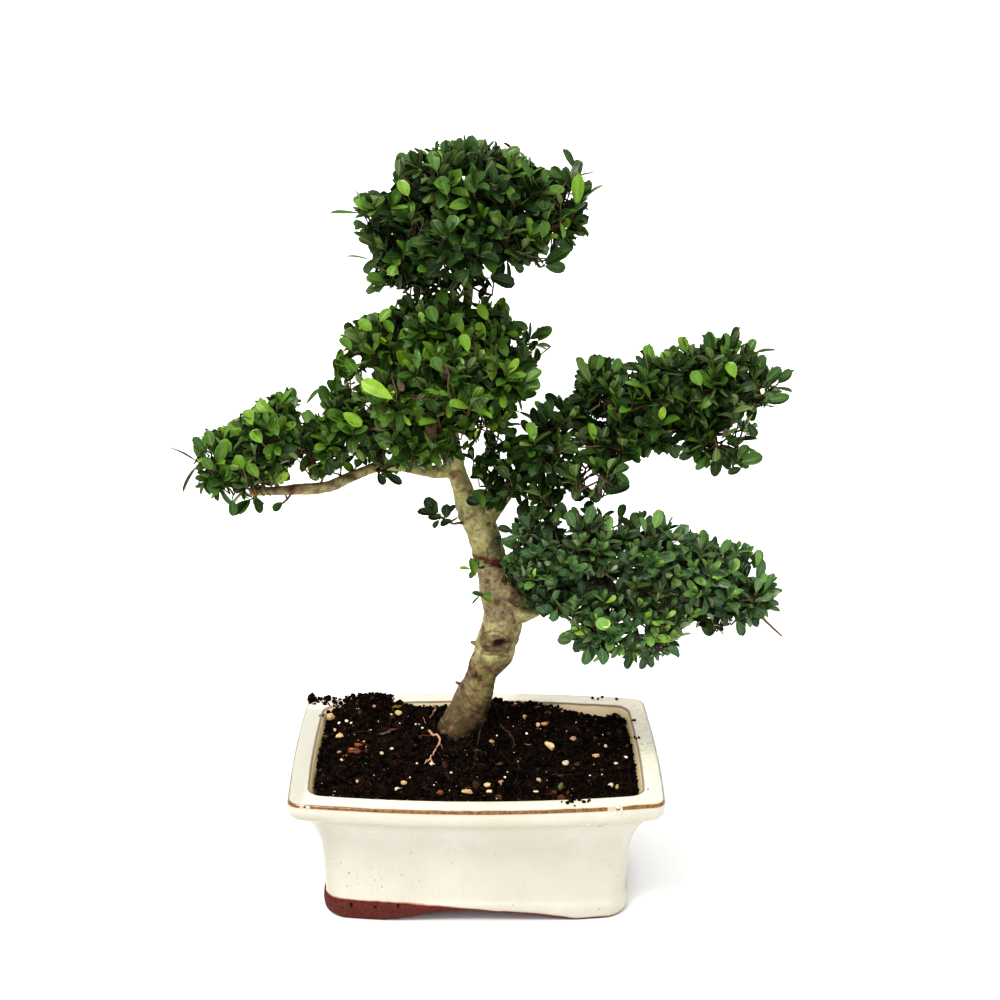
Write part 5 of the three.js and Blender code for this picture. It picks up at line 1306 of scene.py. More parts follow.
trunk_w = on_trunk.astype(float)
disp = bark_relief(V, R, trunk_w)
colour = bark_colour(V, R, trunk_w)
# painted shade: low down, the trunk's left-facing side is painted greyer and pinker
colour = blend(colour, rgb(112, 98, 80), smooth(168, 150, V[:, 2]) * trunk_w * smooth(-0.35, -0.85, N[:, 0]) * 0.5 * smooth(100, 122, V[:, 2]))


def on_bark(px, py):
    return hit(WOOD0, px, py)


def spot(px, py, radius, paint=None, amount=0.9, push=0.0, core=0.35, stretch=(1, 1), noisy=0.35, ring_at=None):
    """A knot or patch on the bark where that point of the photograph meets it."""
    global disp, colour
    h = on_bark(px, py)
    if h is None:
        return
    P, n = h
    d = V - P
    a = unit(np.cross([0, 0, 1.0], n))
    b = unit(np.cross(n, a))
    u = np.sqrt((d @ a / stretch[0]) ** 2 + (d @ b / stretch[1]) ** 2 + (d @ n * 0.7) ** 2)
    u = u * (1 + noisy * (vnoise(V / (radius * 0.45), int(px)) - 0.5) * 2)
    w = smooth(radius, radius * core, u)
    if ring_at:
        w2 = np.exp(-((u - ring_at) / (radius * 0.16)) ** 2)
        disp = disp + push * w2
        colour = blend(colour, np.array(paint), w2 * amount)
        return
    if push:
        disp = disp + push * w
    if paint is not None:
        colour = blend(colour, np.array(paint), w * amount)


def seam(points, width, paint, amount, push):
    global disp, colour
    P = [on_bark(*p) for p in points]
    P = np.array([p[0] for p in P if p is not None])
    if len(P) < 2:
        return
    Q = through(P, 0.7)
    sel = np.where(np.linalg.norm(V - Q.mean(0), axis=1) < 40)[0]
    d = np.sqrt(((V[sel, None] - Q[None]) ** 2).sum(-1)).min(1) * (1 + 0.5 * (vnoise(V[sel] / 2.2, 71) - 0.5))
    w = smooth(width, width * 0.35, d)
    disp[sel] += push * w
    colour[sel] = blend(colour[sel], np.array(paint), w * amount)


# the wrinkled shoulder with its hollow knot
spot(494, 644, 14, rgb(112, 88, 68), 0.75, 1.3, 0.5, (1.2, 0.7))
for dy in (-8, -4.5, 4, 7.5, 10.5):
    seam([(483, 643 + dy * 1.0), (491, 641 + dy * 1.25), (500, 642 + dy * 1.25), (509, 646 + dy)], 1.3, rgb(74, 54, 42), 0.6, -0.55)
spot(499.5, 643, 5.0, rgb(40, 27, 20), 1.0, -3.4, 0.5, (1.35, 0.8))
spot(486, 648, 4.5, rgb(88, 66, 58), 0.7, -0.4)
spot(508, 650, 4.2, rgb(120, 100, 84), 0.7, 0.5)
# ring knot, scars and patches on the middle of the trunk
spot(516, 597, 6.0, rgb(118, 100, 76), 0.7, 1.2)
spot(516, 597, 6.0, rgb(78, 58, 42), 0.8, 0.7, ring_at=4.2)
spot(516, 597, 2.0, rgb(74, 56, 40), 0.8, -0.9)
spot(497, 602, 4.2, rgb(104, 70, 56), 0.85, -0.4, 0.35, (1.1, 0.85))
spot(487, 582, 3.2, rgb(84, 82, 66), 0.8, -0.5)
spot(490, 573, 1.6, rgb(108, 104, 84), 0.6)
spot(505, 583, 2.6, rgb(120, 84, 62), 0.7)
spot(506, 571, 1.8, rgb(128, 96, 72), 0.6)
spot(489, 618, 4.2, rgb(112, 108, 88), 0.7, 0.3, ring_at=2.8)
spot(487, 611, 2.4, rgb(96, 88, 70), 0.7)
spot(483, 629, 4.0, rgb(98, 62, 50), 0.85, 0.6)
spot(503, 612, 1.1, rgb(84, 60, 46), 0.9)
spot(514, 622, 1.5, rgb(58, 62, 40), 0.95)
spot(510.5, 629, 1.0, rgb(84, 60, 46), 0.9)
spot(512, 614, 1.0, rgb(84, 60, 46), 0.9)
# grey fold with curved lines, then the rust red seam below it
spot(496, 546, 8.0, rgb(124, 116, 96), 0.85, 1.4, 0.5, (0.9, 1.25))
for k in (0, 3.0, 6.2):
    seam([(487 + k, 556 - k * 0.5), (488.5 + k, 547), (493 + k, 540 + k * 0.4), (499 + k * 0.4, 537)], 1.0, rgb(72, 62, 48), 0.7, -0.45)
seam([(474, 555), (483, 558), (494, 561), (503, 562)], 2.5, rgb(112, 44, 28), 1.0, 1.0)
seam([(474, 559), (484, 562), (495, 565), (503, 566)], 1.5, rgb(44, 22, 15), 0.95, -1.0)
spot(508, 562, 4.6, rgb(56, 34, 25), 0.9, 0.9, 0.5, (1.2, 0.7))
spot(501, 566, 3.4, rgb(58, 36, 28), 0.8, -0.6, 0.4, (1.5, 0.6))
spot(494, 566, 2.0, rgb(74, 44, 34), 0.7, -0.3, 0.4, (1.4, 0.6))
# painted shadow where the right lower pad hangs over the trunk and the branch, with a shallow dent
spot(531, 606, 9.5, rgb(78, 66, 48), 0.8, 0.0, 0.5)
spot(518, 586, 6.5, rgb(84, 72, 52), 0.8, 0.0, 0.5, (0.8, 1.5))
spot(507, 577, 4.0, rgb(76, 66, 48), 0.75, -0.4, 0.4)
spot(489, 524, 2.6, rgb(124, 58, 40), 0.9, 0.3)
spot(496, 527, 2.0, rgb(70, 56, 40), 0.8)
spot(478, 530, 1.4, rgb(112, 96, 66), 0.7)
spot(475, 542, 1.8, rgb(120, 104, 72), 0.6)
spot(459, 517, 3.6, rgb(98, 60, 46), 0.8, 1.0, 0.4, (1, 0.7))
seam([(458, 516), (466, 519), (474, 515)], 1.6, rgb(116, 84, 60), 0.7, 0.5)
spot(457, 476, 6.0, rgb(128, 88, 60), 0.6)
spot(463, 490, 2.5, rgb(120, 70, 48), 0.6)
spot(470, 492, 3.0, rgb(98, 66, 50), 0.7)
spot(452, 474, 4.5, rgb(86, 62, 48), 0.7)
spot(470, 665, 4.5, rgb(92, 70, 50), 0.7, 0.4)
spot(488, 672, 3.5, rgb(108, 84, 62), 0.6, -0.3)
spot(497, 668, 4.0, rgb(112, 92, 70), 0.7, 0.7)
spot(474, 677, 3.2, rgb(70, 50, 38), 0.8, -0.5, 0.4, (1.2, 0.6))
spot(478, 705, 5.5, rgb(104, 88, 66), 0.6, 0.6)
spot(459, 712, 5.0, rgb(86, 70, 52), 0.6, -0.5)
# dark soil stain and painted shade on the right flank of the trunk base
spot(487, 708, 7.0, rgb(44, 34, 26), 0.85, 0.0, 0.35, (0.75, 1.5))
spot(484, 721, 9.0, rgb(26, 20, 15), 0.95, 0.0, 0.45, (0.9, 1.2))
spot(474, 731, 7.0, rgb(34, 25, 19), 0.9, 0.0, 0.4, (1.3, 0.8))
spot(476, 674, 3.0, rgb(66, 44, 34), 0.9, -0.4, 0.35, (0.7, 1.7))
spot(480, 679, 3.0, rgb(70, 50, 38), 0.8, -0.3, 0.35, (0.8, 1.5))
spot(477, 668, 3.0, rgb(176, 150, 98), 0.6, 0.3)
spot(472, 684, 2.6, rgb(170, 148, 110), 0.5, 0.3)
spot(491, 668, 3.0, rgb(150, 104, 96), 0.55, 0.2)
spot(449, 729, 5.0, rgb(128, 92, 76), 0.6, 0.2)
# marks along the left branch
spot(291.6, 490, 3.6, rgb(112, 52, 28), 1.0, 0.6, 0.5)
spot(291.2, 490.6, 1.7, rgb(52, 24, 18), 1.0, -0.3, 0.4)
spot(291, 491, 1.3, rgb(66, 26, 16), 0.9, -0.5)
spot(299, 491, 4.4, rgb(136, 108, 94), 0.6, 0.0, 0.4, (1.4, 0.9))
# painted shadow under the right lower pad on the trunk and the branch, mixed with darker bark patches and a knot
spot(515, 583, 4.4, rgb(44, 30, 22), 0.85, -0.6, 0.5)
spot(519, 593, 3.6, rgb(76, 58, 44), 0.8, 0.8, 0.5)
spot(519, 593, 1.4, rgb(44, 32, 24), 0.8, -0.3, 0.4)
spot(528, 600, 4.4, rgb(98, 74, 58), 0.7, 0.4, 0.5)
spot(534, 604, 3.2, rgb(78, 54, 42), 0.7, -0.3, 0.4)
spot(513, 602, 3.4, rgb(70, 54, 42), 0.7, -0.3, 0.4)
spot(524, 608, 4.0, rgb(104, 92, 66), 0.6, 0.2, 0.4)
spot(306, 489, 3.0, rgb(140, 96, 74), 0.6, 0.0, 0.4, (1.3, 0.9))
spot(286, 489, 2.6, rgb(134, 112, 96), 0.7, 0.0)
spot(270, 493, 4.5, rgb(142, 122, 96), 0.6, 0.0, 0.4, (1.6, 0.9))
spot(333, 484, 2.6, rgb(112, 82, 66), 0.7, -0.3)
spot(351, 477, 4.2, rgb(64, 56, 34), 0.85, 0.0, 0.4, (1.5, 0.7))
for px, py, r_, c in ((424, 470, 3.2, (112, 84, 62)), (397, 471, 3.4, (98, 74, 58)), (374, 476, 3.0, (92, 66, 50)), (352, 483, 3.0, (112, 88, 66)),
                      (338, 488, 3.4, (122, 104, 82)), (318, 491, 2.6, (128, 92, 70)), (275, 491, 2.6, (110, 84, 62))):
    spot(px, py, r_, rgb(*c), 0.7, 0.4)
# the same kind of marks on the sides nobody photographed
rng = np.random.default_rng(17)
T = np.array(LIMBS["trunk"])
for _ in range(34):
    k = rng.integers(3, 20)
    o = T[k, :3] + np.array([0, 0, rng.uniform(-5, 5)])
    ang = rng.uniform(-0.4, math.pi + 0.4)
    d = np.array([math.cos(ang), math.sin(ang), 0])
    loc, nor, _, _ = WOOD0.ray_cast(Vector(o + d * 60), Vector(-d), 80)
    if loc is None:
        continue
    P = np.array(loc)
    r_ = rng.uniform(1.2, 5.5)
    w = smooth(r_, r_ * 0.4, np.linalg.norm((V - P) * np.array([1, 1, 1.25]), axis=1) * (1 + 0.5 * (vnoise(V / 2.0, 77) - 0.5)))
    colour = blend(colour, [rgb(98, 70, 54), rgb(84, 80, 66), rgb(112, 84, 62), rgb(60, 42, 32)][rng.integers(0, 4)], w * 0.75)
    disp = disp + w * rng.uniform(-0.7, 1.0)

V = V + N * disp[:, None]
wood = Heap()
wood.add(V, f3=tris, f4=quads, bark=np.column_stack([colour, np.ones(len(V))]), fine=R)


def add_thin(P, sides=7, step=2.6):
    Q = through(P, step)
    V, q, t = tube(Q[:, :3], Q[:, 3], sides)
    Rr = np.concatenate([np.repeat(Q[:, 3], sides), [Q[0, 3], Q[-1, 3]]])
    c = bark_colour(V, Rr, np.zeros(len(V)))
    V = V + 0
    wood.add(V, f3=t, f4=q, bark=np.column_stack([c, np.ones(len(V))]), fine=Rr)


skeleton = [stations[(stations[:, 2] > 170)]]
for k, v in LIMBS.items():
    if k in STOUT:
        P = [p for p in v if p[3] < 2.3]
        if len(P) >= 2:
            add_thin(P)
    else:
        add_thin(v, 7, 2.0)
for k, v in TWIGS.items():
    add_thin(v, 6, 3.0)
    skeleton.append(through(v, 3.0)[:, :3])
# the left branch's sawn end and two more cuts
for px, py, y, r_, d in ((251.5, 492, -9.5, 3.2, (-0.8, -0.75, 0.05)), (652, 436, -28, 1.7, (0.1, -1, 0.2)), (441, 413, -34, 1.9, (-0.2, -1, 0.3)), (725, 434, -20, 1.2, (0.5, -0.8, 0.3))):
    P = at_depth(px, py, y)
    d = unit(np.array(d, float))
    V_, q_, t_ = tube([P - d * 7, P - d * 2, P], [r_, r_ * 0.98, r_ * 0.92], 12)
    c_ = np.tile(np.append(rgb(118, 88, 62), 1.0), (len(V_), 1))
    c_[24:36] = np.append(rgb(186, 132, 84), 1)
    c_[-1] = np.append(rgb(206, 160, 106), 1)
    wood.add(V_, f3=t_, f4=q_, bark=c_, fine=2.0)
skeleton = np.concatenate(skeleton)


def bark_material(name):
    m = Mat(name, 0.72, 0.3)
    p = m.place()
    n = m.noise(p, 620, 4, 0.65)
    c = m.mix(m.math("MULTIPLY", m.step(n, 0.40, 0.66), 0.31), m.attr("bark", "Color"), (0.05, 0.032, 0.02, 1), "MIX")
    n = m.noise(p, 260, 3, 0.6)
    c = m.mix(m.math("MULTIPLY", m.step(n, 0.57, 0.68), 0.42), c, (0.09, 0.055, 0.03, 1), "MIX")
    c = m.mix(m.math("MULTIPLY", m.step(n, 0.42, 0.32), 0.17), c, (0.60, 0.55, 0.36, 1), "MIX")
    m.color(c)
    return m


bm = bark_material("smooth_bark")
bm.bump(bm.noise(bm.place(), 900, 3, 0.6), 0.35, 0.0004)
tree = wood.make("trunk_and_branches", [bm.m])
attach(tree, "root")
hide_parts("tree_wood")

# ---------------------------------------------------------------- leaves
# Outlines of the five pads as seen from the front, in the photograph's frame. Shoots are trimmed to them, as
# clipping shears would, and a leaf reaches each corner.
PADS = {
    "top": [(357, 212), (356, 196), (368, 191), (378, 197), (392, 196), (399, 186), (396, 170), (400, 155), (411, 151), (431, 149), (445, 140), (455, 140), (473, 135), (484, 138),
            (499, 141), (520, 148), (535, 165), (550, 170), (566, 166), (580, 161), (591, 181), (588, 202), (589, 216),
            (587, 233), (572, 251), (560, 257), (545, 263), (522, 264), (498, 268), (496, 280), (508, 286), (484, 293), (440, 298), (417, 296), (390, 288),
            (375, 292), (365, 292), (363, 272), (372, 266), (374, 252), (366, 240), (354, 230)],
    "mid": [(320, 388), (330, 378), (337, 356), (343, 328), (370, 313), (388, 312), (403, 295), (430, 287), (462, 283), (485, 287),
            (504, 297), (511, 316), (522, 328), (550, 327), (551, 345), (534, 360), (541, 370), (541, 383), (522, 398),
            (517, 418), (513, 431), (500, 436), (479, 440), (466, 459), (440, 468), (400, 472), (385, 478), (370, 462),
            (340, 470), (320, 478), (305, 470), (301, 412), (316, 418), (325, 407)],
    "left": [(196, 470), (194, 443), (207, 431), (228, 424), (235, 419), (251, 410), (259, 401), (275, 393), (292, 388),
             (297, 396), (301, 412), (316, 418), (325, 407), (318, 387), (337, 378), (345, 420), (340, 468), (318, 481), (301, 472),
             (290, 480), (285, 502), (277, 514), (260, 514), (251, 506), (232, 515), (213, 500), (196, 484)],
    "right_upper": [(577, 374), (578, 358), (591, 355), (609, 356), (622, 361), (630, 367), (646, 345), (658, 357), (668, 350), (672, 343), (682, 337),
                    (697, 348), (708, 332), (718, 341), (726, 333), (738, 326), (755, 340), (764, 354), (762, 368), (781, 368),
                    (793, 369), (790, 396), (766, 407), (757, 424), (757, 436), (746, 440), (738, 428), (722, 427), (708, 438), (712, 447), (740, 447), (763, 456), (749, 468), (729, 470),
                    (714, 477), (697, 470), (679, 459), (666, 452), (643, 456), (624, 459), (617, 471), (622, 482), (630, 487), (608, 494),
                    (599, 502), (574, 500), (566, 512), (540, 514), (520, 506), (497, 512), (482, 506), (472, 492), (474, 470), (489, 428), (514, 439),
                    (521, 420), (532, 407), (545, 394), (568, 399), (578, 391)],
    "right_lower": [(512, 523), (518, 505), (545, 497), (573, 506), (593, 505), (610, 515), (623, 505), (649, 515), (660, 509),
                    (689, 525), (703, 529), (716, 536), (731, 539), (745, 543), (760, 549), (764, 559), (748, 565), (750, 577), (764, 580), (775, 573), (782, 588), (781, 610),
                    (768, 606), (758, 627), (740, 636), (726, 634), (708, 636), (692, 634), (684, 622), (682, 636), (678, 656), (653, 662), (640, 669),
                    (627, 668), (614, 656), (604, 664), (586, 664), (575, 653), (558, 640), (571, 628), (556, 619), (547, 611),
                    (540, 615), (529, 611), (517, 604), (508, 592), (503, 573), (502, 560), (503, 538)],
}
# openings where the background shows between the leaves: place and radius in the frame
GAPS = [(511, 585, 3.4), (517, 592, 3.4), (524, 600, 3.6), (531, 604.5, 3), (514, 596, 4.5), (521, 604, 4.5), (530, 608, 3),
        (267, 507, 3.2), (267.5, 513, 3), (287, 508, 3), (729, 431, 4.2), (737, 430, 4), (743, 437, 3.6), (735, 438, 3), (750, 442, 3.4), (522, 428, 3.6), (528, 423, 2.6),
        (495, 292, 4.2), (505, 271, 4), (509, 267, 2.6), (209, 457, 3.2), (203, 467, 2.6), (368, 370, 3.2), (358, 359, 2.8), (473, 484, 4), (490, 470, 2.6), (504, 455, 2.4), (514, 466, 2.4), (487, 495, 3.4), (506, 483, 3), (503, 516, 9), (512, 507, 4),
        (511, 546, 3.6), (497, 438, 3), (533, 418, 2.5), (551, 404, 3), (580, 504, 3.2), (640, 466, 3), (521, 499, 3), (484, 429, 3.8),
        (482, 420, 2.2), (480, 447, 3.2), (484, 436, 1.8), (478, 482, 3.4), (596, 478, 2.8), (568, 496, 2.4), (567, 501, 2), (328, 475, 3.2), (320, 471, 1.8),
        (337, 469, 2), (299, 466, 3.2), (297, 475, 5.4), (291, 480, 3.4), (303, 460, 2.2), (306, 475, 3.4), (475, 296, 3), (366, 372, 3.2), (358, 360, 2.8),
        (411, 295, 3.6), (644, 525, 3.0), (503, 534, 3), (211, 458, 2.8), (469, 469, 2.6), (545, 258, 2.6), (748, 575, 2.6), (643, 633, 2.6),
        (616, 524, 2.3), (565, 198, 2.2), (600, 489, 2.3), (588, 470, 2.2), (723, 462, 2), (602, 420, 2.2), (602, 400, 1.8), (555, 242, 2),
        (464, 438, 2), (776, 384, 2), (367, 407, 1.9), (357, 382, 1.9), (567, 522, 1.9), (513, 342, 1.9), (300, 422, 1.9), (764, 387, 1.8),
        (583, 449, 1.8), (585, 484, 1.8), (388, 455, 1.7), (745, 418, 2)]
PAD_POLY = {k: np.array(v, float) for k, v in PADS.items()}


def in_poly(Q, poly):
    x, y = Q[:, 0], Q[:, 1]
    inside = np.zeros(len(Q), bool)
    j = len(poly) - 1
    for i in range(len(poly)):
        xi, yi = poly[i]
        xj, yj = poly[j]
        cut = (yi > y) != (yj > y)
        with np.errstate(divide="ignore", invalid="ignore"):
            inside ^= cut & (x < (xj - xi) * (y - yi) / (yj - yi + 1e-12) + xi)
        j = i
    return inside


def off_poly(Q, poly):
    """Distance from the outline, negative inside."""
    A, B = poly, np.roll(poly, -1, 0)
    d = B - A
    t = np.clip(((Q[:, None] - A) * d).sum(-1) / (d * d).sum(-1), 0, 1)
    dist = np.sqrt(((Q[:, None] - A - t[..., None] * d) ** 2).sum(-1)).min(1)
    return np.where(in_poly(Q, poly), -dist, dist)


def outside(P):
    """How far, in photo pixels, points stand outside every pad's outline."""
    Q = seen(P)
    return np.min([off_poly(Q, poly) for poly in PAD_POLY.values()], 0)


def in_gap(P, grow=1.0):
    Q = seen(P)
    bad = np.zeros(len(Q), bool)
    for x, y, r in GAPS:
        bad |= np.hypot(Q[:, 0] - x, Q[:, 1] - y) < r * grow
    return bad


def pad_of(name):
    for k in ("right_upper", "right_lower", "top", "mid", "left"):
        if name.startswith(k):
            return k


CL = [(k, pad_of(k), np.array(v[:3]), np.array([v[3], v[4], v[5]])) for k, v in CLUMPS.items()]
C0 = np.array([c[2] for c in CL])
C1 = np.array([c[3] for c in CL])


def level(P, i):
    """1 on the surface of clump i, less inside."""
    return np.sqrt((((P - C0[i]) / C1[i]) ** 2).sum(-1))


def deepest(P):
    return np.min([level(P, i) for i in range(len(CL))], 0)


LEAVES = []      # base, direction, face normal, length, width, bend, cup, twist, tone, shape, pad, clump


def leaf(B, D, N, L, W, bend, cup, twist, tone, shape, pad, clump, forced=False, old=0.0):
    LEAVES.append((B, D, N, L, W, bend, cup, twist, tone, shape, pad, clump, forced, old))


SHOOTS = []      # tip, axis, pad, clump
rng = np.random.default_rng(11)


def rosette(T, A, n, L0, bias, pad, clump, spread=1.0, old=0.0):
    A = unit(A)
    if pad == "right_lower":
        L0 = L0 * 0.84
    e = unit(np.cross(A, [0.31, 0.2, 0.93]))
    f = np.cross(A, e)
    phi = rng.uniform(0, 2 * math.pi)
    for i in range(n):
        az = phi + i * 2.39996 + rng.normal() * 0.16
        th = math.radians(min(104, (14 + 58 * (i / max(1, n - 1)) ** 0.9) * spread + rng.normal() * 8))
        rad = math.cos(az) * e + math.sin(az) * f
        D = unit(A * math.cos(th) + rad * math.sin(th))
        up = unit(A * math.sin(th) - rad * math.cos(th))
        up = unit(up + rng.normal(size=3) * 0.16)
        L = L0 * (0.66 + 0.36 * min(1.0, i / 2.5)) * rng.uniform(0.86, 1.12)
        W = L * rng.uniform(0.46, 0.60)
        bend = -0.05 - 0.20 * i / n * rng.uniform(0.3, 1.4) + 0.06 * rng.normal()
        tone = bias + 0.20 * (1 - i / n) + rng.normal() * 0.13
        B = T - A * (1.45 * i + 0.3) + rad * 0.5
        leaf(B, D, up, L, W, bend, rng.uniform(0.16, 0.55), rng.normal() * 0.25, tone, rng.uniform(0, 1), pad, clump, False, old)
    SHOOTS.append((T - A * (1.45 * n), T, A, pad, clump))


PAD_TONE = {"top": 0.27, "mid": 0.46, "left": 0.40, "right_upper": 0.27, "right_lower": 0.31}
UP = np.array([0, 0, 1.0])


class Spaced:
    """Points that keep a distance from one another."""

    def __init__(self, points=()):
        self.P = np.zeros((60000, 3))
        self.n = len(points)
        if self.n:
            self.P[:self.n] = points

    def near(self, p, g):
        return self.n > 0 and ((self.P[:self.n] - p) ** 2).sum(1).min() < g * g

    def add(self, p):
        self.P[self.n] = p
        self.n += 1


def surface_candidates(n_per=150):
    g = np.arange(n_per) + 0.5
    ph = math.pi * (3 - 5 ** 0.5) * g
    zz = 1 - 2 * g / n_per
    rr = np.sqrt(1 - zz * zz)
    S = np.column_stack([rr * np.cos(ph), rr * np.sin(ph), zz])
    P, n, idx = [], [], []
    for i, (name, pad, c, r) in enumerate(CL):
        Q = c + S * r
        m = unit(S / r)
        keep = np.ones(len(Q), bool)
        for j in range(len(CL)):
            if j != i:
                keep &= level(Q, j) > 0.97
        P.append(Q[keep])
        n.append(m[keep])
        idx.append(np.full(keep.sum(), i))
    return np.concatenate(P), np.concatenate(n), np.concatenate(idx)


# a shoot reaches every corner of the outlines
for pad, poly in PAD_POLY.items():
    ids = [i for i, c in enumerate(CL) if c[1] == pad]
    for k, v in enumerate(poly):
        others = [off_poly(v[None], p)[0] for q, p in PAD_POLY.items() if q != pad]
        if min(others) < -2:
            continue
        P0 = None
        best = 1e9
        for i in ids:
            c, r = C0[i], C1[i]
            q = seen(c)[0]
            s = FOCAL / ((c - CAM_AT) @ CAM_F)
            d = math.hypot((v[0] - q[0]) / (r[0] * s), (v[1] - q[1]) / (r[2] * s))
            if d < best and r[0] > 8:
                best, P0 = d, i
        c, r = C0[P0], C1[P0]
        q = seen(c)[0]
        off = (v - q) / max(1e-6, np.linalg.norm(v - q))
        tip = at_depth(v[0], v[1], c[1] + rng.uniform(-0.35, 0.25) * r[1])
        out2 = CAM_R * off[0] - CAM_U * off[1]
        lean = 0.45 if off[1] < 0.35 else 0.05
        D = unit(out2 + UP * lean + CAM_F * rng.normal() * 0.25 + rng.normal(size=3) * 0.14)
        L = rng.uniform(13.0, 16.5)
        B = tip - D * L
        N = unit(-CAM_F * rng.uniform(0.2, 1) + UP * 0.5 + rng.normal(size=3) * 0.5)
        tone = PAD_TONE[pad] + 0.12 + rng.normal() * 0.14
        leaf(B, D, N, L, L * rng.uniform(0.44, 0.56), -0.06 + 0.06 * rng.normal(), rng.uniform(0.1, 0.35), rng.normal() * 0.2,
             tone, rng.uniform(0, 1), pad, P0, not (pad == "left" and 250 < v[0] < 290 and v[1] > 500))
        A = unit(D + UP * 0.2 - CAM_F * rng.uniform(0, 0.4))
        rosette(B + A * 1.0, A, 6, rng.uniform(12.5, 15.0), PAD_TONE[pad] + 0.04, pad, P0, 1.0)

# shoots all over the pads, evenly spaced
P, Nn, I = surface_candidates(230)
order = rng.permutation(len(P))
P, Nn, I = P[order], Nn[order], I[order]
m_ = len(P)
under = Nn[:, 2] < -0.35
AX = unit(Nn * 0.62 + UP * np.where(under, 0.10, 0.80)[:, None] + rng.normal(size=(m_, 3)) * 0.24)
TT = P - Nn * rng.uniform(0.0, 10.0, (m_, 1))
out1 = outside(TT)
TT = np.where((out1 > -4.0)[:, None], TT + (C0[I] - TT) * 0.10, TT)
fine_ = (outside(TT) < -1.2) & ~in_gap(TT, 1.6)
taken = Spaced([s_[1] for s_ in SHOOTS])
gap = 12.1
# painted light and shade: the right lower pad's tone is raised along its lower edge and lowered by the trunk
q_ = seen(TT)
LOWER_PAD_LIGHT = 0.16 * smooth(600, 650, q_[:, 1]) - 0.10 * smooth(600, 540, q_[:, 0])
for j in range(m_):
    name, pad, c, r = CL[I[j]]
    if not fine_[j] or name in ("left_6", "left_7", "right_upper_11") or (name == "right_upper_12" and rng.random() < 0.45):
        continue
    if taken.near(P[j], gap * (0.9 if pad == "right_lower" else 1)):
        continue
    taken.add(P[j])
    n_l = rng.integers(6, 9) if not under[j] else rng.integers(4, 6)
    # painted light: shoots facing up get a lighter tone, shoots facing down a darker one
    painted_light_tone = 0.05 if Nn[j, 2] > 0.3 else -0.04 if under[j] else 0
    if pad == "right_lower":
        painted_light_tone += LOWER_PAD_LIGHT[j]
    rosette(TT[j], AX[j], n_l, rng.uniform(11.5, 15.0), PAD_TONE[pad] + painted_light_tone + rng.normal() * 0.10, pad, I[j], rng.uniform(0.9, 1.15))

# shoots that lie over the trunk and the first stretch of the branches, which no clump reaches
BRIDGE = [("top", 412, 282, -8), ("top", 425, 287, -6), ("top", 438, 280, -12), ("top", 449, 286, -8), ("top", 466, 284, -10), ("top", 481, 284, -12),
          ("top", 457, 274, -20), ("top", 404, 279, -10), ("mid", 341, 372, -14), ("mid", 350, 378, -16), ("mid", 339, 362, -12), ("mid", 350, 358, -18),
          ("left", 342, 462, 2), ("left", 356, 466, 4), ("left", 370, 462, 2), ("left", 330, 464, 0), ("left", 384, 464, 4),
          ("right_upper", 472, 455, 0), ("right_upper", 474, 464, -2), ("right_upper", 486, 459, -5), ("right_upper", 494, 450, -7), ("right_upper", 497, 466, -4),
          ("right_upper", 487, 481, -3), ("right_upper", 505, 474, -5), ("right_upper", 509, 450, -8), ("right_upper", 492, 442, -8), ("right_upper", 483, 468, -3), ("top", 494, 281, -12),
          ("mid", 523, 343, -14), ("mid", 531, 350, -12), ("right_upper", 571, 486, -9), ("right_upper", 606, 486, -9), ("right_upper", 587, 476, -9), ("right_upper", 490, 448, -6), ("right_upper", 506, 446, -6), ("right_upper", 488, 470, -2),
          ("right_upper", 498, 461, -4), ("right_upper", 566, 478, -8), ("right_upper", 749, 431, -12), ("right_upper", 478, 474, 0),
          ("right_lower", 737, 549, -4), ("right_lower", 749, 551, -4), ("right_lower", 700, 617, -9), ("right_lower", 714, 619, -8),
          ("right_lower", 729, 618, -7), ("right_lower", 743, 619, -6), ("right_lower", 722, 608, -14), ("right_lower", 706, 607, -16), ("right_lower", 737, 609, -10),
          ("right_lower", 540, 569, -23), ("right_lower", 533, 571, -20), ("right_lower", 547, 574, -23), ("right_lower", 538, 562, -21), ("right_lower", 541, 577, -23),
          ("right_lower", 518, 590, -22), ("right_lower", 526, 598, -24), ("right_lower", 535, 604, -25), ("right_lower", 511, 583, -18), ("right_lower", 508, 575, -14),
          ("right_lower", 527, 606, -22), ("right_lower", 517, 598, -21), ("right_lower", 544, 600, -26), ("right_lower", 552, 594, -27),
          ("top", 362, 224, -10), ("top", 367, 231, -8), ("right_upper", 584, 491, -8), ("right_upper", 596, 493, -8), ("right_upper", 470, 470, 2),
          ("right_upper", 477, 462, -2), ("right_upper", 512, 462, -6), ("right_upper", 518, 452, -8), ("right_upper", 546, 484, -8),
          ("right_upper", 560, 483, -8), ("right_upper", 498, 437, -8), ("right_lower", 533, 594, -15), ("right_lower", 526, 584, -14),
          ("right_lower", 519, 570, -13), ("right_lower", 540, 604, -18), ("right_lower", 523, 595, -12), ("right_lower", 514, 577, -11),
          ("right_lower", 512, 541, -13), ("right_lower", 521, 533, -13), ("right_lower", 530, 523, -12), ("right_lower", 528, 545, -16),
          ("right_lower", 519, 560, -15), ("right_lower", 512, 563, -13), ("right_lower", 531, 563, -18), ("right_lower", 521, 577, -15),
          ("right_lower", 533, 580, -19), ("right_lower", 527, 590, -16), ("right_lower", 538, 597, -18), ("right_lower", 545, 585, -22),
          ("right_lower", 540, 512, -10), ("right_lower", 553, 505, -8), ("right_lower", 546, 535, -20), ("right_lower", 548, 604, -20),
          ("right_lower", 556, 522, -16), ("right_lower", 545, 556, -22), ("right_upper", 527, 496, -6), ("right_upper", 541, 500, -6),
          ("right_upper", 556, 503, -6), ("right_upper", 534, 485, -8), ("right_upper", 550, 488, -8), ("right_lower", 566, 512, -10)]
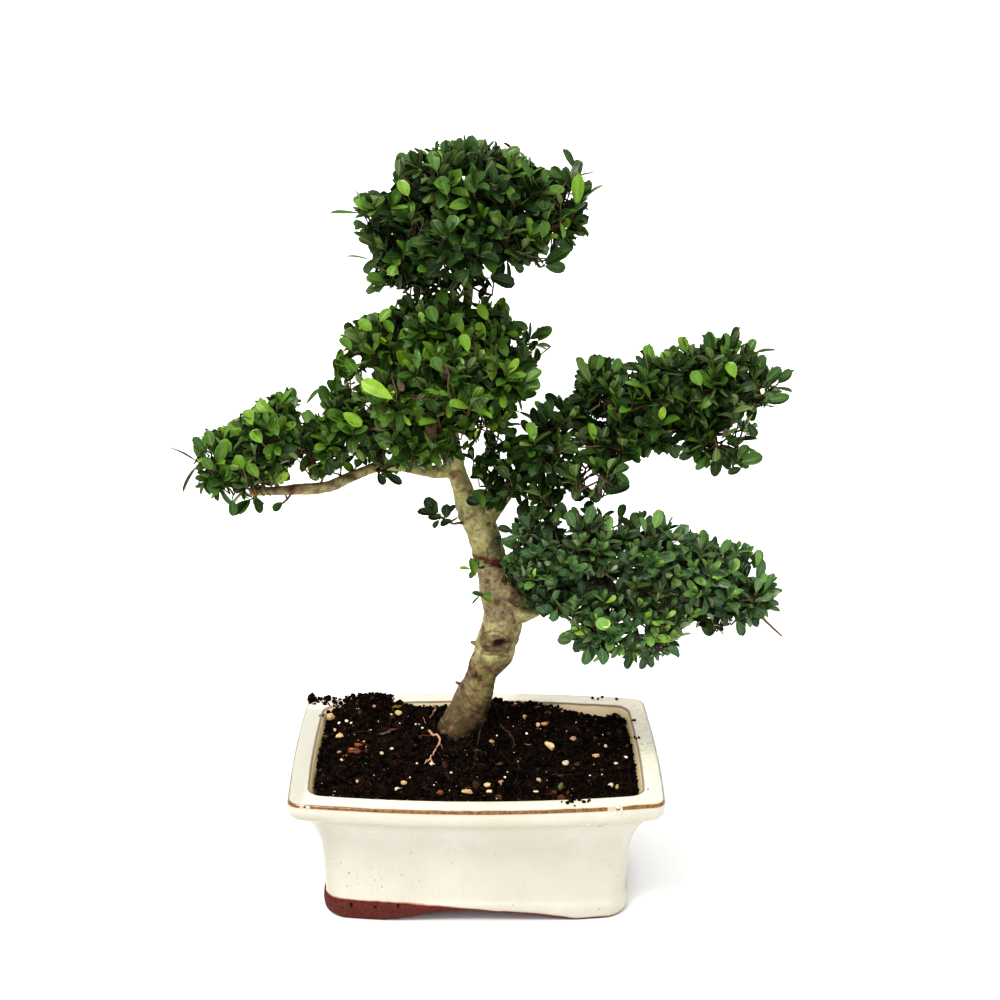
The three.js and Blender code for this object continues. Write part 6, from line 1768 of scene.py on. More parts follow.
for pad, px, py, dy in BRIDGE:
    T = at_depth(px, py, dy)
    ids = [i for i, c in enumerate(CL) if c[1] == pad]
    i = ids[int(np.argmin([((T - C0[i]) ** 2).sum() for i in ids]))]
    A = unit(-CAM_F * 0.55 + UP * 0.65 + rng.normal(size=3) * 0.35)
    rosette(T, A, int(rng.integers(5, 8)), rng.uniform(10.5, 13.0), PAD_TONE[pad] - 0.05 + rng.normal() * 0.07, pad, i, 1.0)

def front_of(px, py, pad, lift=3.0):
    """Where a line of sight first meets a pad, a little in front of it."""
    d = sight(px, py)
    best = None
    for i, (name, q, c, r) in enumerate(CL):
        if q != pad:
            continue
        o = (CAM_AT - c) / r
        v = d / r
        a, b, cc = v @ v, 2 * o @ v, o @ o - 1
        D = b * b - 4 * a * cc
        if D < 0:
            near_t = -b / (2 * a)
            miss = np.linalg.norm(o + v * near_t) - 1
            t = near_t
            score = 4000 + miss * 100
        else:
            t = (-b - math.sqrt(D)) / (2 * a)
            score = t
        if best is None or score < best[0]:
            best = (score, t, i)
    return CAM_AT + d * (best[1] - lift), best[2]


# shoots that bridge the furrows between neighbouring clumps on the front of the pads
for pad, step in (("right_lower", 19.0), ("mid", 27.0), ("right_upper", 24.0), ("top", 27.0), ("left", 27.0)):
    poly = PAD_POLY[pad]
    lo, hi = poly.min(0), poly.max(0)
    grid = np.array([(x, y) for x in np.arange(lo[0], hi[0], step) for y in np.arange(lo[1], hi[1], step)])
    grid = grid + rng.uniform(-0.35, 0.35, grid.shape) * step
    grid = grid[off_poly(grid, poly) < -12]
    for q in grid:
        own, i = front_of(q[0], q[1], pad, 0.0)
        t0 = (own - CAM_AT) @ CAM_F
        around = [(front_of(q[0] + dx, q[1] + dy, pad, 0.0)[0] - CAM_AT) @ CAM_F for dx, dy in ((18, 0), (-18, 0), (0, 16), (0, -16))]
        near_t = float(np.sort(around)[:2].mean())
        if t0 - near_t < 5.0 or in_gap(own[None], 2.0)[0]:
            continue
        depth = near_t + min(4.0, (t0 - near_t) * 0.3)
        T = CAM_AT + sight(*q) * (depth / (sight(*q) @ CAM_F))
        A = unit(-CAM_F * 0.45 + UP * 0.75 + rng.normal(size=3) * 0.3)
        rosette(T, A, int(rng.integers(5, 8)), rng.uniform(11.0, 14.0), PAD_TONE[pad] + rng.normal() * 0.08, pad, i, 1.0)

# older leaves further in, in the shade: broad, dark, and enough of them that no light comes through
INNER = len(LEAVES)
for lo, hi, sp, big in ((0.62, 0.80, 12.4, 1.0), (0.30, 0.55, 15.4, 1.2)):
    TT = C0[I] + (P - C0[I]) * rng.uniform(lo, hi, (m_, 1))
    fine_ = (outside(TT) < (-6.5 if lo > 0.5 else -8)) & ~in_gap(TT, 1.8)
    AX = unit(Nn + UP * 0.4 + rng.normal(size=(m_, 3)) * 0.4)
    taken = Spaced()
    for j in range(m_):
        name, pad, c, r = CL[I[j]]
        if not fine_[j] or min(r) < 12 or name == "right_upper_12" or taken.near(TT[j], sp * (1)):
            continue
        taken.add(TT[j])
        rosette(TT[j], AX[j], 4, rng.uniform(13, 16) * big, PAD_TONE[pad] - (0.20 if pad in ("top", "right_upper") else 0.04), pad, I[j], 1.15)
INNER = (INNER, len(LEAVES))


# leaves that stand out in the photograph: where they start and end in the frame, width in mm, tone, edge-on or not
SINGLE = [
    # pad, base, tip, width, tone, edge-on, bend
    ("top", (358, 213), (330, 213.5), 5.0, .62, .55, .02), ("top", (370, 260), (347, 251), 3.4, .24, .8, -.22),
    ("top", (361, 203), (358, 190), 5.0, .62, .8, -.2), ("top", (574, 169), (564, 148), 7.0, .30, .45, -.10), ("top", (574, 174), (580, 160), 7.5, .42, .1, 0),
    ("top", (574, 178), (593, 169), 4.4, .35, .8, -.18), ("top", (584, 200), (601, 181), 5.6, .42, .65, -.20), ("top", (577, 205), (579, 174), 8.6, .80, .1, .05),
    ("top", (562, 178), (551, 167), 7.0, .40, .2, -.05), ("top", (478, 148), (474, 133.5), 5.0, .45, .6, -.2), ("top", (446, 153), (445, 139.5), 4.2, .28, .7, .1),
    ("top", (504, 155), (520, 148), 6.5, .58, .1, -.1), ("top", (412, 164), (396, 155), 7.5, .55, .15, -.05), ("top", (417, 166), (411, 151), 6.8, .12, .1, 0),
    ("top", (545, 264), (571, 248), 9.6, .38, .0, -.05), ("top", (545, 266), (566, 268), 8.0, .34, .1, -.05), ("top", (490, 278), (515, 284.5), 10.0, .12, .0, 0),
    ("top", (514, 264), (523, 272), 5.6, .15, .2, 0), ("top", (384, 282), (366, 277), 8.8, .66, .0, 0), ("top", (382, 286), (367, 294), 6.0, .40, .3, 0),
    ("top", (374, 265), (364, 272), 6.0, .25, .4, -.1), ("top", (449, 207), (471, 202), 7.6, .74, .1, -.05), ("top", (447, 195), (440, 176), 8.8, .60, .0, 0),
    ("top", (474, 193), (470, 174), 9.4, .62, .0, .1), ("top", (421, 256), (422, 240), 5.4, .80, .2, 0), ("top", (450, 231), (455, 215), 8.0, .50, .1, 0),
    ("top", (392, 252), (398, 266), 6.2, .92, .2, 0), ("top", (397, 265), (390, 276), 7.4, .88, .0, 0), ("top", (367, 210), (356, 199), 8.6, .88, .1, -.1),
    ("top", (408, 196), (399, 180), 8.0, .78, .15, 0), ("top", (542, 238), (543, 220), 9.4, .60, .0, 0), ("top", (513, 202), (508, 186), 6.0, .66, .1, 0),
    ("top", (560, 222), (565, 238), 5.0, .72, .6, -.1), ("top", (530, 178), (521, 160), 6.5, .45, .2, 0), ("top", (437, 171), (431, 150), 7.6, .55, .2, -.1),
    ("mid", (393, 399), (361, 380), 9.8, .90, .0, -.08), ("mid", (417.5, 369), (417, 351), 5.4, .62, .1, 0), ("mid", (450, 396), (425, 388.5), 6.6, .74, .1, -.1), ("mid", (403, 367), (398, 350), 9.0, .92, .1, .05), ("mid", (409, 345), (403, 328), 8.2, .88, .1, 0),
    ("mid", (462, 333), (455, 315), 8.0, .95, .1, 0), ("mid", (484, 341), (478, 322), 7.6, .92, .1, 0), ("mid", (487, 320), (478, 304), 7.2, .90, .2, 0),
    ("mid", (492, 381), (493, 359), 8.2, .98, .1, 0), ("mid", (343, 413), (362, 426), 8.6, .90, .0, 0), ("mid", (371, 459), (363, 443), 7.2, .88, .1, 0),
    ("mid", (386, 450), (378, 434), 7.4, .84, .1, 0), ("mid", (372, 330), (358, 321), 8.0, .86, .1, -.1), ("mid", (380, 322), (390, 308), 7.0, .82, .2, -.1),
    ("mid", (538, 341), (551, 326), 7.6, .86, .1, -.1), ("mid", (537, 345), (552, 346), 6.4, .66, .3, -.1),
    ("mid", (526, 382), (542, 371), 7.4, .66, .1, 0), ("mid", (524, 390), (541, 385), 7.2, .55, .1, 0), ("mid", (412, 377), (424, 366), 7.6, .60, .1, 0),
    ("mid", (441, 372), (432, 357), 8.6, .62, .1, 0), ("mid", (468, 352), (462, 334), 7.4, .78, .1, 0), ("mid", (507, 357), (499, 342), 7.4, .72, .1, 0),
    ("mid", (351, 350), (341, 337), 7.6, .66, .1, -.1), ("mid", (357, 372), (346, 360), 7.8, .70, .1, 0), ("mid", (392, 334), (384, 320), 8.0, .70, .1, 0),
    ("mid", (436, 322), (428, 306), 8.0, .62, .1, 0), ("mid", (446, 305), (440, 291), 7.4, .55, .1, 0), ("mid", (480, 300), (486, 287), 6.4, .45, .3, 0),
    ("mid", (399, 432), (411, 420), 7.6, .70, .1, 0), ("mid", (424, 404), (416, 388), 8.0, .56, .1, 0), ("mid", (460, 405), (470, 391), 8.0, .60, .1, 0),
    ("left", (196, 461), (169, 444), 4.8, .30, .6, -.10), ("left", (197, 466), (180, 491), 4.6, .2, .6, -.12), ("left", (205, 452), (193, 437), 6.2, .42, .2, 0),
    ("left", (212, 446), (207, 430), 7.4, .62, .1, 0), ("left", (238, 436), (229, 422), 8.0, .82, .1, 0), ("left", (252, 425), (247, 409), 7.2, .84, .1, 0),
    ("left", (268, 412), (258, 400), 7.8, .80, .1, -.1), ("left", (283, 404), (276, 392), 7.2, .62, .1, 0), ("left", (292, 402), (292, 387), 6.6, .50, .2, 0),
    ("left", (262, 443), (252, 430), 8.0, .88, .1, 0), ("left", (231, 452), (221, 440), 7.8, .82, .1, 0), ("left", (243, 470), (236, 455), 7.6, .80, .1, 0),
    ("left", (213, 470), (203, 458), 7.0, .60, .1, 0), ("left", (278, 436), (270, 420), 7.8, .74, .1, 0), ("left", (300, 430), (292, 416), 7.4, .66, .1, 0),
    ("left", (258, 478), (248, 464), 7.4, .72, .1, 0), ("left", (225, 490), (215, 478), 7.2, .60, .1, 0), ("left", (232, 500), (233, 516), 6.4, .45, .2, 0),
    ("left", (330, 398), (319, 386), 7.6, .50, .1, -.1), ("left", (341, 376), (352, 364), 7.4, .55, .2, 0), ("left", (335, 430), (325, 418), 7.6, .52, .1, 0),
    ("left", (256.3, 498), (260.5, 513.5), 6.2, .46, .1, 0), ("left", (283, 502.5), (273.5, 511), 6.4, .50, .1, 0), ("left", (261.5, 495), (281, 499.5), 4.2, .14, .35, 0),
    ("left", (386, 474), (402, 484), 6.2, .15, .2, 0), ("left", (378, 473), (384, 485), 6.0, .18, .3, 0), ("left", (327, 462), (330, 476), 6.4, .22, .2, 0),
    ("right_upper", (755, 353), (776, 348), 4.8, .36, .6, -.1), ("right_upper", (748, 424), (756, 437), 6.4, .30, .2, 0), ("right_upper", (672, 360), (676, 346), 6.6, .6, .2, 0), ("right_upper", (778, 384), (794, 369), 6.2, .48, .4, -.05), ("right_upper", (734, 343), (740, 326), 7.8, .92, .1, -.05),
    ("right_upper", (686, 352), (680, 336), 7.4, .88, .1, -.05), ("right_upper", (672, 366), (661, 352), 7.8, .86, .1, 0), ("right_upper", (712, 347), (708, 331), 6.4, .60, .3, 0),
    ("right_upper", (728, 349), (724, 333), 6.8, .66, .2, 0), ("right_upper", (748, 352), (755, 339), 6.6, .60, .2, 0), ("right_upper", (652, 360), (646, 345), 7.4, .74, .1, 0),
    ("right_upper", (742, 462), (763, 456), 9.6, .50, .0, -.05), ("right_upper", (738, 460), (748, 445), 7.6, .62, .1, 0), ("right_upper", (741, 468), (728, 474), 6.4, .22, .2, 0),
    ("right_upper", (609, 494), (630, 485), 7.8, .30, .1, 0), ("right_upper", (601, 487), (613, 466), 8.4, .28, .1, 0), ("right_upper", (762, 402), (789, 396), 7.0, .50, .2, -.05), ("right_upper", (766, 382), (781, 367), 6.8, .46, .2, 0),
    ("right_upper", (534, 440), (529, 422), 7.8, .88, .1, 0), ("right_upper", (594, 440), (589, 423), 7.6, .86, .1, 0), ("right_upper", (541, 412), (535, 401), 6.2, .70, .2, 0),
    ("right_upper", (582, 372), (577, 357), 7.6, .54, .1, 0), ("right_upper", (597, 370), (600, 354), 7.0, .60, .1, 0), ("right_upper", (614, 372), (620, 358), 6.8, .56, .2, 0),
    ("right_upper", (701, 386), (692, 371), 7.8, .70, .1, 0), ("right_upper", (735, 378), (728, 362), 7.8, .78, .1, 0), ("right_upper", (650, 398), (641, 383), 7.6, .55, .1, 0),
    ("right_upper", (500, 424), (495, 410), 7.4, .40, .1, 0), ("right_upper", (496, 444), (484, 432), 7.4, .35, .1, 0), ("right_upper", (506, 441), (516, 428), 7.4, .42, .1, 0),
    ("right_upper", (493, 462), (481, 455), 7.0, .25, .1, 0), ("right_upper", (509, 478), (499, 466), 7.2, .35, .1, 0), ("right_upper", (521, 470), (533, 460), 7.2, .38, .1, 0),
    ("right_upper", (480, 503), (466, 500), 7.6, .10, .1, 0), ("right_upper", (483, 508), (481, 494), 5.4, .66, .1, 0), ("right_upper", (486, 489), (493, 484), 5.4, .12, .1, 0),
    ("right_lower", (760, 583), (766, 573), 5.4, .66, .1, 0), ("right_lower", (768, 590), (777, 583), 4.6, .28, .3, 0), ("right_lower", (756, 592), (760, 578), 5.4, .52, .1, 0),
    ("right_lower", (767, 600), (779, 605), 4.6, .18, .2, 0), ("right_lower", (762, 601), (773, 594), 5.0, .40, .2, 0), ("right_lower", (764, 592), (773, 574), 5.2, .50, .2, 0),
    ("right_lower", (549, 606), (541, 613), 5.6, .26, .2, 0),
    ("right_lower", (538, 600), (546, 608), 5.8, .30, .1, 0), ("right_lower", (552, 613), (544, 605), 6.2, .30, .1, 0), ("right_lower", (557, 610), (552, 622), 6.0, .34, .1, 0),
    ("right_lower", (561, 606), (567, 618), 6.2, .34, .2, 0),
    ("right_lower", (545, 598), (537, 590), 6.0, .28, .1, 0), ("right_lower", (553, 601), (560, 590), 6.0, .32, .1, 0), ("right_lower", (757, 566), (757, 549), 6.6, .66, .2, 0),
    ("right_lower", (720, 554), (731, 540), 7.4, .62, .1, 0), ("right_lower", (655, 528), (660, 509), 7.6, .66, .1, 0), ("right_lower", (645, 532), (639, 517), 7.4, .60, .1, 0),
    ("right_lower", (688, 541), (680, 524), 7.4, .56, .1, 0), ("right_lower", (706, 547), (703, 529), 7.2, .58, .1, 0), ("right_lower", (620, 520), (624, 504), 6.8, .50, .2, 0),
    ("right_lower", (587, 524), (593, 505), 7.2, .40, .1, 0), ("right_lower", (632, 653), (626, 669), 6.4, .30, .2, 0), ("right_lower", (601, 648), (604, 665), 6.6, .32, .2, 0),
    ("right_lower", (646, 655), (652, 668), 6.4, .30, .2, 0), ("right_lower", (588, 650), (584, 665), 6.8, .34, .1, 0), ("right_lower", (669, 646), (679, 658), 7.0, .36, .2, 0),
    ("right_lower", (718, 622), (708, 636), 6.8, .34, .1, 0), ("right_lower", (737, 620), (741, 635), 6.6, .36, .1, 0), ("right_lower", (572, 640), (557, 640), 6.8, .34, .1, 0),
    ("right_lower", (606, 630), (598, 618), 8.2, .74, .1, 0), ("right_lower", (738, 598), (728, 584), 7.8, .72, .1, 0), ("right_lower", (727, 612), (737, 600), 7.6, .70, .1, 0),
    ("right_lower", (768, 618), (760, 606), 5.0, .66, .3, 0), ("right_lower", (690, 560), (682, 548), 7.4, .62, .1, 0), ("right_lower", (529, 528), (519, 517), 7.4, .35, .1, 0),
    ("right_lower", (512, 531), (498, 527), 5.6, .28, .1, 0), ("right_lower", (521, 536), (505, 541), 5.4, .34, .2, 0),
    ("right_lower", (525, 573), (508, 569), 5.8, .50, .1, 0), ("right_lower", (536, 588), (525, 572), 7.0, .46, .1, 0),
    ("right_lower", (572, 612), (578, 600), 6.6, .82, .1, 0), ("right_lower", (598, 625), (611, 623), 6.2, .92, .1, 0),
    ("right_lower", (548, 590), (557, 578), 7.0, .40, .1, 0), ("right_lower", (540, 520), (531, 506), 7.6, .44, .1, 0),
    ("right_lower", (566, 520), (558, 503), 8.4, .46, .1, 0), ("right_lower", (575, 528), (566, 512), 7.6, .44, .1, 0),
    ("right_upper", (552, 413), (547, 400), 7.4, .50, .1, 0), ("right_upper", (561, 411), (557, 398), 6.8, .44, .1, 0), ("mid", (520, 398), (537, 392.5), 6.0, .34, .1, 0),
    ("right_upper", (613, 474), (629, 466), 7.4, .34, .1, 0), ("right_upper", (629, 452), (640, 463), 6.2, .28, .1, 0), ("right_upper", (667, 446), (678, 458), 6.4, .26, .1, 0),
    ("mid", (519, 412), (531, 419), 5.4, .26, .2, 0),
    ("right_lower", (529, 589), (518, 580), 6.0, .20, .1, 0), ("right_lower", (526, 581), (513, 573), 6.4, .26, .1, 0), ("right_lower", (534, 595), (524, 590), 5.8, .22, .1, 0),
    ("right_lower", (531, 583), (523, 574), 6.4, .28, .1, 0), ("right_lower", (540, 601), (531, 597), 5.4, .24, .1, 0), ("right_lower", (518, 572), (509, 563), 6.4, .34, .1, 0),
    ("right_upper", (588, 491), (599, 502), 6.4, .22, .1, 0),
]
for pad, b, t, w, tone, edgeon, bend in SINGLE:
    # the longest bright leaf lies free of its neighbours
    Bp, i = front_of(b[0], b[1], pad, 4.5 if b == (393, 399) else 1.0)
    if pad == "left" and b[0] > 250 and b[1] > 494:
        # these hang from the bare branch itself
        Bp = at_depth(b[0], b[1], -7.0)
    # the tip keeps the base's distance, a little nearer or further
    depth = (Bp - CAM_AT) @ CAM_F + rng.uniform(-2.5, 2.5)
    Tp = CAM_AT + sight(*t) * (depth / (sight(*t) @ CAM_F))
    D = Tp - Bp
    L = np.linalg.norm(D)
    D = unit(D)
    flat = unit(-CAM_F + UP * 0.55 + rng.normal(size=3) * 0.32)
    onedge = np.cross(D, CAM_F)
    onedge = onedge * (1 if onedge[2] > 0 else -1)
    N = unit(flat * (1 - edgeon) + onedge * edgeon)
    leaf(Bp, D, N, L, w, bend, rng.uniform(0.2, 0.5), 0.16 * rng.normal(), tone * 0.92 if tone < 0.8 else 0.736 + (tone - 0.8) * 0.6, rng.uniform(0.2, 1), pad, i, True)
    back = unit(D * 0.5 - CAM_F)
    SHOOTS.append((Bp - back * 5.0, Bp - D * 0.2, back, pad, i))

# withered leaves
for pad, b, t in (("mid", (428, 410), (433.5, 443)), ("mid", (398, 378), (403, 392)), ("right_upper", (723, 438), (727, 428))):
    Bp, i = front_of(b[0], b[1], pad, 2.0)
    Tp = CAM_AT + sight(*t) * (((Bp - CAM_AT) @ CAM_F) / (sight(*t) @ CAM_F))
    ln_ = np.linalg.norm(Tp - Bp)
    leaf(Bp, unit(Tp - Bp), unit(-CAM_F + UP * 0.3), ln_, min(7.4, ln_ * 0.5), 0.1, 0.3, 0.2, 0.4, 0.4, pad, i, True, 1.0)

# the sprig on the left of the trunk and the two sprouts
SPRIGS = {
    "sprig_left": (1.5, [((438, 513), (425, 498), 9.0, .10), ((446.5, 518), (446.5, 504), 7.6, .06), ((436, 514), (417, 511), 6.4, .14), ((439, 520), (433, 528), 4.0, .10),
                          ((452, 520), (440, 525), 5.4, .12), ((441, 517), (428, 517), 6.0, .16), ((434, 512), (434, 500), 5.4, .22), ((448, 514), (455, 505), 4.4, .14)]),
    "sprout_upper": (5.0, [((475, 576), (471, 558), 7.2, .70), ((470, 569), (459, 567.5), 3.2, .84), ((478, 568), (476, 557), 3.6, .42), ((477, 571), (469, 578), 5.0, .50)]),
    "sprout_lower": (7.0, [((484, 596), (472, 592.5), 4.4, .46), ((492, 602), (483, 596.5), 5.0, .76), ((480, 595.5), (471.5, 604), 1.8, .30), ((488, 598), (490.5, 592), 3.0, .62)]),
}
for name, (y, rows) in SPRIGS.items():
    for b, t, w, tone in rows:
        yy = y + rng.uniform(-1.5, 1.5)
        Bp, Tp = at_depth(b[0], b[1], yy), at_depth(t[0], t[1], yy + rng.uniform(-2, 2))
        D = unit(Tp - Bp)
        leaf(Bp, D, unit(-CAM_F + UP * 0.6 + rng.normal(size=3) * (0.45 if name == "sprig_left" else 0.12)), np.linalg.norm(Tp - Bp), w, -0.08, 0.45, 0.15, tone, 0.7, name, -1, True)
        if name == "sprig_left":
            SHOOTS.append((Bp - D * 2.5, Bp - D * 0.3, D, name, -1))

# ---- trim the leaves to the outlines, clear of the gaps and of the wood
n = len(LEAVES)
B = np.array([l[0] for l in LEAVES])
D = unit(np.array([l[1] for l in LEAVES]))
NR = np.array([l[2] for l in LEAVES])
L = np.array([l[3] for l in LEAVES])
Wd = np.array([l[4] for l in LEAVES])
bend = np.array([l[5] for l in LEAVES])
cup = np.array([l[6] for l in LEAVES])
twist = np.array([l[7] for l in LEAVES])
tone = np.array([l[8] for l in LEAVES])
shape = np.array([l[9] for l in LEAVES])
padn = np.array([l[10] for l in LEAVES])
clump = np.array([l[11] for l in LEAVES])
forced = np.array([l[12] for l in LEAVES])
old = np.array([l[13] for l in LEAVES])
slack = rng.uniform(-0.5, 5.5, n) * (rng.random(n) < 0.75)
tip = B + D * L[:, None]
over = outside(tip) - slack
midway = outside(B + D * L[:, None] * 0.6)
shrink = np.clip(1 - np.maximum(over, 0) * 0.66 / L, 0.72, 1)
L2 = np.where(forced, L, L * shrink)
Wd = np.where(forced, Wd, Wd * (0.5 + 0.5 * shrink))
L = L2
over = outside(B + D * L[:, None]) - slack
keep = forced | ((over < 1.5) & (midway < 0.5) & ~in_gap(B + D * L[:, None] * 0.55, 1.0) & ~in_gap(B + D * L[:, None], 0.8))
for f, wf in ((0.12, 0.55), (0.35, 0.95), (0.6, 1.0), (0.82, 0.75), (0.97, 0.3)):
    S_ = B + D * (L * f)[:, None]
    Q_ = seen(S_)
    half_px = 0.5 * Wd * wf * FOCAL / ((S_ - CAM_AT) @ CAM_F)
    for x_, y_, r_ in GAPS:
        keep &= forced | (np.hypot(Q_[:, 0] - x_, Q_[:, 1] - y_) > r_ + 0.55 * half_px)
    # nothing hangs in front of the left branch where it comes out of its pad
    for (x0, y0), (x1, y1), r_ in (((252, 492), (284, 492.5), 4.6), ((284, 492.5), (332, 487.5), 5.6), ((332, 487.5), (346, 481), 4.2)):
        e_ = np.array([x1 - x0, y1 - y0])
        t_ = np.clip(((Q_ - (x0, y0)) @ e_) / (e_ @ e_), 0, 1)
        off_ = np.hypot(Q_[:, 0] - x0 - t_ * e_[0], Q_[:, 1] - y0 - t_ * e_[1])
        keep &= ~((off_ < r_ + 0.4 * half_px) & (S_[:, 1] < 3) & ~(forced & (f < 0.5)))
box_lo, box_hi = np.array([-226, -101, 0]), np.array([225, 101, 545])
end = B + D * L[:, None]
keep &= ((end > box_lo) & (end < box_hi)).all(1)
keep &= end[:, 2] > 118
sel = np.where(keep)[0]
print("leaves", n, "kept", len(sel), "shoots", len(SHOOTS))

# ---- leaf surfaces
def prototype(st, across, across_low):
    """Points along and across a blade, upper side then underside, and the faces between them."""
    k, ka, kb = len(st), len(across), len(across_low)
    ps = [0.0, 1.0] + [v for v in st for _ in across] + [0.0, 1.0] + [v for v in st for _ in across_low]
    pt = [0.0, 0.0] + list(across) * k + [0.0, 0.0] + list(across_low) * k
    low = 2 + k * ka
    pb = [0.0] * low + [1.0] * (2 + k * kb)
    a4, a3 = [], []
    for i in range(k - 1):
        for j in range(ka - 1):
            a = 2 + i * ka + j
            a4.append((a, a + ka, a + ka + 1, a + 1))
        for j in range(kb - 1):
            a = low + 2 + i * kb + j
            a4.append((a, a + 1, a + kb + 1, a + kb))
    for j in range(ka - 1):
        a3.append((0, 2 + j, 3 + j))
        e = 2 + (k - 1) * ka + j
        a3.append((1, e + 1, e))
    for j in range(kb - 1):
        a3.append((low, low + 3 + j, low + 2 + j))
        e = low + 2 + (k - 1) * kb + j
        a3.append((low + 1, e, e + 1))
    return np.array(ps), np.array(pt), np.array(pb), np.array(a4), np.array(a3)


FULL = prototype([0.08, 0.26, 0.48, 0.70, 0.90], [-1, -.5, 0, .5, 1], [-1, 0, 1])
HALF = prototype([0.10, 0.34, 0.62, 0.88], [-1, 0, 1], [-1, 0, 1])
LITE = prototype([0.12, 0.48, 0.84], [-1, 0, 1], [-1, 0, 1])


def leaf_mesh(rows, proto):
    proto_s, proto_t, proto_b, q4, q3 = proto
    m, nv = len(rows), len(proto_s)
    s = proto_s[None]
    t = proto_t[None]
    pa = (0.62 + 0.22 * shape[rows])[:, None]
    pb = (0.46 + 0.14 * (1 - shape[rows]))[:, None]
    peak = pa / (pa + pb)
    w = (np.maximum(s, 1e-6) ** pa) * (np.maximum(1 - s, 0) ** pb) / (peak ** pa * (1 - peak) ** pb)
    half = 0.5 * Wd[rows][:, None] * w
    yl = half * t * (1 - 0.12 * cup[rows][:, None] * np.abs(t))
    bulge = np.where(np.abs(np.abs(t) - 0.5) < 0.01, 0.11, 0)
    zl = half * (cup[rows][:, None] * np.abs(t) + bulge * (1 - proto_b[None]))
    wave = 0.35 * np.sin(9 * s + 40 * shape[rows][:, None]) * np.abs(t) * 0.4 * half / 3.0
    zl = zl + wave - proto_b[None] * np.where(np.abs(t) < 0.01, 0.34, 0.0) * np.minimum(1, half / 1.2)
    bd = bend[rows][:, None]
    Lr = L[rows][:, None]
    zl = zl + Lr * bd * (s ** 2)
    xl = Lr * s * (1 - 0.35 * bd ** 2 * s)
    tw = twist[rows][:, None] * s
    y2 = yl * np.cos(tw) - (zl - Lr * bd * s ** 2) * np.sin(tw)
    z2 = Lr * bd * s ** 2 + (zl - Lr * bd * s ** 2) * np.cos(tw) + yl * np.sin(tw)
    Dd = D[rows]
    Nn_ = unit(NR[rows] - Dd * (NR[rows] * Dd).sum(1, keepdims=True) + 1e-6)
    Bi = np.cross(Nn_, Dd)
    P = (B[rows][:, None] + xl[..., None] * Dd[:, None] + y2[..., None] * Bi[:, None] + z2[..., None] * Nn_[:, None])
    V = P.reshape(-1, 3)
    base = (np.arange(m) * nv)[:, None, None]
    F4 = (q4[None] + base).reshape(-1, 4)
    F3 = (q3[None] + base).reshape(-1, 3)
    # one of 56 looks for the upper side and 8 for the underside
    k = np.clip((tone[rows] * 14).astype(int), 0, 13)
    var = k * 4 + (np.arange(m) * 7 + (shape[rows] * 100).astype(int)) % 4
    under = 56 + var % 8
    cell = np.where(proto_b[None] > 0, under[:, None], var[:, None])
    tn_top = (var // 4 + 0.5) / 14
    seed_top = (var % 4) / 4.0
    tn_low = (var % 8) / 8.0
    tn = np.where(proto_b[None] > 0, tn_low[:, None], tn_top[:, None])
    sd = np.where(proto_b[None] > 0, 0.9, seed_top[:, None])
    lf = np.stack([np.broadcast_to(s, (m, nv)), np.broadcast_to(t, (m, nv)), np.broadcast_to(proto_b[None], (m, nv))], -1).reshape(-1, 3)
    tv = np.stack([tn, sd, old[rows][:, None] * smooth(0.30, 0.62, s)], -1).reshape(-1, 3)
    cx, cy = cell % 8, cell // 8
    uv = np.stack([(cx + 0.5 + 0.44 * t) / 8, (cy + 0.05 + 0.90 * s) / 8], -1).reshape(-1, 2)
    return V, F4, F3, lf, tv, uv


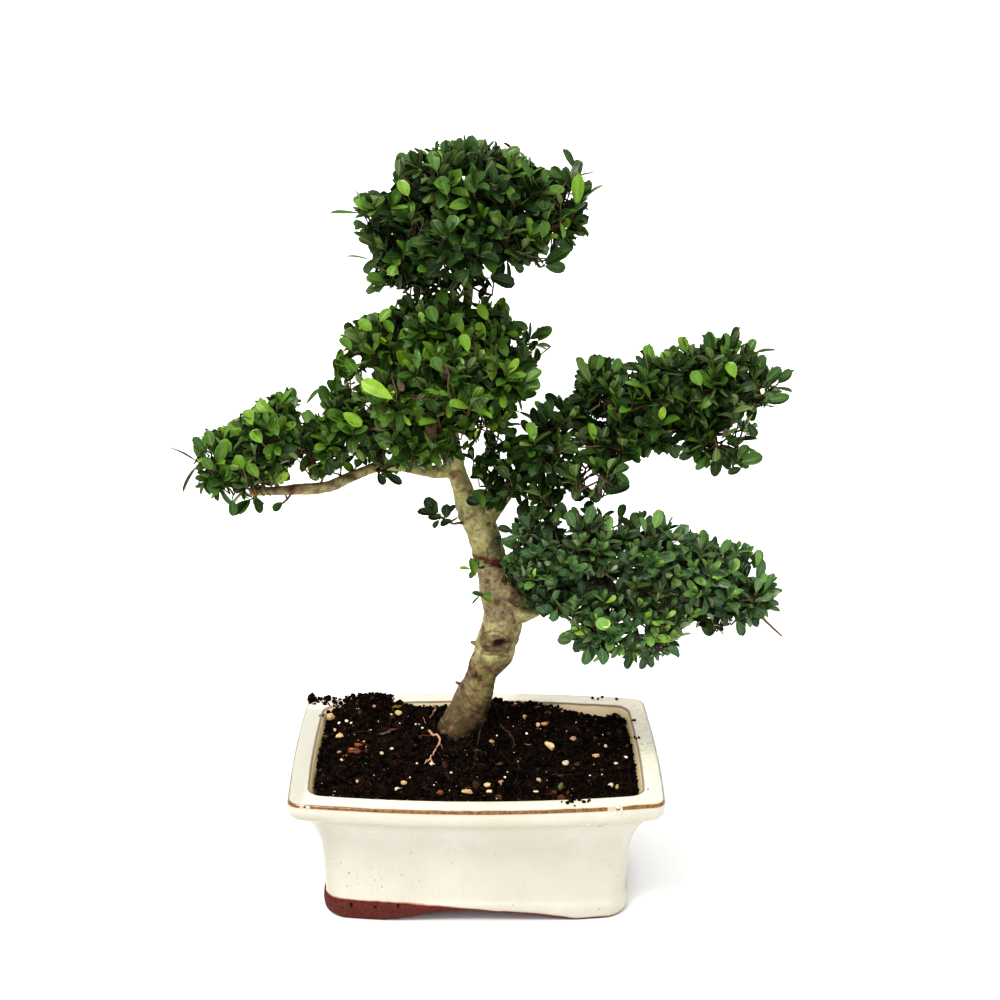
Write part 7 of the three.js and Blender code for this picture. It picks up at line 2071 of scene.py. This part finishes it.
def leaf_material(name, ramp, under, dull):
    m = Mat(name, 0.34, 0.30)
    s, t, side = m.xyz(m.attr("lf", "Vector"))
    tn, seed, dead = m.xyz(m.attr("tn", "Vector"))
    r = m.t.nodes.new("ShaderNodeValToRGB")
    r.color_ramp.elements[0].position, r.color_ramp.elements[0].color = ramp[0][0], srgb(*ramp[0][1])
    r.color_ramp.elements[1].position, r.color_ramp.elements[1].color = ramp[-1][0], srgb(*ramp[-1][1])
    for pos, c in ramp[1:-1]:
        e = r.color_ramp.elements.new(pos)
        e.color = srgb(*c)
    m.put(tn, r.inputs[0])
    top = r.outputs[0]
    comb = m.t.nodes.new("ShaderNodeCombineXYZ")
    m.put(m.math("MULTIPLY", s, 1.9), comb.inputs[0])
    m.put(m.math("MULTIPLY", t, 0.55), comb.inputs[1])
    m.put(m.math("MULTIPLY", m.math("ADD", seed, m.math("MULTIPLY", tn, 5.0)), 13.0), comb.inputs[2])
    mott = m.noise(comb.outputs[0], 2.2, 3, 0.6)
    top = m.mix(m.math("MULTIPLY", m.step(mott, 0.35, 0.68), 0.45), top, m.mix(1.0, top, (0.50, 0.56, 0.42, 1), "MULTIPLY"))
    at = m.math("ABSOLUTE", t)
    # side veins, and a paler midrib and margin
    vein = m.math("SINE", m.math("SUBTRACT", m.math("MULTIPLY", s, 42.0), m.math("MULTIPLY", at, 11.0)))
    vein = m.math("MULTIPLY", m.step(vein, 0.55, 1.0), m.step(at, 1.0, 0.3))
    light = m.mix(0.55, top, srgb(150, 178, 82))
    top = m.mix(m.math("MULTIPLY", vein, 0.12), top, light)
    rib = m.math("MULTIPLY", m.step(at, 0.15, 0.03), m.step(s, 1.0, 0.55))
    top = m.mix(m.math("MULTIPLY", rib, 0.26), top, light)
    top = m.mix(m.math("MULTIPLY", m.step(at, 0.84, 1.0), 0.16), top, light)
    low = m.mix(tn, srgb(*under[0]), srgb(*under[1]))
    low = m.mix(m.math("MULTIPLY", m.step(at, 0.16, 0.03), 0.5), low, srgb(150, 160, 96))
    c = m.mix(side, top, low)
    c = m.mix(1.0, c, (*dull, 1), "MULTIPLY")
    c = m.mix(dead, c, m.mix(m.step(mott, 0.4, 0.6), srgb(104, 80, 58), srgb(62, 44, 32)))
    m.color(c)
    return m.m


RAMP = [(0.0, (24, 42, 20)), (0.25, (36, 62, 26)), (0.5, (54, 88, 32)), (0.72, (84, 124, 38)), (0.88, (118, 156, 46)), (1.0, (150, 186, 62))]
BLUISH = [(0.0, (26, 44, 28)), (0.25, (38, 62, 38)), (0.5, (56, 86, 46)), (0.72, (82, 118, 52)), (0.88, (112, 148, 60)), (1.0, (140, 174, 72))]
GREEN_M = leaf_material("holly_leaf", RAMP, ((62, 84, 44), (96, 122, 62)), (1.60, 1.33, 1.86))
BLUE_M = leaf_material("holly_leaf_shaded", BLUISH, ((64, 84, 56), (92, 112, 72)), (2.45, 1.98, 2.65))

GROUPS = {}
for name, pad, c, r in CL:
    k = int(name.rsplit("_", 1)[1])
    if pad in ("top", "mid", "right_upper", "right_lower"):
        part = {"top": [(1, 2, 5), (3, 4, 7), (6,), (8, 9, 10)], "mid": [(1, 2, 6), (3, 4, 9), (5, 8), (7, 10, 11, 12)],
                "right_upper": [(1, 3, 12), (2, 4, 5), (6, 7, 8, 11), (9, 10)], "right_lower": [(1, 2, 6), (3, 7, 8), (4, 5), (9, 10)]}[pad]
    else:
        part = [(1, 3, 6, 7), (2, 4, 5)]
    for g, members in enumerate(part):
        if k in members:
            GROUPS.setdefault(f"{pad}_{g + 1}", []).append(name)
name_of = [c[0] for c in CL]
inner = np.zeros(n, bool)
inner[INNER[0]:INNER[1]] = True
far = ~inner & ~forced & (B[:, 1] > C0[np.maximum(clump, 0), 1] + 0.15 * C1[np.maximum(clump, 0), 1]) & (B[:, 1] > 6)


def leaf_piece(name, rows, mat):
    V, F4, F3, LF, TV, UV = [], [], [], [], [], []
    off = 0
    for part, proto in ((rows[~inner[rows] & ~far[rows]], FULL), (rows[far[rows]], HALF), (rows[inner[rows]], LITE)):
        if not len(part):
            continue
        v, f4, f3, lf, tv, uv = leaf_mesh(part, proto)
        V.append(v)
        F4.append(f4 + off)
        F3.append(f3 + off)
        LF.append(lf)
        TV.append(tv)
        UV.append(uv)
        off += len(v)
    return mesh_object(name, np.vstack(V), [np.vstack(F4), np.vstack(F3)], [mat], points={"lf": np.vstack(LF), "tn": np.vstack(TV)},
                       corner_uv=np.vstack(UV))


LEAF_PIECES = {}
for g, members in GROUPS.items():
    ids = [name_of.index(x) for x in members]
    rows = sel[np.isin(clump[sel], ids)]
    ob = leaf_piece("leaves_" + g, rows, BLUE_M if g.startswith("right_lower") else GREEN_M)
    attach(ob, "root")
    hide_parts(*["foliage_" + x for x in members])
    LEAF_PIECES[g] = ob
for g, node in (("sprig_left", "sprig_left_leaves"), ("sprout_upper", "sprout_upper_leaves"), ("sprout_lower", "sprout_lower_leaves")):
    rows = sel[padn[sel] == g]
    ob = leaf_piece("leaves_" + g, rows, GREEN_M)
    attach(ob, "root")
    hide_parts(node)

# ---------------------------------------------------------------- shoots that carry the leaves
STEMS = [("mid", [(441, 361), (446, 367), (449, 374), (448, 385), (450, 397), (455, 403)], 1.1), ("mid", [(449, 374), (444, 371), (439, 364)], 0.8),
         ("mid", [(460, 402), (465, 398), (472, 396)], 0.6), ("mid", [(379, 373.5), (384, 374), (389, 373)], 0.7), ("mid", [(392, 374), (394, 384), (397, 392), (396, 400)], 0.9),
         ("mid", [(409, 397), (413, 394), (417, 391.5)], 0.55), ("mid", [(375, 459), (381, 455), (384, 449), (383, 443)], 0.9), ("mid", [(384, 449), (378, 447), (375, 442)], 0.7),
         ("mid", [(394, 458), (399, 453), (402, 446)], 0.8), ("mid", [(430, 428), (441, 424), (452, 426), (462, 431)], 0.6), ("mid", [(476, 350), (473, 341), (476, 333)], 0.8),
         ("left", [(290.5, 495), (287, 499.5), (283, 502.8)], 1.25), ("left", [(247, 487), (246, 478), (243, 468), (240, 460)], 1.0), ("left", [(312, 428), (304, 424), (295, 421), (288, 417)], 0.8),
         ("left", [(208, 468), (214, 470), (222, 472)], 0.8), ("left", [(204, 455), (203, 463), (208, 469)], 0.6), ("left", [(318, 478), (317, 472), (322, 466)], 0.7),
         ("top", [(548, 259), (537, 258), (527, 255), (516, 251)], 0.8), ("top", [(567, 182), (560, 190), (553, 199)], 1.0), ("top", [(376, 267), (384, 270), (392, 276)], 0.8),
         ("top", [(402, 176), (408, 181), (414, 186)], 0.7), ("top", [(412, 240), (420, 232), (424, 222)], 0.8), ("right_upper", [(760, 390), (752, 392), (744, 397), (735, 399)], 0.9),
         ("right_upper", [(740, 465), (733, 462), (724, 457), (716, 452)], 0.8), ("right_upper", [(596, 474), (604, 480), (612, 485)], 0.8),
         ("right_upper", [(560, 452), (572, 448), (586, 447), (600, 446)], 0.9), ("right_upper", [(648, 437), (660, 432), (676, 430)], 0.8),
         ("right_lower", [(640, 592), (656, 593), (672, 596), (688, 600)], 0.8), ("right_lower", [(610, 518), (600, 525), (592, 533)], 0.7), ("right_lower", [(560, 545), (572, 541), (586, 540)], 0.7),
         ("right_lower", [(748, 600), (738, 601), (726, 606)], 0.7), ("right_lower", [(664, 625), (658, 634), (655, 643)], 0.6), ("right_lower", [(690, 552), (702, 549), (716, 548)], 0.6)]
alive = {}
kept_base = B[sel]
net = Spaced(skeleton[::2])
shoot_heaps = {}
first = np.array([s_[0] for s_ in SHOOTS])
order = np.argsort([np.min(((net.P[:net.n] - s_) ** 2).sum(1)) for s_ in first])
off_pads = outside(np.array([s_[1] for s_ in SHOOTS]))
count = 0
for j in order:
    S0, T, A, pad, ci = SHOOTS[j]
    if np.min(((kept_base - T) ** 2).sum(1)) > 14 ** 2:
        continue
    if off_pads[j] > 3 and not pad.startswith("spr"):
        continue
    d = ((net.P[:net.n] - S0) ** 2).sum(1)
    k = int(d.argmin())
    S = net.P[k].copy()
    ln = math.sqrt(d[k])
    if ln < 1.0:
        continue
    a = unit(S0 - S)
    bow = unit(np.cross(a, rng.normal(size=3))) * ln * 0.10
    path = [S, S + (S0 - S) * 0.42 + bow, S0 - A * min(4, ln * 0.2), S0, T]
    Q = through(path, 5.0 if ln > 12 else 4.0)
    r0 = 0.95 if ln > 18 else 0.75
    rad = np.linspace(r0, 0.42, len(Q))
    if in_gap(Q, 0.7).mean() > 0.5:
        continue
    Vt, qt, tt = tube(Q, rad, 5 if ln > 10 else 4)
    fresh = np.clip((np.linalg.norm(Vt - T, axis=1)) / 22, 0, 1)
    shoot_heaps.setdefault("sprig" if pad.startswith("spr") else pad, Heap()).add(Vt, f3=tt, f4=qt, g=fresh)
    if len(Q) > 4:
        for q_ in Q[1:-2:2]:
            net.add(q_)
    count += 1
for pad, pts, r_ in STEMS:
    path = [at_depth(x_, y_, -6.0) if pad == "left" and y_ > 490 else front_of(x_, y_, pad, 1.2)[0] for x_, y_ in pts]
    d = ((net.P[:net.n] - path[0]) ** 2).sum(1)
    S = net.P[int(d.argmin())].copy()
    path = [S, S + (path[0] - S) * 0.6 + np.array([0, 0, -0.5])] + path + [path[-1] + CAM_F * 5.0]
    Q = through(path, 4.0)
    Vt, qt, tt = tube(Q, 0.8 * np.linspace(r_, r_ * 0.6, len(Q)) * (1 + 0.16 * rng.uniform(-1, 1, len(Q))), 6)
    shoot_heaps.setdefault(pad, Heap()).add(Vt, f3=tt, f4=qt, g=0.85 + 0.15 * rng.random())
m = Mat("young_shoot", 0.6, 0.3)
p = m.place()
g = m.attr("g")
n_ = m.noise(p, 420, 3)
c = m.mix(m.step(g, 0.08, 0.4), srgb(98, 106, 54), srgb(94, 62, 46))
c = m.mix(m.step(g, 0.45, 0.8), c, srgb(94, 78, 60))
m.color(m.mix(m.math("MULTIPLY", m.step(n_, 0.4, 0.7), 0.5), c, srgb(50, 36, 29)))
for pad, heap in shoot_heaps.items():
    ob = heap.make("shoots_" + pad, [m.m])
    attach(ob, "root")
print("shoots made", count)

# ---------------------------------------------------------------- drain screens keep their CAD shape
m = Mat("screen_black", 0.55, 0.4, srgb(34, 36, 36))
for name in ("drain_screen_left", "drain_screen_right"):
    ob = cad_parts[name]
    ob.data.materials.clear()
    ob.data.materials.append(m.m)

# ---------------------------------------------------------------- stage: a plain pale floor and soft studio light
size = 40.0
me = bpy.data.meshes.new("floor")
me.from_pydata([(-size, -size, 0), (size, -size, 0), (size, size, 0), (-size, size, 0)], [], [(0, 1, 2, 3)])
floor = bpy.data.objects.new("floor", me)
bpy.context.scene.collection.objects.link(floor)
fm = Mat("pale_floor", 0.9, 0.0, (0.90, 0.90, 0.905, 1))
me.materials.append(fm.m)

world = bpy.data.worlds.new("studio")
bpy.context.scene.world = world
world.use_nodes = True
nt = world.node_tree
nt.nodes.clear()
wo = nt.nodes.new("ShaderNodeOutputWorld")
bg = nt.nodes.new("ShaderNodeBackground")
tc = nt.nodes.new("ShaderNodeTexCoord")
sep = nt.nodes.new("ShaderNodeSeparateXYZ")
mr = nt.nodes.new("ShaderNodeMapRange")
nt.links.new(tc.outputs["Generated"], sep.inputs[0])
nt.links.new(sep.outputs[2], mr.inputs[0])
mr.inputs[1].default_value, mr.inputs[2].default_value = 0.0, 1.0
mr.inputs[3].default_value, mr.inputs[4].default_value = 0.42, 1.20
nt.links.new(mr.outputs[0], bg.inputs["Strength"])
bg.inputs["Color"].default_value = (1.0, 1.0, 1.0, 1)
nt.links.new(bg.outputs[0], wo.inputs[0])


def sun(name, strength, angle, direction, colour=(1, 1, 1)):
    d = bpy.data.lights.new(name, "SUN")
    d.energy = strength
    d.angle = math.radians(angle)
    d.color = colour
    o = bpy.data.objects.new(name, d)
    o.rotation_euler = Vector(direction).to_track_quat("-Z", "Y").to_euler()
    bpy.context.scene.collection.objects.link(o)


sun("key", 1.5, 16, (0.42, 0.52, -1.0), (1.0, 0.985, 0.95))
sun("front_fill", 0.35, 50, (-0.25, 1.0, -0.42))

scene = bpy.context.scene
scene.view_settings.view_transform = "Standard"
scene.view_settings.look = "High Contrast"
scene.view_settings.exposure = 0.0
scene.view_settings.gamma = 1.0
